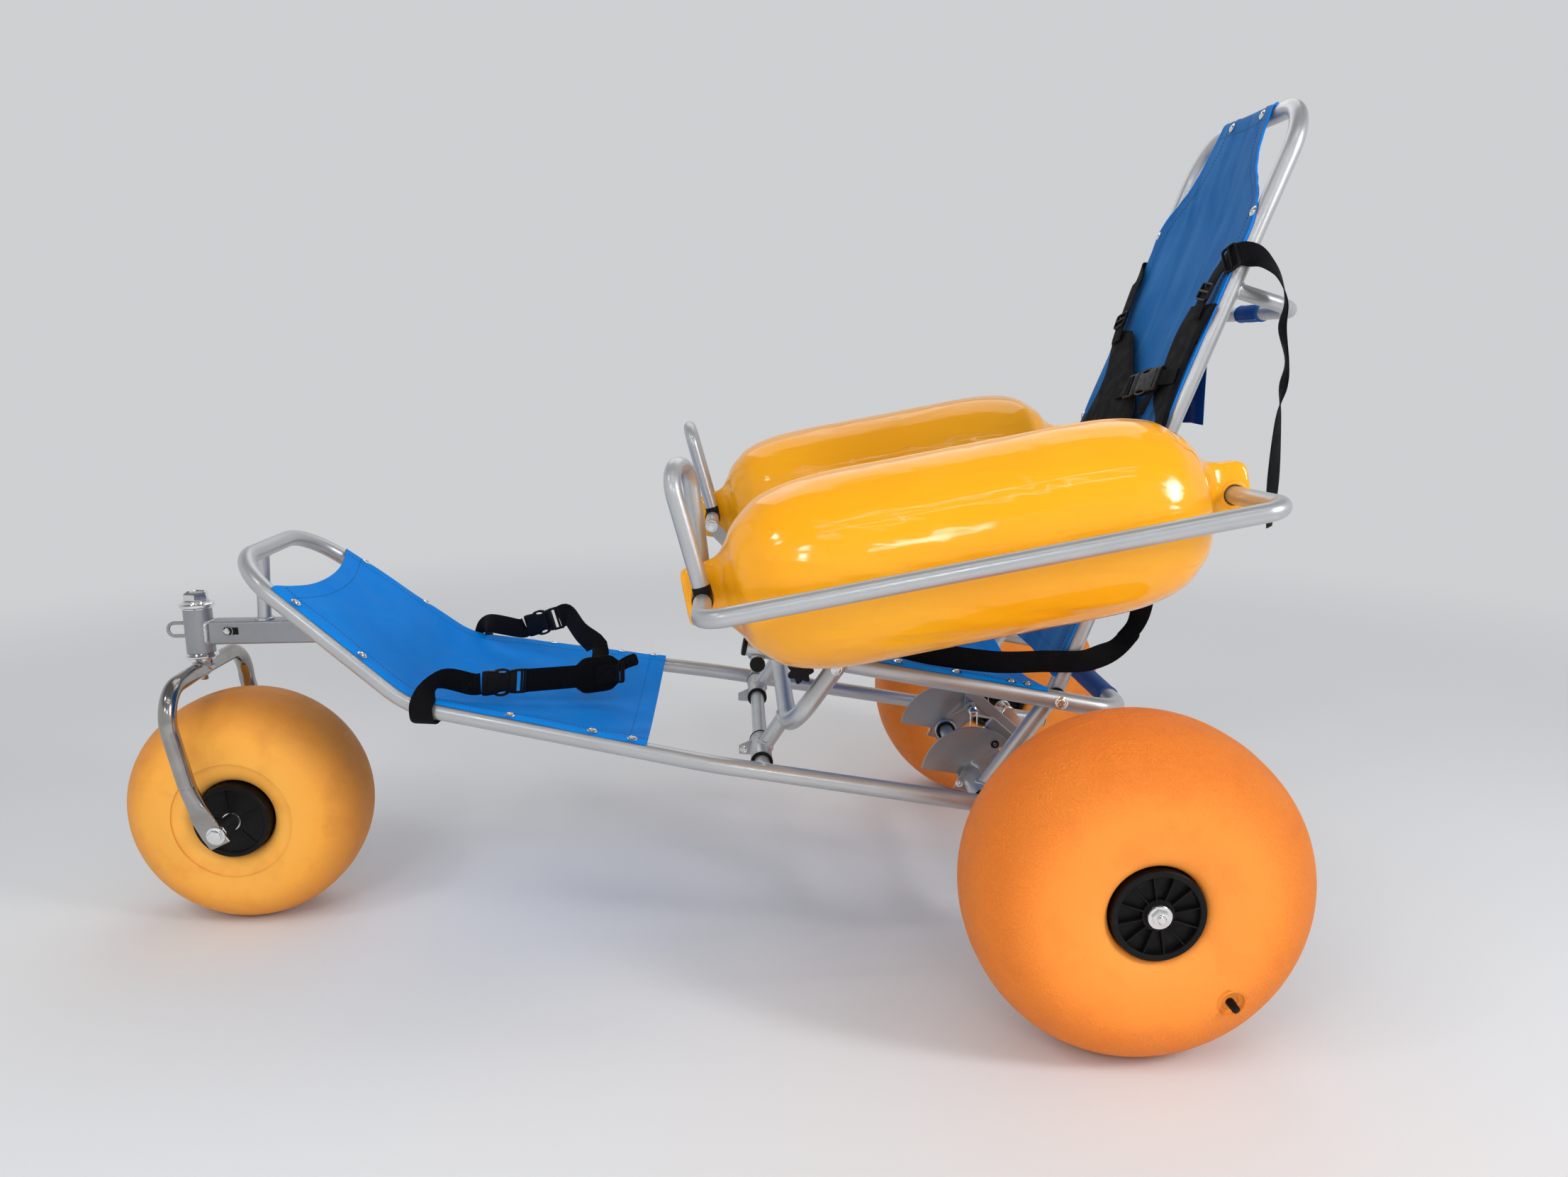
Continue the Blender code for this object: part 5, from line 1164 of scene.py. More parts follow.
# %% [markdown]
# The blue cover on the push handle is coated cloth sewn round a thin foam: slightly fuller in the middle than at
# its bound ends, with a piping along its seam. The seat frame's rear bar wears a like cover in a greyer blue.
# %% Padded tube covers
def tube_cover(name, body, centre, half_long, inner, outer, colour, seam_at, node=None):
    profile = [(inner, -half_long), (outer - 0.001, -half_long), (outer, -half_long + 0.003),
               (outer - 0.0012, -half_long + 0.006)]
    for k in range(17):
        f = k / 16
        y = -half_long + 0.01 + (2 * half_long - 0.02) * f
        profile.append((outer - 0.0006 + 0.0005 * sin(pi * f) - 0.0003 * abs(sin(9 * pi * f)), y))
    profile += [(outer - 0.0012, half_long - 0.006), (outer, half_long - 0.003), (outer - 0.001, half_long),
                (inner, half_long)]
    made = piece(name, colour, body, [turned(profile, centre, sides=40)], node)
    edge = Vector(centre) + Vector((cos(seam_at), 0, sin(seam_at))) * (outer - 0.0002)
    line = [edge + Vector((0, y, 0)) for y in (-half_long + 0.002, 0, half_long - 0.002)]
    seam = sweep(line, circle(0.0013, 8), (1, 0, 0))
    piece(name + "_piping", cover_edge, body, [seam])


# The handle cover uses the back's shaded blue finish, which is painted darker as painted shade.
tube_cover("push_handle_cover", "backrest", (HANDLE_X, 0, HANDLE_Z), 0.042, 0.0122, 0.015, shaded_back_blue, 3.9,
           "handle_cover")
tube_cover("seat_bar_cover", "seat", (0.069, 0, seat_z(0.069)), 0.15, 0.0151, 0.0178, cover_cloth, -1.9)

# %% [markdown]
# Each armrest turns in a short sleeve on the backrest. Its tube runs out through the float's rear lug, forward
# along the outside and back in through the front lug. A hand loop stands on it, on black saddles. A flat stainless
# brace runs down from its inner end to the star knob on the seat.
# %% Armrests
for s, side in SIDES:
    sleeve = mm((0.1, 0), (17.8, 0), (18.5, 0.8), (18.5, 45.5), (17.8, 46.5), (13.4, 46.5), (13.4, 8.5), (0.1, 8.5))
    piece(f"arm_sleeve_{side}", grey, f"arm_pivot_{side}",
          [turned(sleeve, spot(ARM_REAR, s * 0.2035), (0, s, 0), 40),
           pin(ARM_REAR[0], ARM_REAR[1], s * 0.19, s * 0.206, 0.007, 24)], f"armrest_pivot_{side}")
    arm_path = [spot(ARM_FRONT, s * 0.256), spot(ARM_FRONT, s * ARM_Y),
                (ARM_REAR[0] + 0.012, s * ARM_Y, ARM_REAR[1] + 0.002), spot(ARM_REAR, s * 0.44),
                spot(ARM_REAR, s * 0.2125)]
    piece(f"armrest_tube_{side}", silver, f"armrest_{side}",
          [tube(arm_path, ARM_R, [0, 0.035, 0.035, 0.06, 0])], f"armrest_frame_{side}")
    twist = 0.026 if s < 0 else 0.0
    base_z = ARM_FRONT[1] + ARM_R + GAP + 0.0005
    grip = [Vector((ARM_FRONT[0], s * 0.453, base_z)), Vector((-0.644, s * 0.453, 0.832)),
            Vector((-0.644 + twist, s * 0.375, 0.832)), Vector((ARM_FRONT[0], s * 0.375, base_z))]
    piece(f"hand_loop_tube_{side}", silver, f"armrest_{side}",
          [tube(grip, 0.012, [0, 0.037, 0.037, 0])], f"hand_loop_{side}")
    saddles = []
    for foot, near in ((grip[0], grip[1]), (grip[3], grip[2])):
        rise = (near - foot).normalized()
        collar = mm((6, -7.5), (11.8, -7.5), (13.1, -5.5), (13.3, 6), (12.6, 7.8), (11.9, 7.8), (6, 1))
        saddles.append(turned(collar, foot, rise, 36))
        steps = mm((0.1, -11.5), (1.6, -10.5), (2.2, 0), (1.6, 10.5), (0.1, 11.5))
        wrap = [(ARM_R + high, y) for high, y in steps]
        saddles.append(turned(wrap, spot(ARM_FRONT, foot.y)))
    piece(f"hand_loop_saddles_{side}", nylon, f"armrest_{side}", saddles)

# %% [markdown]
# The brace is a flat bar with a rounded upper end and a hooked slot at its lower end that drops over the knob's
# stud. Its outline is drawn once, in the plane of the bar, with both ends as arcs.
# %% Braces
toward = (spot(KNOB, 0) - spot(ARM_FRONT, 0)).normalized()
across = Vector((-toward.z, 0, toward.x))
slot_way = (toward * 0.9547 - across * 0.2972).normalized()
slot_side = Vector((-slot_way.z, 0, slot_way.x))
BAR_HALF, SLOT_R = 0.0125, 0.0052
upper_end, lower_end = spot(ARM_FRONT, 0), spot(KNOB, 0)
slot_end = lower_end - slot_way * 0.003
outline = [upper_end + across * (BAR_HALF * cos(a)) - toward * (BAR_HALF * sin(a))
           for a in (pi * k / 14 for k in range(15))]
outline.append(lower_end + toward * 0.012 - across * BAR_HALF)
outline.append(slot_end + slot_way * 0.0145 - slot_side * SLOT_R)
outline += [slot_end + slot_way * (-SLOT_R * sin(a)) + slot_side * (-SLOT_R * cos(a))
            for a in (pi * k / 10 for k in range(11))]
outline.append(slot_end + slot_way * 0.0145 + slot_side * SLOT_R)
outline.append(lower_end + toward * 0.012 + across * BAR_HALF)
for s, side in SIDES:
    bolt = mm((0.1, 0.4), (9, 0.4), (9.8, 1), (9.8, 4.5), (8.6, 5.6), (0.1, 5.8))
    disc = mm((0.1, -0.6), (11.8, -0.6), (11.8, 0.6), (0.1, 0.6))
    piece(f"brace_bar_{side}", stainless, f"brace_{side}",
          [plate([(p.x, p.z) for p in outline], s * 0.2515, s * 0.2555)], f"brace_{side}", bevel=0.0006)
    piece(f"brace_bolt_{side}", chrome, f"brace_{side}",
          [turned(bolt, spot(ARM_FRONT, s * 0.2518), (0, -s, 0), 6),
           turned(disc, spot(ARM_FRONT, s * 0.251), (0, -s, 0), 32),
           pin(ARM_FRONT[0], ARM_FRONT[1], s * 0.2555, s * 0.266, 0.005, 16)], bevel=0.0005, sharp=25)

# %% [markdown]
# The slings are stretched between tubes and screwed to them. One could simulate each cloth, but a taut sheet moves
# so little that a measured grid is truer. The rows lie on the tubes as arcs, sag between them and are turned into
# a solid sheet. Added to that are the folded hem, which stands up a little, faint tension creases that run
# from the screws, and slow waves. Each point knows its place on the flat cloth, for the weave.
# %% Sling surface
CLOTH, EDGE_TURN = 0.0016, 0.62
HEM, ROW_STEPS = 0.03, 40


def wrap_radius(tube_radius):
    return (tube_radius + GAP) / cos(EDGE_TURN / 3) + 0.0012 + 0.0002


def hang(left, right, up, lift, sag, drift=0.0, turn=EDGE_TURN):
    """One row of a sling: edge arcs over each tube and a sagging middle."""
    across, up, on = across_to(right - left, up)
    outward = (-across - on * drift).normalized()
    turns = [turn * (1 - k / 3) for k in range(4)]
    row = [left + up * (lift * cos(a)) + outward * (lift * sin(a)) for a in turns]
    span = (right - left).length
    for k in range(1, ROW_STEPS):
        f = k / ROW_STEPS
        row.append(left + across * (span * f) + up * (lift - sag * (1 - (2 * f - 1) ** 2)))
    outward = (across - on * drift).normalized()
    return row + [right + up * (lift * cos(a)) + outward * (lift * sin(a)) for a in turns[::-1]]


def smooth_step(a, b, x):
    t = min(1.0, max(0.0, (x - a) / (b - a)))
    return t * t * (3 - 2 * t)


def grid_normals(grid, away):
    rows, cols = len(grid), len(grid[0])
    out = []
    for i in range(rows):
        for j in range(cols):
            du = grid[min(i + 1, rows - 1)][j] - grid[max(i - 1, 0)][j]
            dv = grid[i][min(j + 1, cols - 1)] - grid[i][max(j - 1, 0)]
            n = du.cross(dv).normalized()
            out.append(-n if n.dot(Vector(away)) < 0 else n)
    return out


def flat_places(grid):
    """Where each grid point lies on the flat cloth: distance across from the middle, distance along."""
    rows, cols = len(grid), len(grid[0])
    places = []
    along = [0.0] * cols
    for i in range(rows):
        across = [0.0]
        for j in range(1, cols):
            across.append(across[-1] + (grid[i][j] - grid[i][j - 1]).length)
        for j in range(cols):
            if i:
                along[j] += (grid[i][j] - grid[i - 1][j]).length
            places.append((across[j] - across[-1] / 2, along[j], across[-1] / 2))
    return places


def two_sided(rows, cols):
    """Faces of a closed sheet from two grids, one for each side, and its rim as a loop of grid points."""
    faces, size = [], rows * cols
    for i in range(rows - 1):
        for j in range(cols - 1):
            a = i * cols + j
            faces.append([a, a + 1, a + cols + 1, a + cols])
            faces.append([size + a, size + a + cols, size + a + cols + 1, size + a + 1])
    edge = [(0, j) for j in range(cols)] + [(i, cols - 1) for i in range(1, rows)]
    edge += [(rows - 1, j) for j in range(cols - 2, -1, -1)] + [(i, 0) for i in range(rows - 2, 0, -1)]
    rim = [i * cols + j for i, j in edge]
    return faces + [[a, a + size, b + size, b] for a, b in zip(rim, rim[1:] + rim[:1])], rim


def cloth_solid(grid, thick, away, puckers=(), wave=0.0008, seed=0.0):
    """A thin closed solid from a grid: hem step, creases that run from the screws, and slow waves."""
    rows, cols = len(grid), len(grid[0])
    normals = grid_normals(grid, away)
    places = flat_places(grid)
    flat = [p for row in grid for p in row]
    lifted = []
    for k, (p, n) in enumerate(zip(flat, normals)):
        u, v, half = places[k]
        total = places[(rows - 1) * cols + k % cols][1]
        edge = min(half - abs(u), v, total - v)
        rise = 0.0006 * smooth_step(HEM + 0.003, HEM - 0.001, edge) - 0.0005 * exp(-((edge - HEM) / 0.004) ** 2)
        rise += wave * sin(u * 31 + v * 17 + seed) * sin(v * 23 - u * 11 + 2 * seed)
        for q in puckers:
            d = (p - q).length
            if d < 0.11:
                turn = (p - q).dot(Vector((0.31, 0.9, 0.3))) / (d + 0.004)
                rise += 0.0011 * exp(-d / 0.035) * sin(7.0 * turn) * smooth_step(0.004, 0.016, d)
        lifted.append(p + n * rise)
    verts = [p + n * (thick * sign) for sign in (0.5, -0.5) for p, n in zip(lifted, normals)]
    spots = [(u, v) for u, v, half in places] * 2
    return (verts, two_sided(rows, cols)[0], spots), lifted, normals, places


# %% [markdown]
# A cup washer and a pan head screw hold each point of a sling. The washer is a turned dish. The head is a dome with
# a cross shaped recess: a polar grid whose height drops where the recess is.
# %% Screws
def pan_screw(seat, out, radius=0.0046, washer=0.0078, turn=0.4):
    """Shapes of one screw: a cup washer and a domed head with a cross recess."""
    out = Vector(out).normalized()
    side = out.orthogonal().normalized()
    other = out.cross(side)
    dish = turned([(0.0026, 0.0002), (washer, 0.0), (washer + 0.0002, 0.0005), (washer - 0.001, 0.001),
                   (radius + 0.0008, 0.0022), (0.003, 0.0012)], seat, out, 28)
    verts = []
    rings = (1.0, 0.97, 0.86, 0.72, 0.6, 0.5, 0.38, 0.24, 0.1)
    for i, f in enumerate(rings):
        for around in angles(32):
            a = around + turn
            r = radius * f
            high = 0.0014 + 0.0024 * sqrt(max(0.0, 1 - f ** 2)) if i else 0.0008
            cross = abs(cos(2 * around)) ** 6 * 0.4 + 0.22
            if f < cross + 0.16:
                high -= 0.0013 * smooth_step(cross + 0.16, cross, f)
            verts.append(Vector(seat) + side * (r * cos(a)) + other * (r * sin(a)) + out * high)
    return [dish, (verts, closed_net(len(rings), 32))]


# %% [markdown]
# Stitches are real too: short drops of thread laid end to end along a line on the cloth, with a small gap between
# them. Each is an octahedron stretched along the seam, so hundreds of them stay cheap.
# %% Stitching
def stitches(points, normals, step=0.0062, long=0.0042, high=0.00055):
    verts, faces = [], []
    travelled, following = 0.0, step
    for a, b, n in zip(points, points[1:], normals):
        gap = (b - a).length
        while gap > 1e-6 and travelled + gap >= following:
            centre = a + (b - a) * ((following - travelled) / gap) + n * (high * 0.35)
            way = (b - a).normalized()
            side = way.cross(n).normalized()
            base = len(verts)
            verts += [centre - way * (long / 2), centre + side * high, centre + n * high, centre - side * high,
                      centre - n * high, centre + way * (long / 2)]
            for k in range(4):
                u, v = base + 1 + k, base + 1 + (k + 1) % 4
                faces += [[base, v, u], [base + 5, u, v]]
            following += step
        travelled += gap
    return verts, faces


def hem_seams(grid, lifted, normals, places, thick, ends=(True, True), inset=HEM):
    """Stitch lines along both sides and the ends, found as the grid places nearest to the hem's depth."""
    rows, cols = len(grid), len(grid[0])
    lines = []
    for sign in (-1, 1):
        run = []
        for i in range(rows):
            goal = sign * (places[i * cols][2] - inset)
            best = min(range(cols), key=lambda j: abs(places[i * cols + j][0] - goal))
            near = best + (1 if goal > places[i * cols + best][0] else -1)
            near = min(cols - 1, max(0, near))
            a, b = i * cols + best, i * cols + near
            width = places[b][0] - places[a][0]
            f = (goal - places[a][0]) / width if abs(width) > 1e-9 else 0.0
            run.append((lifted[a].lerp(lifted[b], f) + normals[a] * (thick / 2), normals[a]))
        lines.append(run)
    for end, wanted in ((0, ends[0]), (1, ends[1])):
        if not wanted:
            continue
        run = []
        for j in range(3, cols - 3):
            total = places[(rows - 1) * cols + j][1]
            want = inset if end == 0 else total - inset
            i = max(k for k in range(rows - 1) if places[k * cols + j][1] <= want)
            a, b = i * cols + j, (i + 1) * cols + j
            f = (want - places[a][1]) / max(1e-9, places[b][1] - places[a][1])
            run.append((lifted[a].lerp(lifted[b], f) + normals[a] * (thick / 2), normals[a]))
        lines.append(run)
    return [stitches(*zip(*run)) for run in lines]


# %% [markdown]
# All three slings are finished the same way: the sheet goes round its screws, and gets its stitches and its screws.
# %% A sling with its stitches and screws
def leaning(up, s, angle):
    """A direction that leans from up to the outside."""
    return (up * cos(angle) + Vector((0, s, 0)) * sin(angle)).normalized()


def sling(label, finish, body, rows, screws, away, seed, turn):
    shape, lifted, normals, places = cloth_solid(rows, CLOTH, away, [p for p, n in screws], 0.001, seed=seed)
    cloth = piece(f"{label}_rest_sling", finish, body, [shape], f"{label}_sling", sharp=60)
    piece(f"{label}_sling_stitches", thread, body, hem_seams(rows, lifted, normals, places, CLOTH))
    heads = [shape for k, (p, n) in enumerate(screws) for shape in pan_screw(p, n, turn=turn * k)]
    piece(f"{label}_sling_screws", chrome, body, heads, sharp=30)
    return lifted


# %% [markdown]
# The foot sling starts with a scoop under the front loop, follows the two bends of the rails, and ends behind
# the calves. Its rows stand square to the rails.
# %% Foot sling
FOOT_FRONT, FOOT_REAR = -1.292, -0.7
FOOT_STEPS = 60
ON_CLOTH = CLOTH / 2 + 0.0006
lift_rail = wrap_radius(RAIL_R)
foot_rows = []
for i in range(FOOT_STEPS + 1):
    x = FOOT_FRONT + (FOOT_REAR - FOOT_FRONT) * i / FOOT_STEPS
    y, z, _ = rail_at(x)
    y2, z2, _ = rail_at(x + 0.006)
    y1, z1, _ = rail_at(x - 0.006)
    slope = Vector((0.012, 0, z2 - z1)).normalized()
    sag = 0.003 + 0.02 * min(1.0, max(0.0, (x + 1.16) / 0.15))
    scoop = 0.03 * max(0.0, (FOOT_REAR - x) / (FOOT_REAR - FOOT_FRONT)) ** 3
    line = hang(Vector((x, -y, z)), Vector((x, y, z)), Vector((-slope.z, 0, slope.x)), lift_rail, sag,
                (y2 - y1) / 0.012 * slope.x)
    foot_rows.append([p + slope * (scoop * max(0.0, 1 - (p.y / y) ** 2)) for p in line])


def rail_top(x, s, lean=0.0):
    """A point on the cloth over a rail, and the outward direction there, leaning to the outside by an angle."""
    y, z, way = rail_at(x)
    way = Vector((way.x, s * -way.y, way.z))
    out = leaning(Vector((-way.z, 0, way.x)).normalized(), s, lean)
    return Vector((x, s * y, z)) + out * (lift_rail + ON_CLOTH), out


foot_screw_x = (-1.26, -1.158, -1.046, -0.917, -0.787, -0.724)
foot_screws = [rail_top(x, s, 0.1) for s in (-1, 1) for x in foot_screw_x]
sling("foot", blue, "chassis", foot_rows, foot_screws, (0, 0, 1), 0.6, 0.7)

# %% [markdown]
# The seat sling is a plain trapezium between the seat rails, shorter than the seat, so a gap is left behind it.
# %% Seat sling
SEAT_FRONT, SEAT_REAR = -0.505, -0.062
lift_seat = wrap_radius(SEAT_R)
SEAT_STEPS = 44
seat_rows = []
for i in range(SEAT_STEPS + 1):
    x = SEAT_FRONT + (SEAT_REAR - SEAT_FRONT) * i / SEAT_STEPS
    z = seat_z(x)
    seat_rows.append(hang(Vector((x, -SEAT_Y, z)), Vector((x, SEAT_Y, z)), (-SEAT_SLOPE, 0, 1), lift_seat, 0.022))
seat_up = Vector((-SEAT_SLOPE, 0, 1)).normalized()
seat_screw_x = (-0.48, -0.392, -0.302, -0.209, -0.12, -0.094)
seat_screws = []
for s, side in SIDES:
    out = leaning(seat_up, s, 0.12)
    seat_screws += [(Vector((x, s * SEAT_Y, seat_z(x))) + out * (lift_seat + ON_CLOTH), out) for x in seat_screw_x]
sling("seat", blue, "seat", seat_rows, seat_screws, (0, 0, 1), 2.1, 0.9)

# %% [markdown]
# The back sling is as wide as the tubes up to the shoulders, then draws in to a narrow neck that is screwed to the
# top bend. Its edges carry a bright piping.
# %% Back sling
lift_back, SAG_BACK = wrap_radius(BACK_R), 0.02
SHOULDER = ((0.815, 1.0), (0.835, 0.95), (0.86, 0.8), (0.885, 0.66), (0.92, 0.56), (0.955, 0.5), (0.985, 0.47))


def neck_width(h):
    for (h0, w0), (h1, w1) in zip(SHOULDER, SHOULDER[1:]):
        if h0 <= h <= h1:
            return w0 + (w1 - w0) * smooth_step(h0, h1, h) * 0.5 + (w1 - w0) * (h - h0) / (h1 - h0) * 0.5
    return SHOULDER[-1][1]


back_rows = []
BACK_STEPS = 88
for i in range(BACK_STEPS + 1):
    h = 0.03 + (CROWN_H - 0.03) * i / BACK_STEPS
    if h <= SHOULDER[0][0]:
        turn = 0.2 + (EDGE_TURN - 0.2) * smooth_step(0.815, 0.785, h)
        back_rows.append(hang(on_back(h, -BACK_Y), on_back(h, BACK_Y), FRONT, lift_back, SAG_BACK, 0.0, turn))
    else:
        w = neck_width(h)
        sag = SAG_BACK * min(1.0, (CROWN_H - h) / 0.17)
        flat_row = hang(on_back(h, -BACK_Y), on_back(h, BACK_Y), FRONT, lift_back, 0.0, 0.0, 0.2)
        half = max(abs(p.y) for p in flat_row)
        back_rows.append([on_back(h, p.y / half * w * BACK_Y, lift_back - sag * (1 - (p.y / half) ** 2))
                          for p in flat_row])
columns = [p.y for p in back_rows[-1]]
for turn in (0.35, 0.7, 1.05):
    h = CROWN_H + lift_back * sin(turn) * 0.8
    back_rows.append([on_back(h, y, lift_back * cos(turn * 0.8)) for y in columns])
back_screws = []
for h in (0.805, 0.6, 0.455, 0.3, 0.15, 0.055):
    for s, side in SIDES:
        out = leaning(FRONT, s, 0.12)
        back_screws.append((on_back(h, s * BACK_Y) + out * (lift_back + ON_CLOTH), out))
for y in (-0.065, 0.052):
    back_screws.append((on_back(CROWN_H - 0.005, y, lift_back + ON_CLOTH), FRONT))
back_lifted = sling("back", shaded_back_blue, "backrest", back_rows, back_screws, FRONT, 4.0, 1.1)
cols = len(back_rows[0])
edges = [sweep(back_lifted[j::cols], circle(0.0016, 10)) for j in (0, cols - 1)]
piece("back_sling_piping", piping, "backrest", edges)

# %% [markdown]
# The recline lock: on each side a fan shaped plate with two holes swings with the backrest, and a spring plunger in
# a housing at the end of a fixed arm drops into one of them. The plate is drawn once as an outline, its holes are
# cut, and the sleeve carries it in a weld.
# %% Recline plates
PIN, PLATE_R = (-0.1165, 0.3225), 0.087
pin_turn = atan2(PIN[1] - BACK_PIVOT[1], PIN[0] - BACK_PIVOT[0])
pin_reach = hypot(PIN[0] - BACK_PIVOT[0], PIN[1] - BACK_PIVOT[1])


def about_pivot(r, a):
    return BACK_PIVOT[0] + r * cos(a), BACK_PIVOT[1] + r * sin(a)


fan = [about_pivot(PLATE_R, radians(170 - 142 * k / 40)) for k in range(41)]
fan += [about_pivot(0.0235, radians(-10 - 180 * k / 16)) for k in range(17)]
for s, side in SIDES:
    fan_plate = piece(f"recline_plate_{side}", grey, "backrest", [plate(fan, s * 0.1245, s * 0.1295)],
                      f"sector_plate_{side}")
    holes = [pin(BACK_PIVOT[0], BACK_PIVOT[1], s * 0.1, s * 0.15, SLEEVE_R - 0.0008, 48)]
    for turn in (0, -12):
        x, z = about_pivot(pin_reach, pin_turn + radians(turn))
        holes.append(pin(x, z, s * 0.1, s * 0.15, 0.0038, 24))
    for hole in holes:
        cut_away(fan_plate, grey, hole)
    edge = fan_plate.modifiers.new("edge", "BEVEL")
    edge.width, edge.segments, edge.limit_method = 0.0007, 2, "ANGLE"
    round_sleeve = oval(spot(BACK_PIVOT, s * 0.1238), (SLEEVE_R + 0.0006, 0, 0), (0, 0, SLEEVE_R + 0.0006), 72)
    piece(f"recline_plate_weld_{side}", weld, "backrest", [bead(round_sleeve, 0.0022)])

# %% [markdown]
# The fixed arm is a flat bar with a gusset, welded to the rear axle tube. Its end holds a turned housing with a
# bore for the plunger.
# %% Index arms
foot_point, arm_top = Vector((0, 0, REAR_R)), Vector((-0.119, 0, 0.352))
arm_line = (arm_top - foot_point).normalized()
arm_off = Vector((arm_line.z, 0, -arm_line.x)) * 0.0095
arm_ends = [foot_point + arm_line * 0.015 - arm_off, arm_top - arm_off, arm_top + arm_off,
            foot_point + arm_line * 0.015 + arm_off]
gusset_low = foot_point + arm_line * 0.09 - arm_off
gusset = [(PIN[0] - 0.0115, PIN[1] - 0.006), (PIN[0] + 0.002, PIN[1] - 0.0125), (gusset_low.x, gusset_low.z),
          (arm_top.x, arm_top.z), ((arm_top - arm_off).x, (arm_top - arm_off).z)]
for s, side in SIDES:
    housing = mm((3.6, 83), (9.2, 83), (10.5, 84.2), (10.5, 122.8), (9.5, 124), (3.6, 124))
    piece(f"index_arm_plate_{side}", grey, "chassis",
          [plate([(p.x, p.z) for p in arm_ends], s * 0.086, s * 0.098), plate(gusset, s * 0.09, s * 0.094),
           turned(housing, spot(PIN, 0), (0, s, 0), 32)], f"index_arm_{side}", bevel=0.0008)
    foot_ring = oval(foot_point + arm_line * 0.0155 + Vector((0, s * 0.092, 0)), arm_off * 1.05, (0, 0.0068, 0), 48)
    piece(f"index_arm_weld_{side}", weld, "chassis", [bead(foot_ring, 0.0024)])

# %% [markdown]
# The plunger is a steel pin with a tapered nose and a knurled collar, and a ring of bent wire to pull it by.
# %% Plungers and pull rings
for s, side in SIDES:
    rod = mm((0.1, 53.5), (7, 53.5), (8.5, 54.5), (8.5, 57.2), (7.6, 57.8), (7.6, 58.8), (8.5, 59.4), (8.5, 63.2),
             (7.5, 64.1), (3, 64.2), (3, 121.5), (1.8, 124), (0.1, 124))
    piece(f"plunger_rod_{side}", chrome, f"plunger_{side}",
          [turned(rod, spot(PIN, 0), (0, s, 0), 32)], f"index_plunger_{side}", sharp=30)
    y = s * 0.0505
    wire = [(PIN[0] - 0.006, y, PIN[1] + 0.003), (PIN[0] - 0.006, y, PIN[1] - 0.04),
            (PIN[0] + 0.006, y, PIN[1] - 0.04), (PIN[0] + 0.006, y, PIN[1] + 0.003)]
    cross_bar = bar((PIN[0] - 0.0072, y, PIN[1] + 0.002), (PIN[0] + 0.0072, y, PIN[1] + 0.002), 0.0018, 12)
    piece(f"pull_ring_wire_{side}", chrome, f"ring_{side}", [tube(wire, 0.0013, 0.0058, 12), cross_bar],
          f"pull_ring_{side}")

# %% [markdown]
# Axles: the rear ones are stubs in the axle tube, each with a spacer on its inner side and a washer, a nut and the
# threaded end outside the hub. The front axle passes through the fork's flat ends, with a nut on one side and a
# screw with a star recess on the other.
# %% Axles
AXLE_R = 0.0103
for s, side in SIDES:
    shaft = [(0.0001, 0.246), (0.0095, 0.246), (AXLE_R, 0.2475), (AXLE_R, 0.3207), (0.014, 0.3207), (0.015, 0.322),
             (0.015, 0.385), (0.014, 0.3868), (AXLE_R, 0.3868), (AXLE_R, 0.6132), (0.016, 0.6132), (0.0165, 0.6137),
             (0.0165, 0.6146), (0.0158, 0.6151), (0.006, 0.6151), (0.006, 0.6196), (0.0053, 0.62), (0.006, 0.6204),
             (0.0053, 0.6208), (0.006, 0.6212), (0.0053, 0.6216), (0.0059, 0.6221), (0.005, 0.6232),
             (0.0001, 0.6235)]
    lock = mm((5, 615), (10.8, 615), (12.2, 615.7), (12.2, 618.2), (10.8, 619), (8.6, 619.4), (5, 619.4))
    middle, way = (0, 0, REAR_R), (0, s, 0)
    piece(f"rear_axle_shaft_{side}", chrome, "chassis",
          [turned(shaft, middle, way, 48), turned(lock, middle, way, 6)], f"rear_axle_{side}", sharp=28)
    piece(f"axle_tube_weld_{side}", weld, "chassis",
          [bead(oval((0, s * 0.3198, REAR_R), (0.0158, 0, 0), (0, 0, 0.0158), 60), 0.0012)])
front_shaft = [(AXLE_R, -0.16), (AXLE_R, -0.154), (0.0145, -0.1538), (0.0145, -0.103), (0.0118, -0.1027),
               (AXLE_R, -0.1027)]
front_loop = [(0.0001, -0.16)] + front_shaft + [(r, -t) for r, t in front_shaft[::-1]] + [(0.0001, 0.16)]
axle_shapes = [turned(front_loop, (FRONT_X, 0, FRONT_R), sides=48)]
for s, side in SIDES:
    face_washer = mm((0.1, 161.6), (15, 161.6), (15.5, 162.1), (15.5, 163), (15, 163.4), (0.1, 163.4))
    head = mm((0.1, 160), (11.8, 163.2), (12.5, 164), (12.5, 167.2), (11.4, 168.8), (9.5, 169.2), (0.1, 169.2))
    axle_shapes += [turned(face_washer, (FRONT_X, 0, FRONT_R), (0, s, 0), 40),
                    turned(head, (FRONT_X, 0, FRONT_R), (0, s, 0), 6)]
piece("front_axle_bolts", chrome, "caster", axle_shapes, "front_axle", bevel=0.0003, sharp=25)

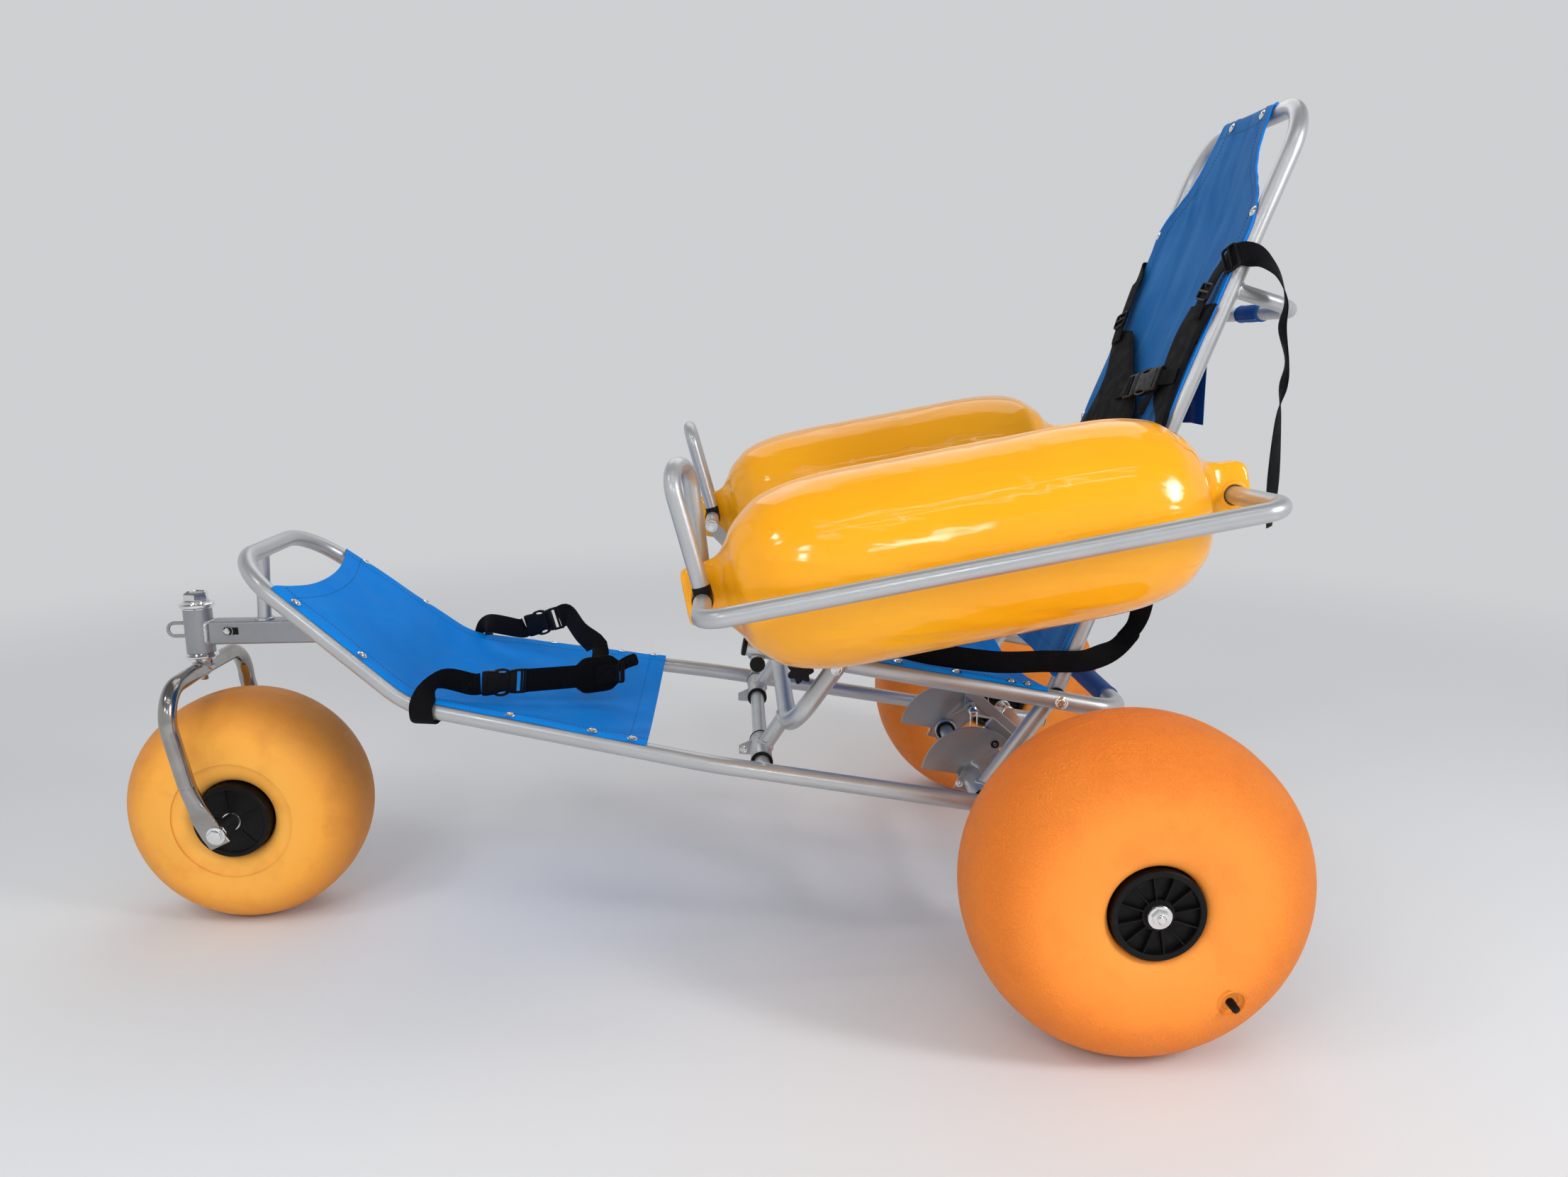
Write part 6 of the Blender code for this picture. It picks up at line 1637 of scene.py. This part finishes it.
# %% [markdown]
# Webbing is a flat tape, so it is swept along a smooth curve with a face direction at each point. Its edges are a
# little thinner than its middle. Ends that carry load are folded back and sewn, which shows as a doubled layer with
# a box of stitches.
# %% Tape and its stitches
def band(points, ups, width, thick=0.0018, ends=0.0):
    """A tape along the points; ends is how much its two ends draw in, from 0 to 1."""
    path = flowing(points)
    turns = [v.normalized() for v in flowing([Vector(u).normalized() for u in ups])]
    a, b = width / 2, thick / 2
    outline = [(-a, -b * 0.4), (-a + b * 1.6, -b), (0, -b), (a - b * 1.6, -b), (a, -b * 0.4), (a, b * 0.4),
               (a - b * 1.6, b), (0, b), (-a + b * 1.6, b), (-a, b * 0.4)]
    sizes = [1.0] * len(path)
    if ends:
        sizes[0] = sizes[-1] = 1 - ends
    return sweep(path, outline, ups=turns, sizes=sizes)


def box_stitches(centre, along, face, long, wide, lift):
    along, face, side = across_to(along, face)
    steps = ((-1, -1), (1, -1), (1, 1), (-1, 1), (-1, -1), (1, 1), (1, -1), (-1, 1))
    corners = [Vector(centre) + face * lift + along * (long / 2 * i) + side * (wide / 2 * j) for i, j in steps]
    return stitches(corners, [face] * len(corners), 0.0034, 0.0024, 0.0004)


# %% [markdown]
# Buckles are lofts: rounded flat sections at places along an axis, wide or narrow, thick or thin. One function
# builds them all. A side release buckle is a socket, two spring arms that bulge out at its waist, and the plug's
# bar. A ladder buckle is a rounded frame with a middle bar.
# %% Buckles
def loft(centre, along, face, stations):
    """Stations are (place along, half width, half thickness) about a centre."""
    along, face, side = across_to(along, face)
    verts = []
    for d, wide, thick in stations:
        for a in angles(28):
            u, v = squarish(a, 0.45)
            verts.append(Vector(centre) + along * d + side * (wide * u) + face * (thick * v))
    return verts, closed_net(len(stations), 28)


def clip_buckle(tail, nose, face, wide=0.042, thick=0.01):
    """Socket from the tail, plug at the nose: the plug's bar frame is open, its arms show at the socket's waist."""
    tail, nose = Vector(tail), Vector(nose)
    way = nose - tail
    long, middle = way.length, (tail + nose) / 2
    a, b, h = wide / 2, thick / 2, way.length / 2
    socket = [(-h, a * 0.9, b * 0.55), (-h + 0.0015, a * 0.98, b * 0.85), (-h + 0.008, a, b),
              (-h + 0.3 * long, a * 0.96, b), (-h + 0.38 * long, a * 0.78, b),
              (-h + 0.52 * long, a * 0.74, b * 0.98), (-h + 0.59 * long, a * 0.92, b * 0.9),
              (-h + 0.605 * long, a * 0.9, b * 0.7)]
    along, up, side = across_to(way, face)
    shapes = [loft(middle, way, face, socket)]
    body = [(-h + 0.55 * long, a * 0.66, b * 0.45), (-h + 0.63 * long, a * 0.72, b * 0.5),
            (-h + 0.66 * long, a * 0.96, b * 0.8), (-h + 0.76 * long, a * 0.98, b * 0.84),
            (-h + 0.775 * long, a * 0.96, b * 0.6)]
    shapes.append(loft(middle, way, face, body))
    for f in (0.905, 0.985):
        centre = middle + along * (-h + f * long)
        shapes.append(bar(centre - side * (a * 0.9), centre + side * (a * 0.9), b * 0.44, 14))
    for sign in (-1, 1):
        edge = middle + side * (sign * a * 0.9)
        shapes.append(bar(edge + along * (-h + 0.74 * long), edge + along * h, b * 0.46, 14))
        grip = [middle + along * (-h + f * long) + side * (sign * a * w)
                for f, w in ((0.26, 0.84), (0.34, 0.99), (0.44, 1.03), (0.53, 0.97), (0.62, 0.8))]
        shapes.append(sweep(flowing(grip, 4), [(-0.0018, -b * 0.62), (0.0018, -b * 0.62), (0.0018, b * 0.62),
                                               (-0.0018, b * 0.62)], up))
    ridge = middle + along * (-h + 0.1 * long)
    shapes.append(block(ridge + up * (b * 0.98), along, up, (0.0034, a * 1.5, b * 0.3), 0.0012))
    return shapes


def ladder_buckle(centre, along, face, wide=0.042, long=0.027, thick=0.0042):
    along, face, side = across_to(along, face)
    centre = Vector(centre)
    turns = [squarish(a, 0.3) for a in angles(40)]
    loop = [centre + along * ((long / 2 - 0.002) * u) + side * ((wide / 2 - 0.002) * v) for u, v in turns]
    frame_shape = sweep(loop, circle(0.002, 10, thick / 2), face, closed=True, ups=[face] * len(loop))
    middle = centre + face * 0.001
    return [frame_shape, bar(middle - side * (wide / 2 - 0.003), middle + side * (wide / 2 - 0.003), 0.0021, 14)]


# %% [markdown]
# A pad is a closed, crowned form. It is made from two edges: the points between them form a grid, and each grid
# point gets half the thickness to both sides, thin at the rim and full a centimetre inside it. A tape is bound
# round the rim.
# %% Padded shapes
def pad_between(left, right, face, thick, rim=0.3, soft=0.01):
    """A crowned pad between two edge lines of equal length, and the loop of its rim."""
    rows, columns = len(left), 16
    face = Vector(face).normalized()
    ends = [0.0]
    for i in range(1, rows):
        middle = (left[i] + right[i]) / 2
        ends.append(ends[-1] + (middle - (left[i - 1] + right[i - 1]) / 2).length)
    verts = []
    for sign in (1, -1):
        for i in range(rows):
            width = (right[i] - left[i]).length
            for k in range(columns + 1):
                f = k / columns
                inside = min(f * width, (1 - f) * width, ends[i], ends[-1] - ends[i])
                half = thick / 2 * (rim + (1 - rim) * sqrt(smooth_step(0, soft, inside)))
                verts.append(left[i].lerp(right[i], f) + face * (sign * half))
    faces, loop = two_sided(rows, columns + 1)
    return (verts, faces), [(verts[a] + verts[a + len(verts) // 2]) / 2 for a in loop]


def rim_tape(loop, face, deep=0.005, thick=0.003):
    """The tape bound round a pad: a flat oval that follows the rim."""
    return sweep(loop, circle(deep / 2, 10, thick / 2), face, closed=True, ups=[Vector(face)] * len(loop))


# %% [markdown]
# Calf belt: on each side a strap goes round the rail, comes up inside and meets a buckle; from there a wide elastic
# band crosses the foot sling to a padded joint, which carries a sewn patch and a small ladder buckle.
# %% Calf belt
CATCH = {-1: Vector((-0.9757, -0.15, 0.454)), 1: Vector((-0.9516, 0.15, 0.4787))}
BUCKLE_END = {-1: Vector((-0.9105, -0.104, 0.445)), 1: Vector((-0.881, 0.12, 0.503))}
PAD = Vector((-0.799, -0.03, 0.433))
pad_face = Vector((0.5, -0.86, 0.0)).normalized()
pad_run = Vector((0.86, 0.5, -0.03)).normalized()
pad_up = pad_run.cross(pad_face).normalized()
pad_up = pad_up if pad_up.z > 0 else -pad_up
calf_bands = []
for s, side in SIDES:
    start_y, start_z, _ = rail_at(-1.05)
    wrap = RAIL_R + 0.0075
    knot = Vector((-1.05, s * start_y, start_z))
    course = (BUCKLE_END[s] - CATCH[s]).normalized()
    out = Vector((-course.y * s, course.x * s, 0)).normalized()
    route = [knot + Vector((0.004, -s * 0.012, -wrap - 0.002)), knot + Vector((0, s * 0.008, -wrap - 0.001)),
             knot + Vector((-0.002, s * wrap, -0.006)), knot + Vector((0.002, s * (wrap - 0.001), 0.018)),
             Vector((-1.03, s * (start_y - 0.02), start_z + 0.042)), CATCH[s] - course * 0.014, CATCH[s]]
    ups = [(0, 0, -1), (0, 0, -1), (0, s, 0), (0.1, s, 0.1), (0.75, s * 0.5, -0.35), out, out]
    piece(f"calf_tape_{side}", webbing, "chassis", [band(route, ups, 0.036)], f"calf_strap_{side}", sharp=60)
    piece(f"calf_tape_stitches_{side}", thread, "chassis",
          [box_stitches(CATCH[s] - course * 0.02, course, out, 0.02, 0.026, 0.0012)])
    piece(f"calf_clip_{side}", nylon, "chassis",
          clip_buckle(CATCH[s] + course * 0.003, BUCKLE_END[s], out), f"calf_buckle_{side}", sharp=32)
    start = [BUCKLE_END[s] - course * 0.004, BUCKLE_END[s] + course * 0.017]
    if s < 0:
        line = start + [PAD - pad_run * 0.02, PAD + pad_run * 0.03]
        turn = [out, out, pad_face, pad_face]
    else:
        line = start + [Vector((-0.8377, 0.07, 0.485)), Vector((-0.802, 0.03, 0.462)), PAD]
        turn = [out, out, out, -pad_face, -pad_face]
    calf_bands.append(band(line, turn, 0.04, 0.0024))
piece("calf_elastic", elastic, "chassis", calf_bands, "calf_band", sharp=60)

# %% [markdown]
# The padded joint of the calf belt is a short crowned pad with round ends. A square patch is sewn on it, and the
# tail of the belt runs out through the ladder buckle.
# %% Calf pad
pad_left, pad_right = [], []
for k in range(17):
    f = -1 + 2 * k / 16
    draw_in = 0.03 * (1 - abs(f) ** 5) ** 0.35 if abs(f) < 1 else 0.018
    along = PAD + pad_run * (0.037 * f)
    pad_left.append(along - pad_up * max(0.02, draw_in))
    pad_right.append(along + pad_up * max(0.02, draw_in))
pad_shape, pad_rim = pad_between(pad_left, pad_right, pad_face, 0.0085, rim=0.45, soft=0.008)
calf_pad = piece("calf_pad", webbing, "chassis", [pad_shape], "calf_band", sharp=50)
piece("calf_pad_binding", elastic, "chassis", [rim_tape(pad_rim, pad_face, 0.005, 0.0058)], sharp=50)
PATCH_RISE = 0.0046
patch = PAD + pad_run * 0.016 + pad_face * (PATCH_RISE + 0.0008)
piece("calf_patch", elastic, "chassis",
      [block(patch, pad_run, pad_face, (0.044, 0.034, 0.002), 0.003)], sharp=40)
piece("calf_patch_stitches", thread, "chassis",
      [box_stitches(patch, pad_run, pad_face, 0.036, 0.026, 0.0012)])
buckle_at = PAD + pad_run * 0.042 + pad_face * (PATCH_RISE + 0.002)
piece("calf_ladder", nylon, "chassis", ladder_buckle(buckle_at, pad_run, pad_face, 0.04, 0.014))
tail_line = [buckle_at - pad_run * 0.006 + pad_up * 0.008, buckle_at + pad_run * 0.01 + pad_up * 0.016,
             buckle_at + pad_run * 0.03 + pad_up * 0.022 + pad_face * 0.004]
piece("calf_tail", webbing, "chassis",
      [band(tail_line, [pad_face, pad_face, pad_face + pad_up * 0.3], 0.022, 0.0018, ends=0.35)], sharp=60)

# %% [markdown]
# Harness: two padded panels lie on the back sling and a buckle joins them across the chest. A shoulder strap goes
# from each panel through ladder buckles and over the tube. The near one has a long tail that hangs behind the
# float.
# %% Harness panels
PANELS = {-1: ((0.655, 0.122, 0.226), (0.61, 0.106, 0.209), (0.56, 0.112, 0.207), (0.505, 0.126, 0.214),
               (0.465, 0.186, 0.232), (0.4, 0.204, 0.234)),
          1: ((0.618, 0.122, 0.206), (0.597, 0.092, 0.194), (0.545, 0.034, 0.164), (0.503, -0.03, 0.16),
              (0.462, -0.06, 0.17), (0.42, 0.0, 0.19), (0.385, 0.12, 0.202))}


def panel_point(h, y, s):
    """On a panel's middle face: it follows the hollow of the sling a little."""
    return on_back(h, s * y, 0.0206 - 0.005 * (1 - min(1.0, abs(y) / BACK_Y) ** 2))


for s, side in SIDES:
    inner = flowing([panel_point(h, y0, s) for h, y0, y1 in PANELS[s]], 6)
    outer = flowing([panel_point(h, y1, s) for h, y0, y1 in PANELS[s]], 6)
    shape, loop = pad_between(inner, outer, FRONT, 0.0068)
    pad = piece(f"harness_pad_{side}", webbing, "backrest", [shape], f"harness_panel_{side}", sharp=60)
    piece(f"harness_pad_binding_{side}", elastic, "backrest", [rim_tape(loop, FRONT)], sharp=60)
    seams = []
    for edge, other in ((inner, outer), (outer, inner)):
        line = [a + (b - a).normalized() * 0.0085 + FRONT * 0.0033 for a, b in zip(edge, other)][2:-2]
        seams.append(stitches(line, [FRONT] * len(line), 0.0042, 0.003, 0.0004))
    piece(f"harness_pad_stitches_{side}", thread, "backrest", seams)

# %% [markdown]
# Each shoulder strap comes round the backrest tube from behind, so its face turns from the rear over the outside
# to the front. Its end is folded and sewn below the ladder buckle. The near one goes on into the hanging tail.
# %% Shoulder straps
tail = mm((252, 1112), (274, 1090), (288, 1052), (285, 1012), (296, 962), (293, 924), (289, 876), (288, 780),
          (287, 706))
tail_face = [(0.3, -0.8, 0.5), (0.6, -0.5, 0.5), (0.9, -0.3, 0.2), (1, -0.1, 0), (1, -0.3, 0), (1, -0.1, 0),
             (0.8, -0.6, 0), (0.6, -0.8, 0), (0.8, -0.6, 0)]
STRAP_ENDS = {-1: ((0.7, 0.187, 0.0255), (0.662, 0.182, 0.0265)),
              1: ((0.69, 0.186, 0.0255), (0.625, 0.17, 0.0265))}
RING_R = 0.0215
for s, side in SIDES:
    out = Vector((0, s, 0))
    over = [on_back(0.745, s * 0.17, -0.023), on_back(0.745, s * 0.2, -RING_R),
            on_back(0.745, s * (BACK_Y + RING_R * 0.75), -RING_R * 0.7), on_back(0.742, s * (BACK_Y + RING_R), 0.0),
            on_back(0.738, s * (BACK_Y + RING_R * 0.75), RING_R * 0.7),
            on_back(0.731, s * (BACK_Y + 0.0075), 0.0212), on_back(0.718, s * (BACK_Y - 0.007), 0.0235)]
    over += [on_back(h, s * y, n) for h, y, n in STRAP_ENDS[s]]
    face = [-FRONT, -FRONT, (out - FRONT).normalized(), out, (out + FRONT).normalized(),
            (out * 0.4 + FRONT).normalized(), FRONT, FRONT, FRONT]
    last, way = over[-1], (over[-1] - over[-2]).normalized()
    if s < 0:
        over = over[:2:-1] + [Vector((x, -0.229, z)) for x, z in tail]
        face = face[:2:-1] + tail_face
    piece(f"shoulder_tape_{side}", webbing, "backrest", [band(over, face, 0.036)],
          f"shoulder_strap_{side}", sharp=60)
    sewn = [last - way * 0.02 + FRONT * 0.0012, last + way * 0.012 + FRONT * 0.0004,
            last + way * 0.03 - FRONT * 0.0012]
    piece(f"shoulder_fold_{side}", webbing, "backrest", [band(sewn, [FRONT] * 3, 0.038, 0.0022)], sharp=60)
    piece(f"shoulder_fold_stitches_{side}", thread, "backrest",
          [box_stitches(last + way * 0.012 + FRONT * 0.0009, way, FRONT, 0.026, 0.026, 0.0012)])
    buckles = ladder_buckle(last - way * 0.012 + FRONT * 0.0032, way, FRONT, 0.046, 0.03, 0.0052)
    if s < 0:
        bend = on_back(0.7285, -BACK_Y - 0.01, 0.0225)
        buckles += ladder_buckle(bend, on_back(0.716, -BACK_Y + 0.006) - on_back(0.738, -BACK_Y - 0.018, -0.008),
                                 (FRONT - Vector((0, 0.45, 0))).normalized(), 0.046, 0.03, 0.0052)
    piece(f"shoulder_ladder_{side}", nylon, "backrest", buckles, sharp=50)

# %% [markdown]
# The chest buckle lies across the two panels on short tapes that are sewn to them, and one loose end hangs down.
# %% Chest buckle and its tapes
def on_chest(y, lift=0.0):
    """A point of the chest buckle's middle line: it runs a little down to the sitter's right."""
    return on_back(0.509 - 0.152 * y, y, 0.0302 + lift)


chest_way = on_chest(0.1) - on_chest(0.0)
piece("chest_clip", nylon, "backrest",
      clip_buckle(on_chest(-0.154), on_chest(-0.018), FRONT, 0.042, 0.011), "chest_buckle", sharp=32)
chest_runs = (((-0.148, 0.0012), (-0.162, -0.0005), (-0.18, -0.0048), (-0.202, -0.0052)),
              ((-0.0245, 0.001), (-0.008, -0.0015), (0.015, -0.0052), (0.048, -0.0068)))
chest_bands = [band([on_chest(y, lift) for y, lift in run], [FRONT] * 4, 0.025) for run in chest_runs]
chest_tail = [on_back(0.527, -0.14, 0.0268), on_back(0.505, -0.132, 0.0275), on_back(0.47, -0.121, 0.0285)]
chest_bands.append(band(chest_tail, [FRONT, FRONT, FRONT + Vector((0, -0.3, 0))], 0.025, ends=0.45))
piece("chest_tape", webbing, "backrest", chest_bands, sharp=60)
piece("chest_tape_stitches", thread, "backrest",
      [box_stitches(on_chest(y, lift), chest_way, FRONT, 0.018, 0.018, 0.0012)
       for y, lift in ((-0.19, -0.0052), (0.036, -0.0064))])

# %% [markdown]
# The hip belt stands on its edge along both sides of the seat, lies over at its front end, passes outside each
# backrest tube and ends free behind it.
# %% Hip belt
for s, side in SIDES:
    knot = on_back(0.065, s * BACK_Y)
    clear = BACK_R + 0.007
    route = [Vector((-0.295, s * 0.176, 0.5075)), Vector((-0.215, s * 0.203, 0.499)),
             Vector((-0.134, s * 0.214, 0.4905)), Vector((-0.06, s * 0.22, 0.492)),
             knot + Vector((-0.014, s * clear, 0)), knot + Vector((0.012, s * clear, 0)),
             knot + Vector((0.038, s * 0.016, 0.004)), knot + Vector((0.076, s * 0.006, 0.018)),
             knot + Vector((0.103, 0, 0.044))]
    ups = [(0, s * 0.6, 0.8), (0, s, 0.2), (0, s, 0), (0, s, 0), (0, s, 0), (0, s, 0), (-0.1, s, 0.2),
           (-0.5, s * 0.6, 0.6), (-0.6, s * 0.5, 0.6)]
    piece(f"hip_tape_{side}", webbing, "seat", [band(route, ups, 0.036, ends=0.12)],
          f"hip_belt_{side}", sharp=60)
    tip = route[-1]
    rise = [tip + Vector((-0.018, s * 0.0012, -0.018)), tip + Vector((0.004, s * 0.0014, 0.012)),
            tip + Vector((0.015, -s * 0.004, 0.048)), tip + Vector((0.019, -s * 0.012, 0.088))]
    piece(f"hip_tape_end_{side}", webbing, "seat",
          [band(rise, [ups[-1], ups[-1], (-0.5, s * 0.85, 0.1), (-0.3, s * 0.95, 0)], 0.034, ends=0.15)], sharp=60)

# %% [markdown]
# A cloth flap hangs from the rear of the back sling. Only its lower corner shows past the near tube, dark navy. A
# grid of points hangs straight down, with soft vertical waves that grow towards the free edge, and a folded hem.
# %% Back flap
FLAP_H, FLAP_HALF, FLAP_LOW = 0.66, 0.15, 0.861
flap_grid = []
FLAP_ROWS, FLAP_COLUMNS = 24, 40
for i in range(FLAP_ROWS + 1):
    f = i / FLAP_ROWS
    row = []
    for k in range(FLAP_COLUMNS + 1):
        y = FLAP_HALF * (-1 + 2 * k / FLAP_COLUMNS)
        hollow = 0.02 * (1 - (y / BACK_Y) ** 2)
        top = on_back(FLAP_H, y, -0.002 - hollow * 0.8)
        hang_x = 0.204 + 0.0035 * sin(y * 62) + 0.002 * sin(y * 23 + 1)
        x = top.x + (hang_x - top.x) * smooth_step(0, 0.3, f)
        row.append(Vector((x, y, top.z + (FLAP_LOW + 0.0015 * sin(y * 40) - top.z) * f)))
    flap_grid.append(row)
flap_shape, flap_lifted, flap_normals, flap_places = cloth_solid(flap_grid, 0.0012, (1, 0, 0), (), 0.0005, seed=1.2)
flap = piece("back_flap", navy, "backrest", [flap_shape], sharp=60)
piece("back_flap_stitches", thread, "backrest",
      hem_seams(flap_grid, flap_lifted, flap_normals, flap_places, 0.0012, (False, True), 0.012))

# %% [markdown]
# Small fittings that hold the linkage together: bolts with washers at the seat and the link, plastic spacers
# between the tubes, end rings on the turning sleeves, and clamp plates with a screw beside the backrest's sleeves.
# %% Fittings of the linkage
def bolt(at, out, radius, washer):
    """A screw with its washer on a short round boss, so that it sits well on a tube."""
    boss = [(0.0001, -0.005), (washer * 0.94, -0.005), (washer * 0.94, 0.0002), (0.0001, 0.0002)]
    return [turned(boss, at, out, 28)] + pan_screw(at, out, radius, washer)


def ring_at(centre, inner, outer, y0, y1):
    return turned([(inner, y0), (outer, y0), (outer, y1), (inner, y1)], centre, sides=40)


for s, side in SIDES:
    out = Vector((0, s, 0))
    piece(f"seat_bolt_{side}", chrome, "seat",
          bolt(spot(SEAT_BOLT, s * (SEAT_Y + SEAT_R + 0.0006)), out, 0.0074, 0.0108), sharp=30)
    piece(f"link_bolt_{side}", chrome, "link",
          bolt(spot(LINK_BOLT, s * (LINK_Y + 0.0154)), out, 0.0064, 0.0096), sharp=30)
    piece(f"seat_spacer_{side}", nylon, "seat",
          [ring_at(spot(SEAT_BOLT, s * 0.216), 0.006, 0.016, -0.0018, 0.0018)])
    for part, middle, y, ends in (("link", LINK_PIVOT, 0.1815, (-0.0563, 0.0539)),
                                  ("backrest", BACK_PIVOT, 0.177, (-0.0618, 0.0594))):
        piece(f"{part}_end_rings_{side}", nylon, part,
              [ring_at(spot(middle, 0), 0.0127, 0.0182, s * y + t, s * y + t + 0.0024) for t in ends])
    piece(f"plate_bush_{side}", nylon, "backrest",
          [ring_at(spot(PIN, s * 0.1302), 0.004, 0.0068, -0.0007, 0.0009)])
    lug = mm((-189, 250), (-162, 242), (-140, 256), (-143, 279), (-174, 281))
    piece(f"sleeve_clamp_{side}", grey, "backrest", [plate(lug, s * 0.1385, s * 0.143)], bevel=0.0008)
    piece(f"sleeve_clamp_screw_{side}", chrome, "backrest",
          bolt(Vector((-0.179, s * 0.1432, 0.258)), out, 0.004, 0.006), sharp=30)
    piece(f"link_clamp_screw_{side}", chrome, "link",
          bolt(Vector((LINK_PIVOT[0] - 0.028, s * 0.1562, LINK_PIVOT[1] - 0.005)), out, 0.004, 0.006), sharp=30)

# %% [markdown]
# The number of pieces that were made, and of their faces, is printed.
# %% Pieces and faces
print("pieces", len(made_faces), "faces", sum(made_faces.values()))
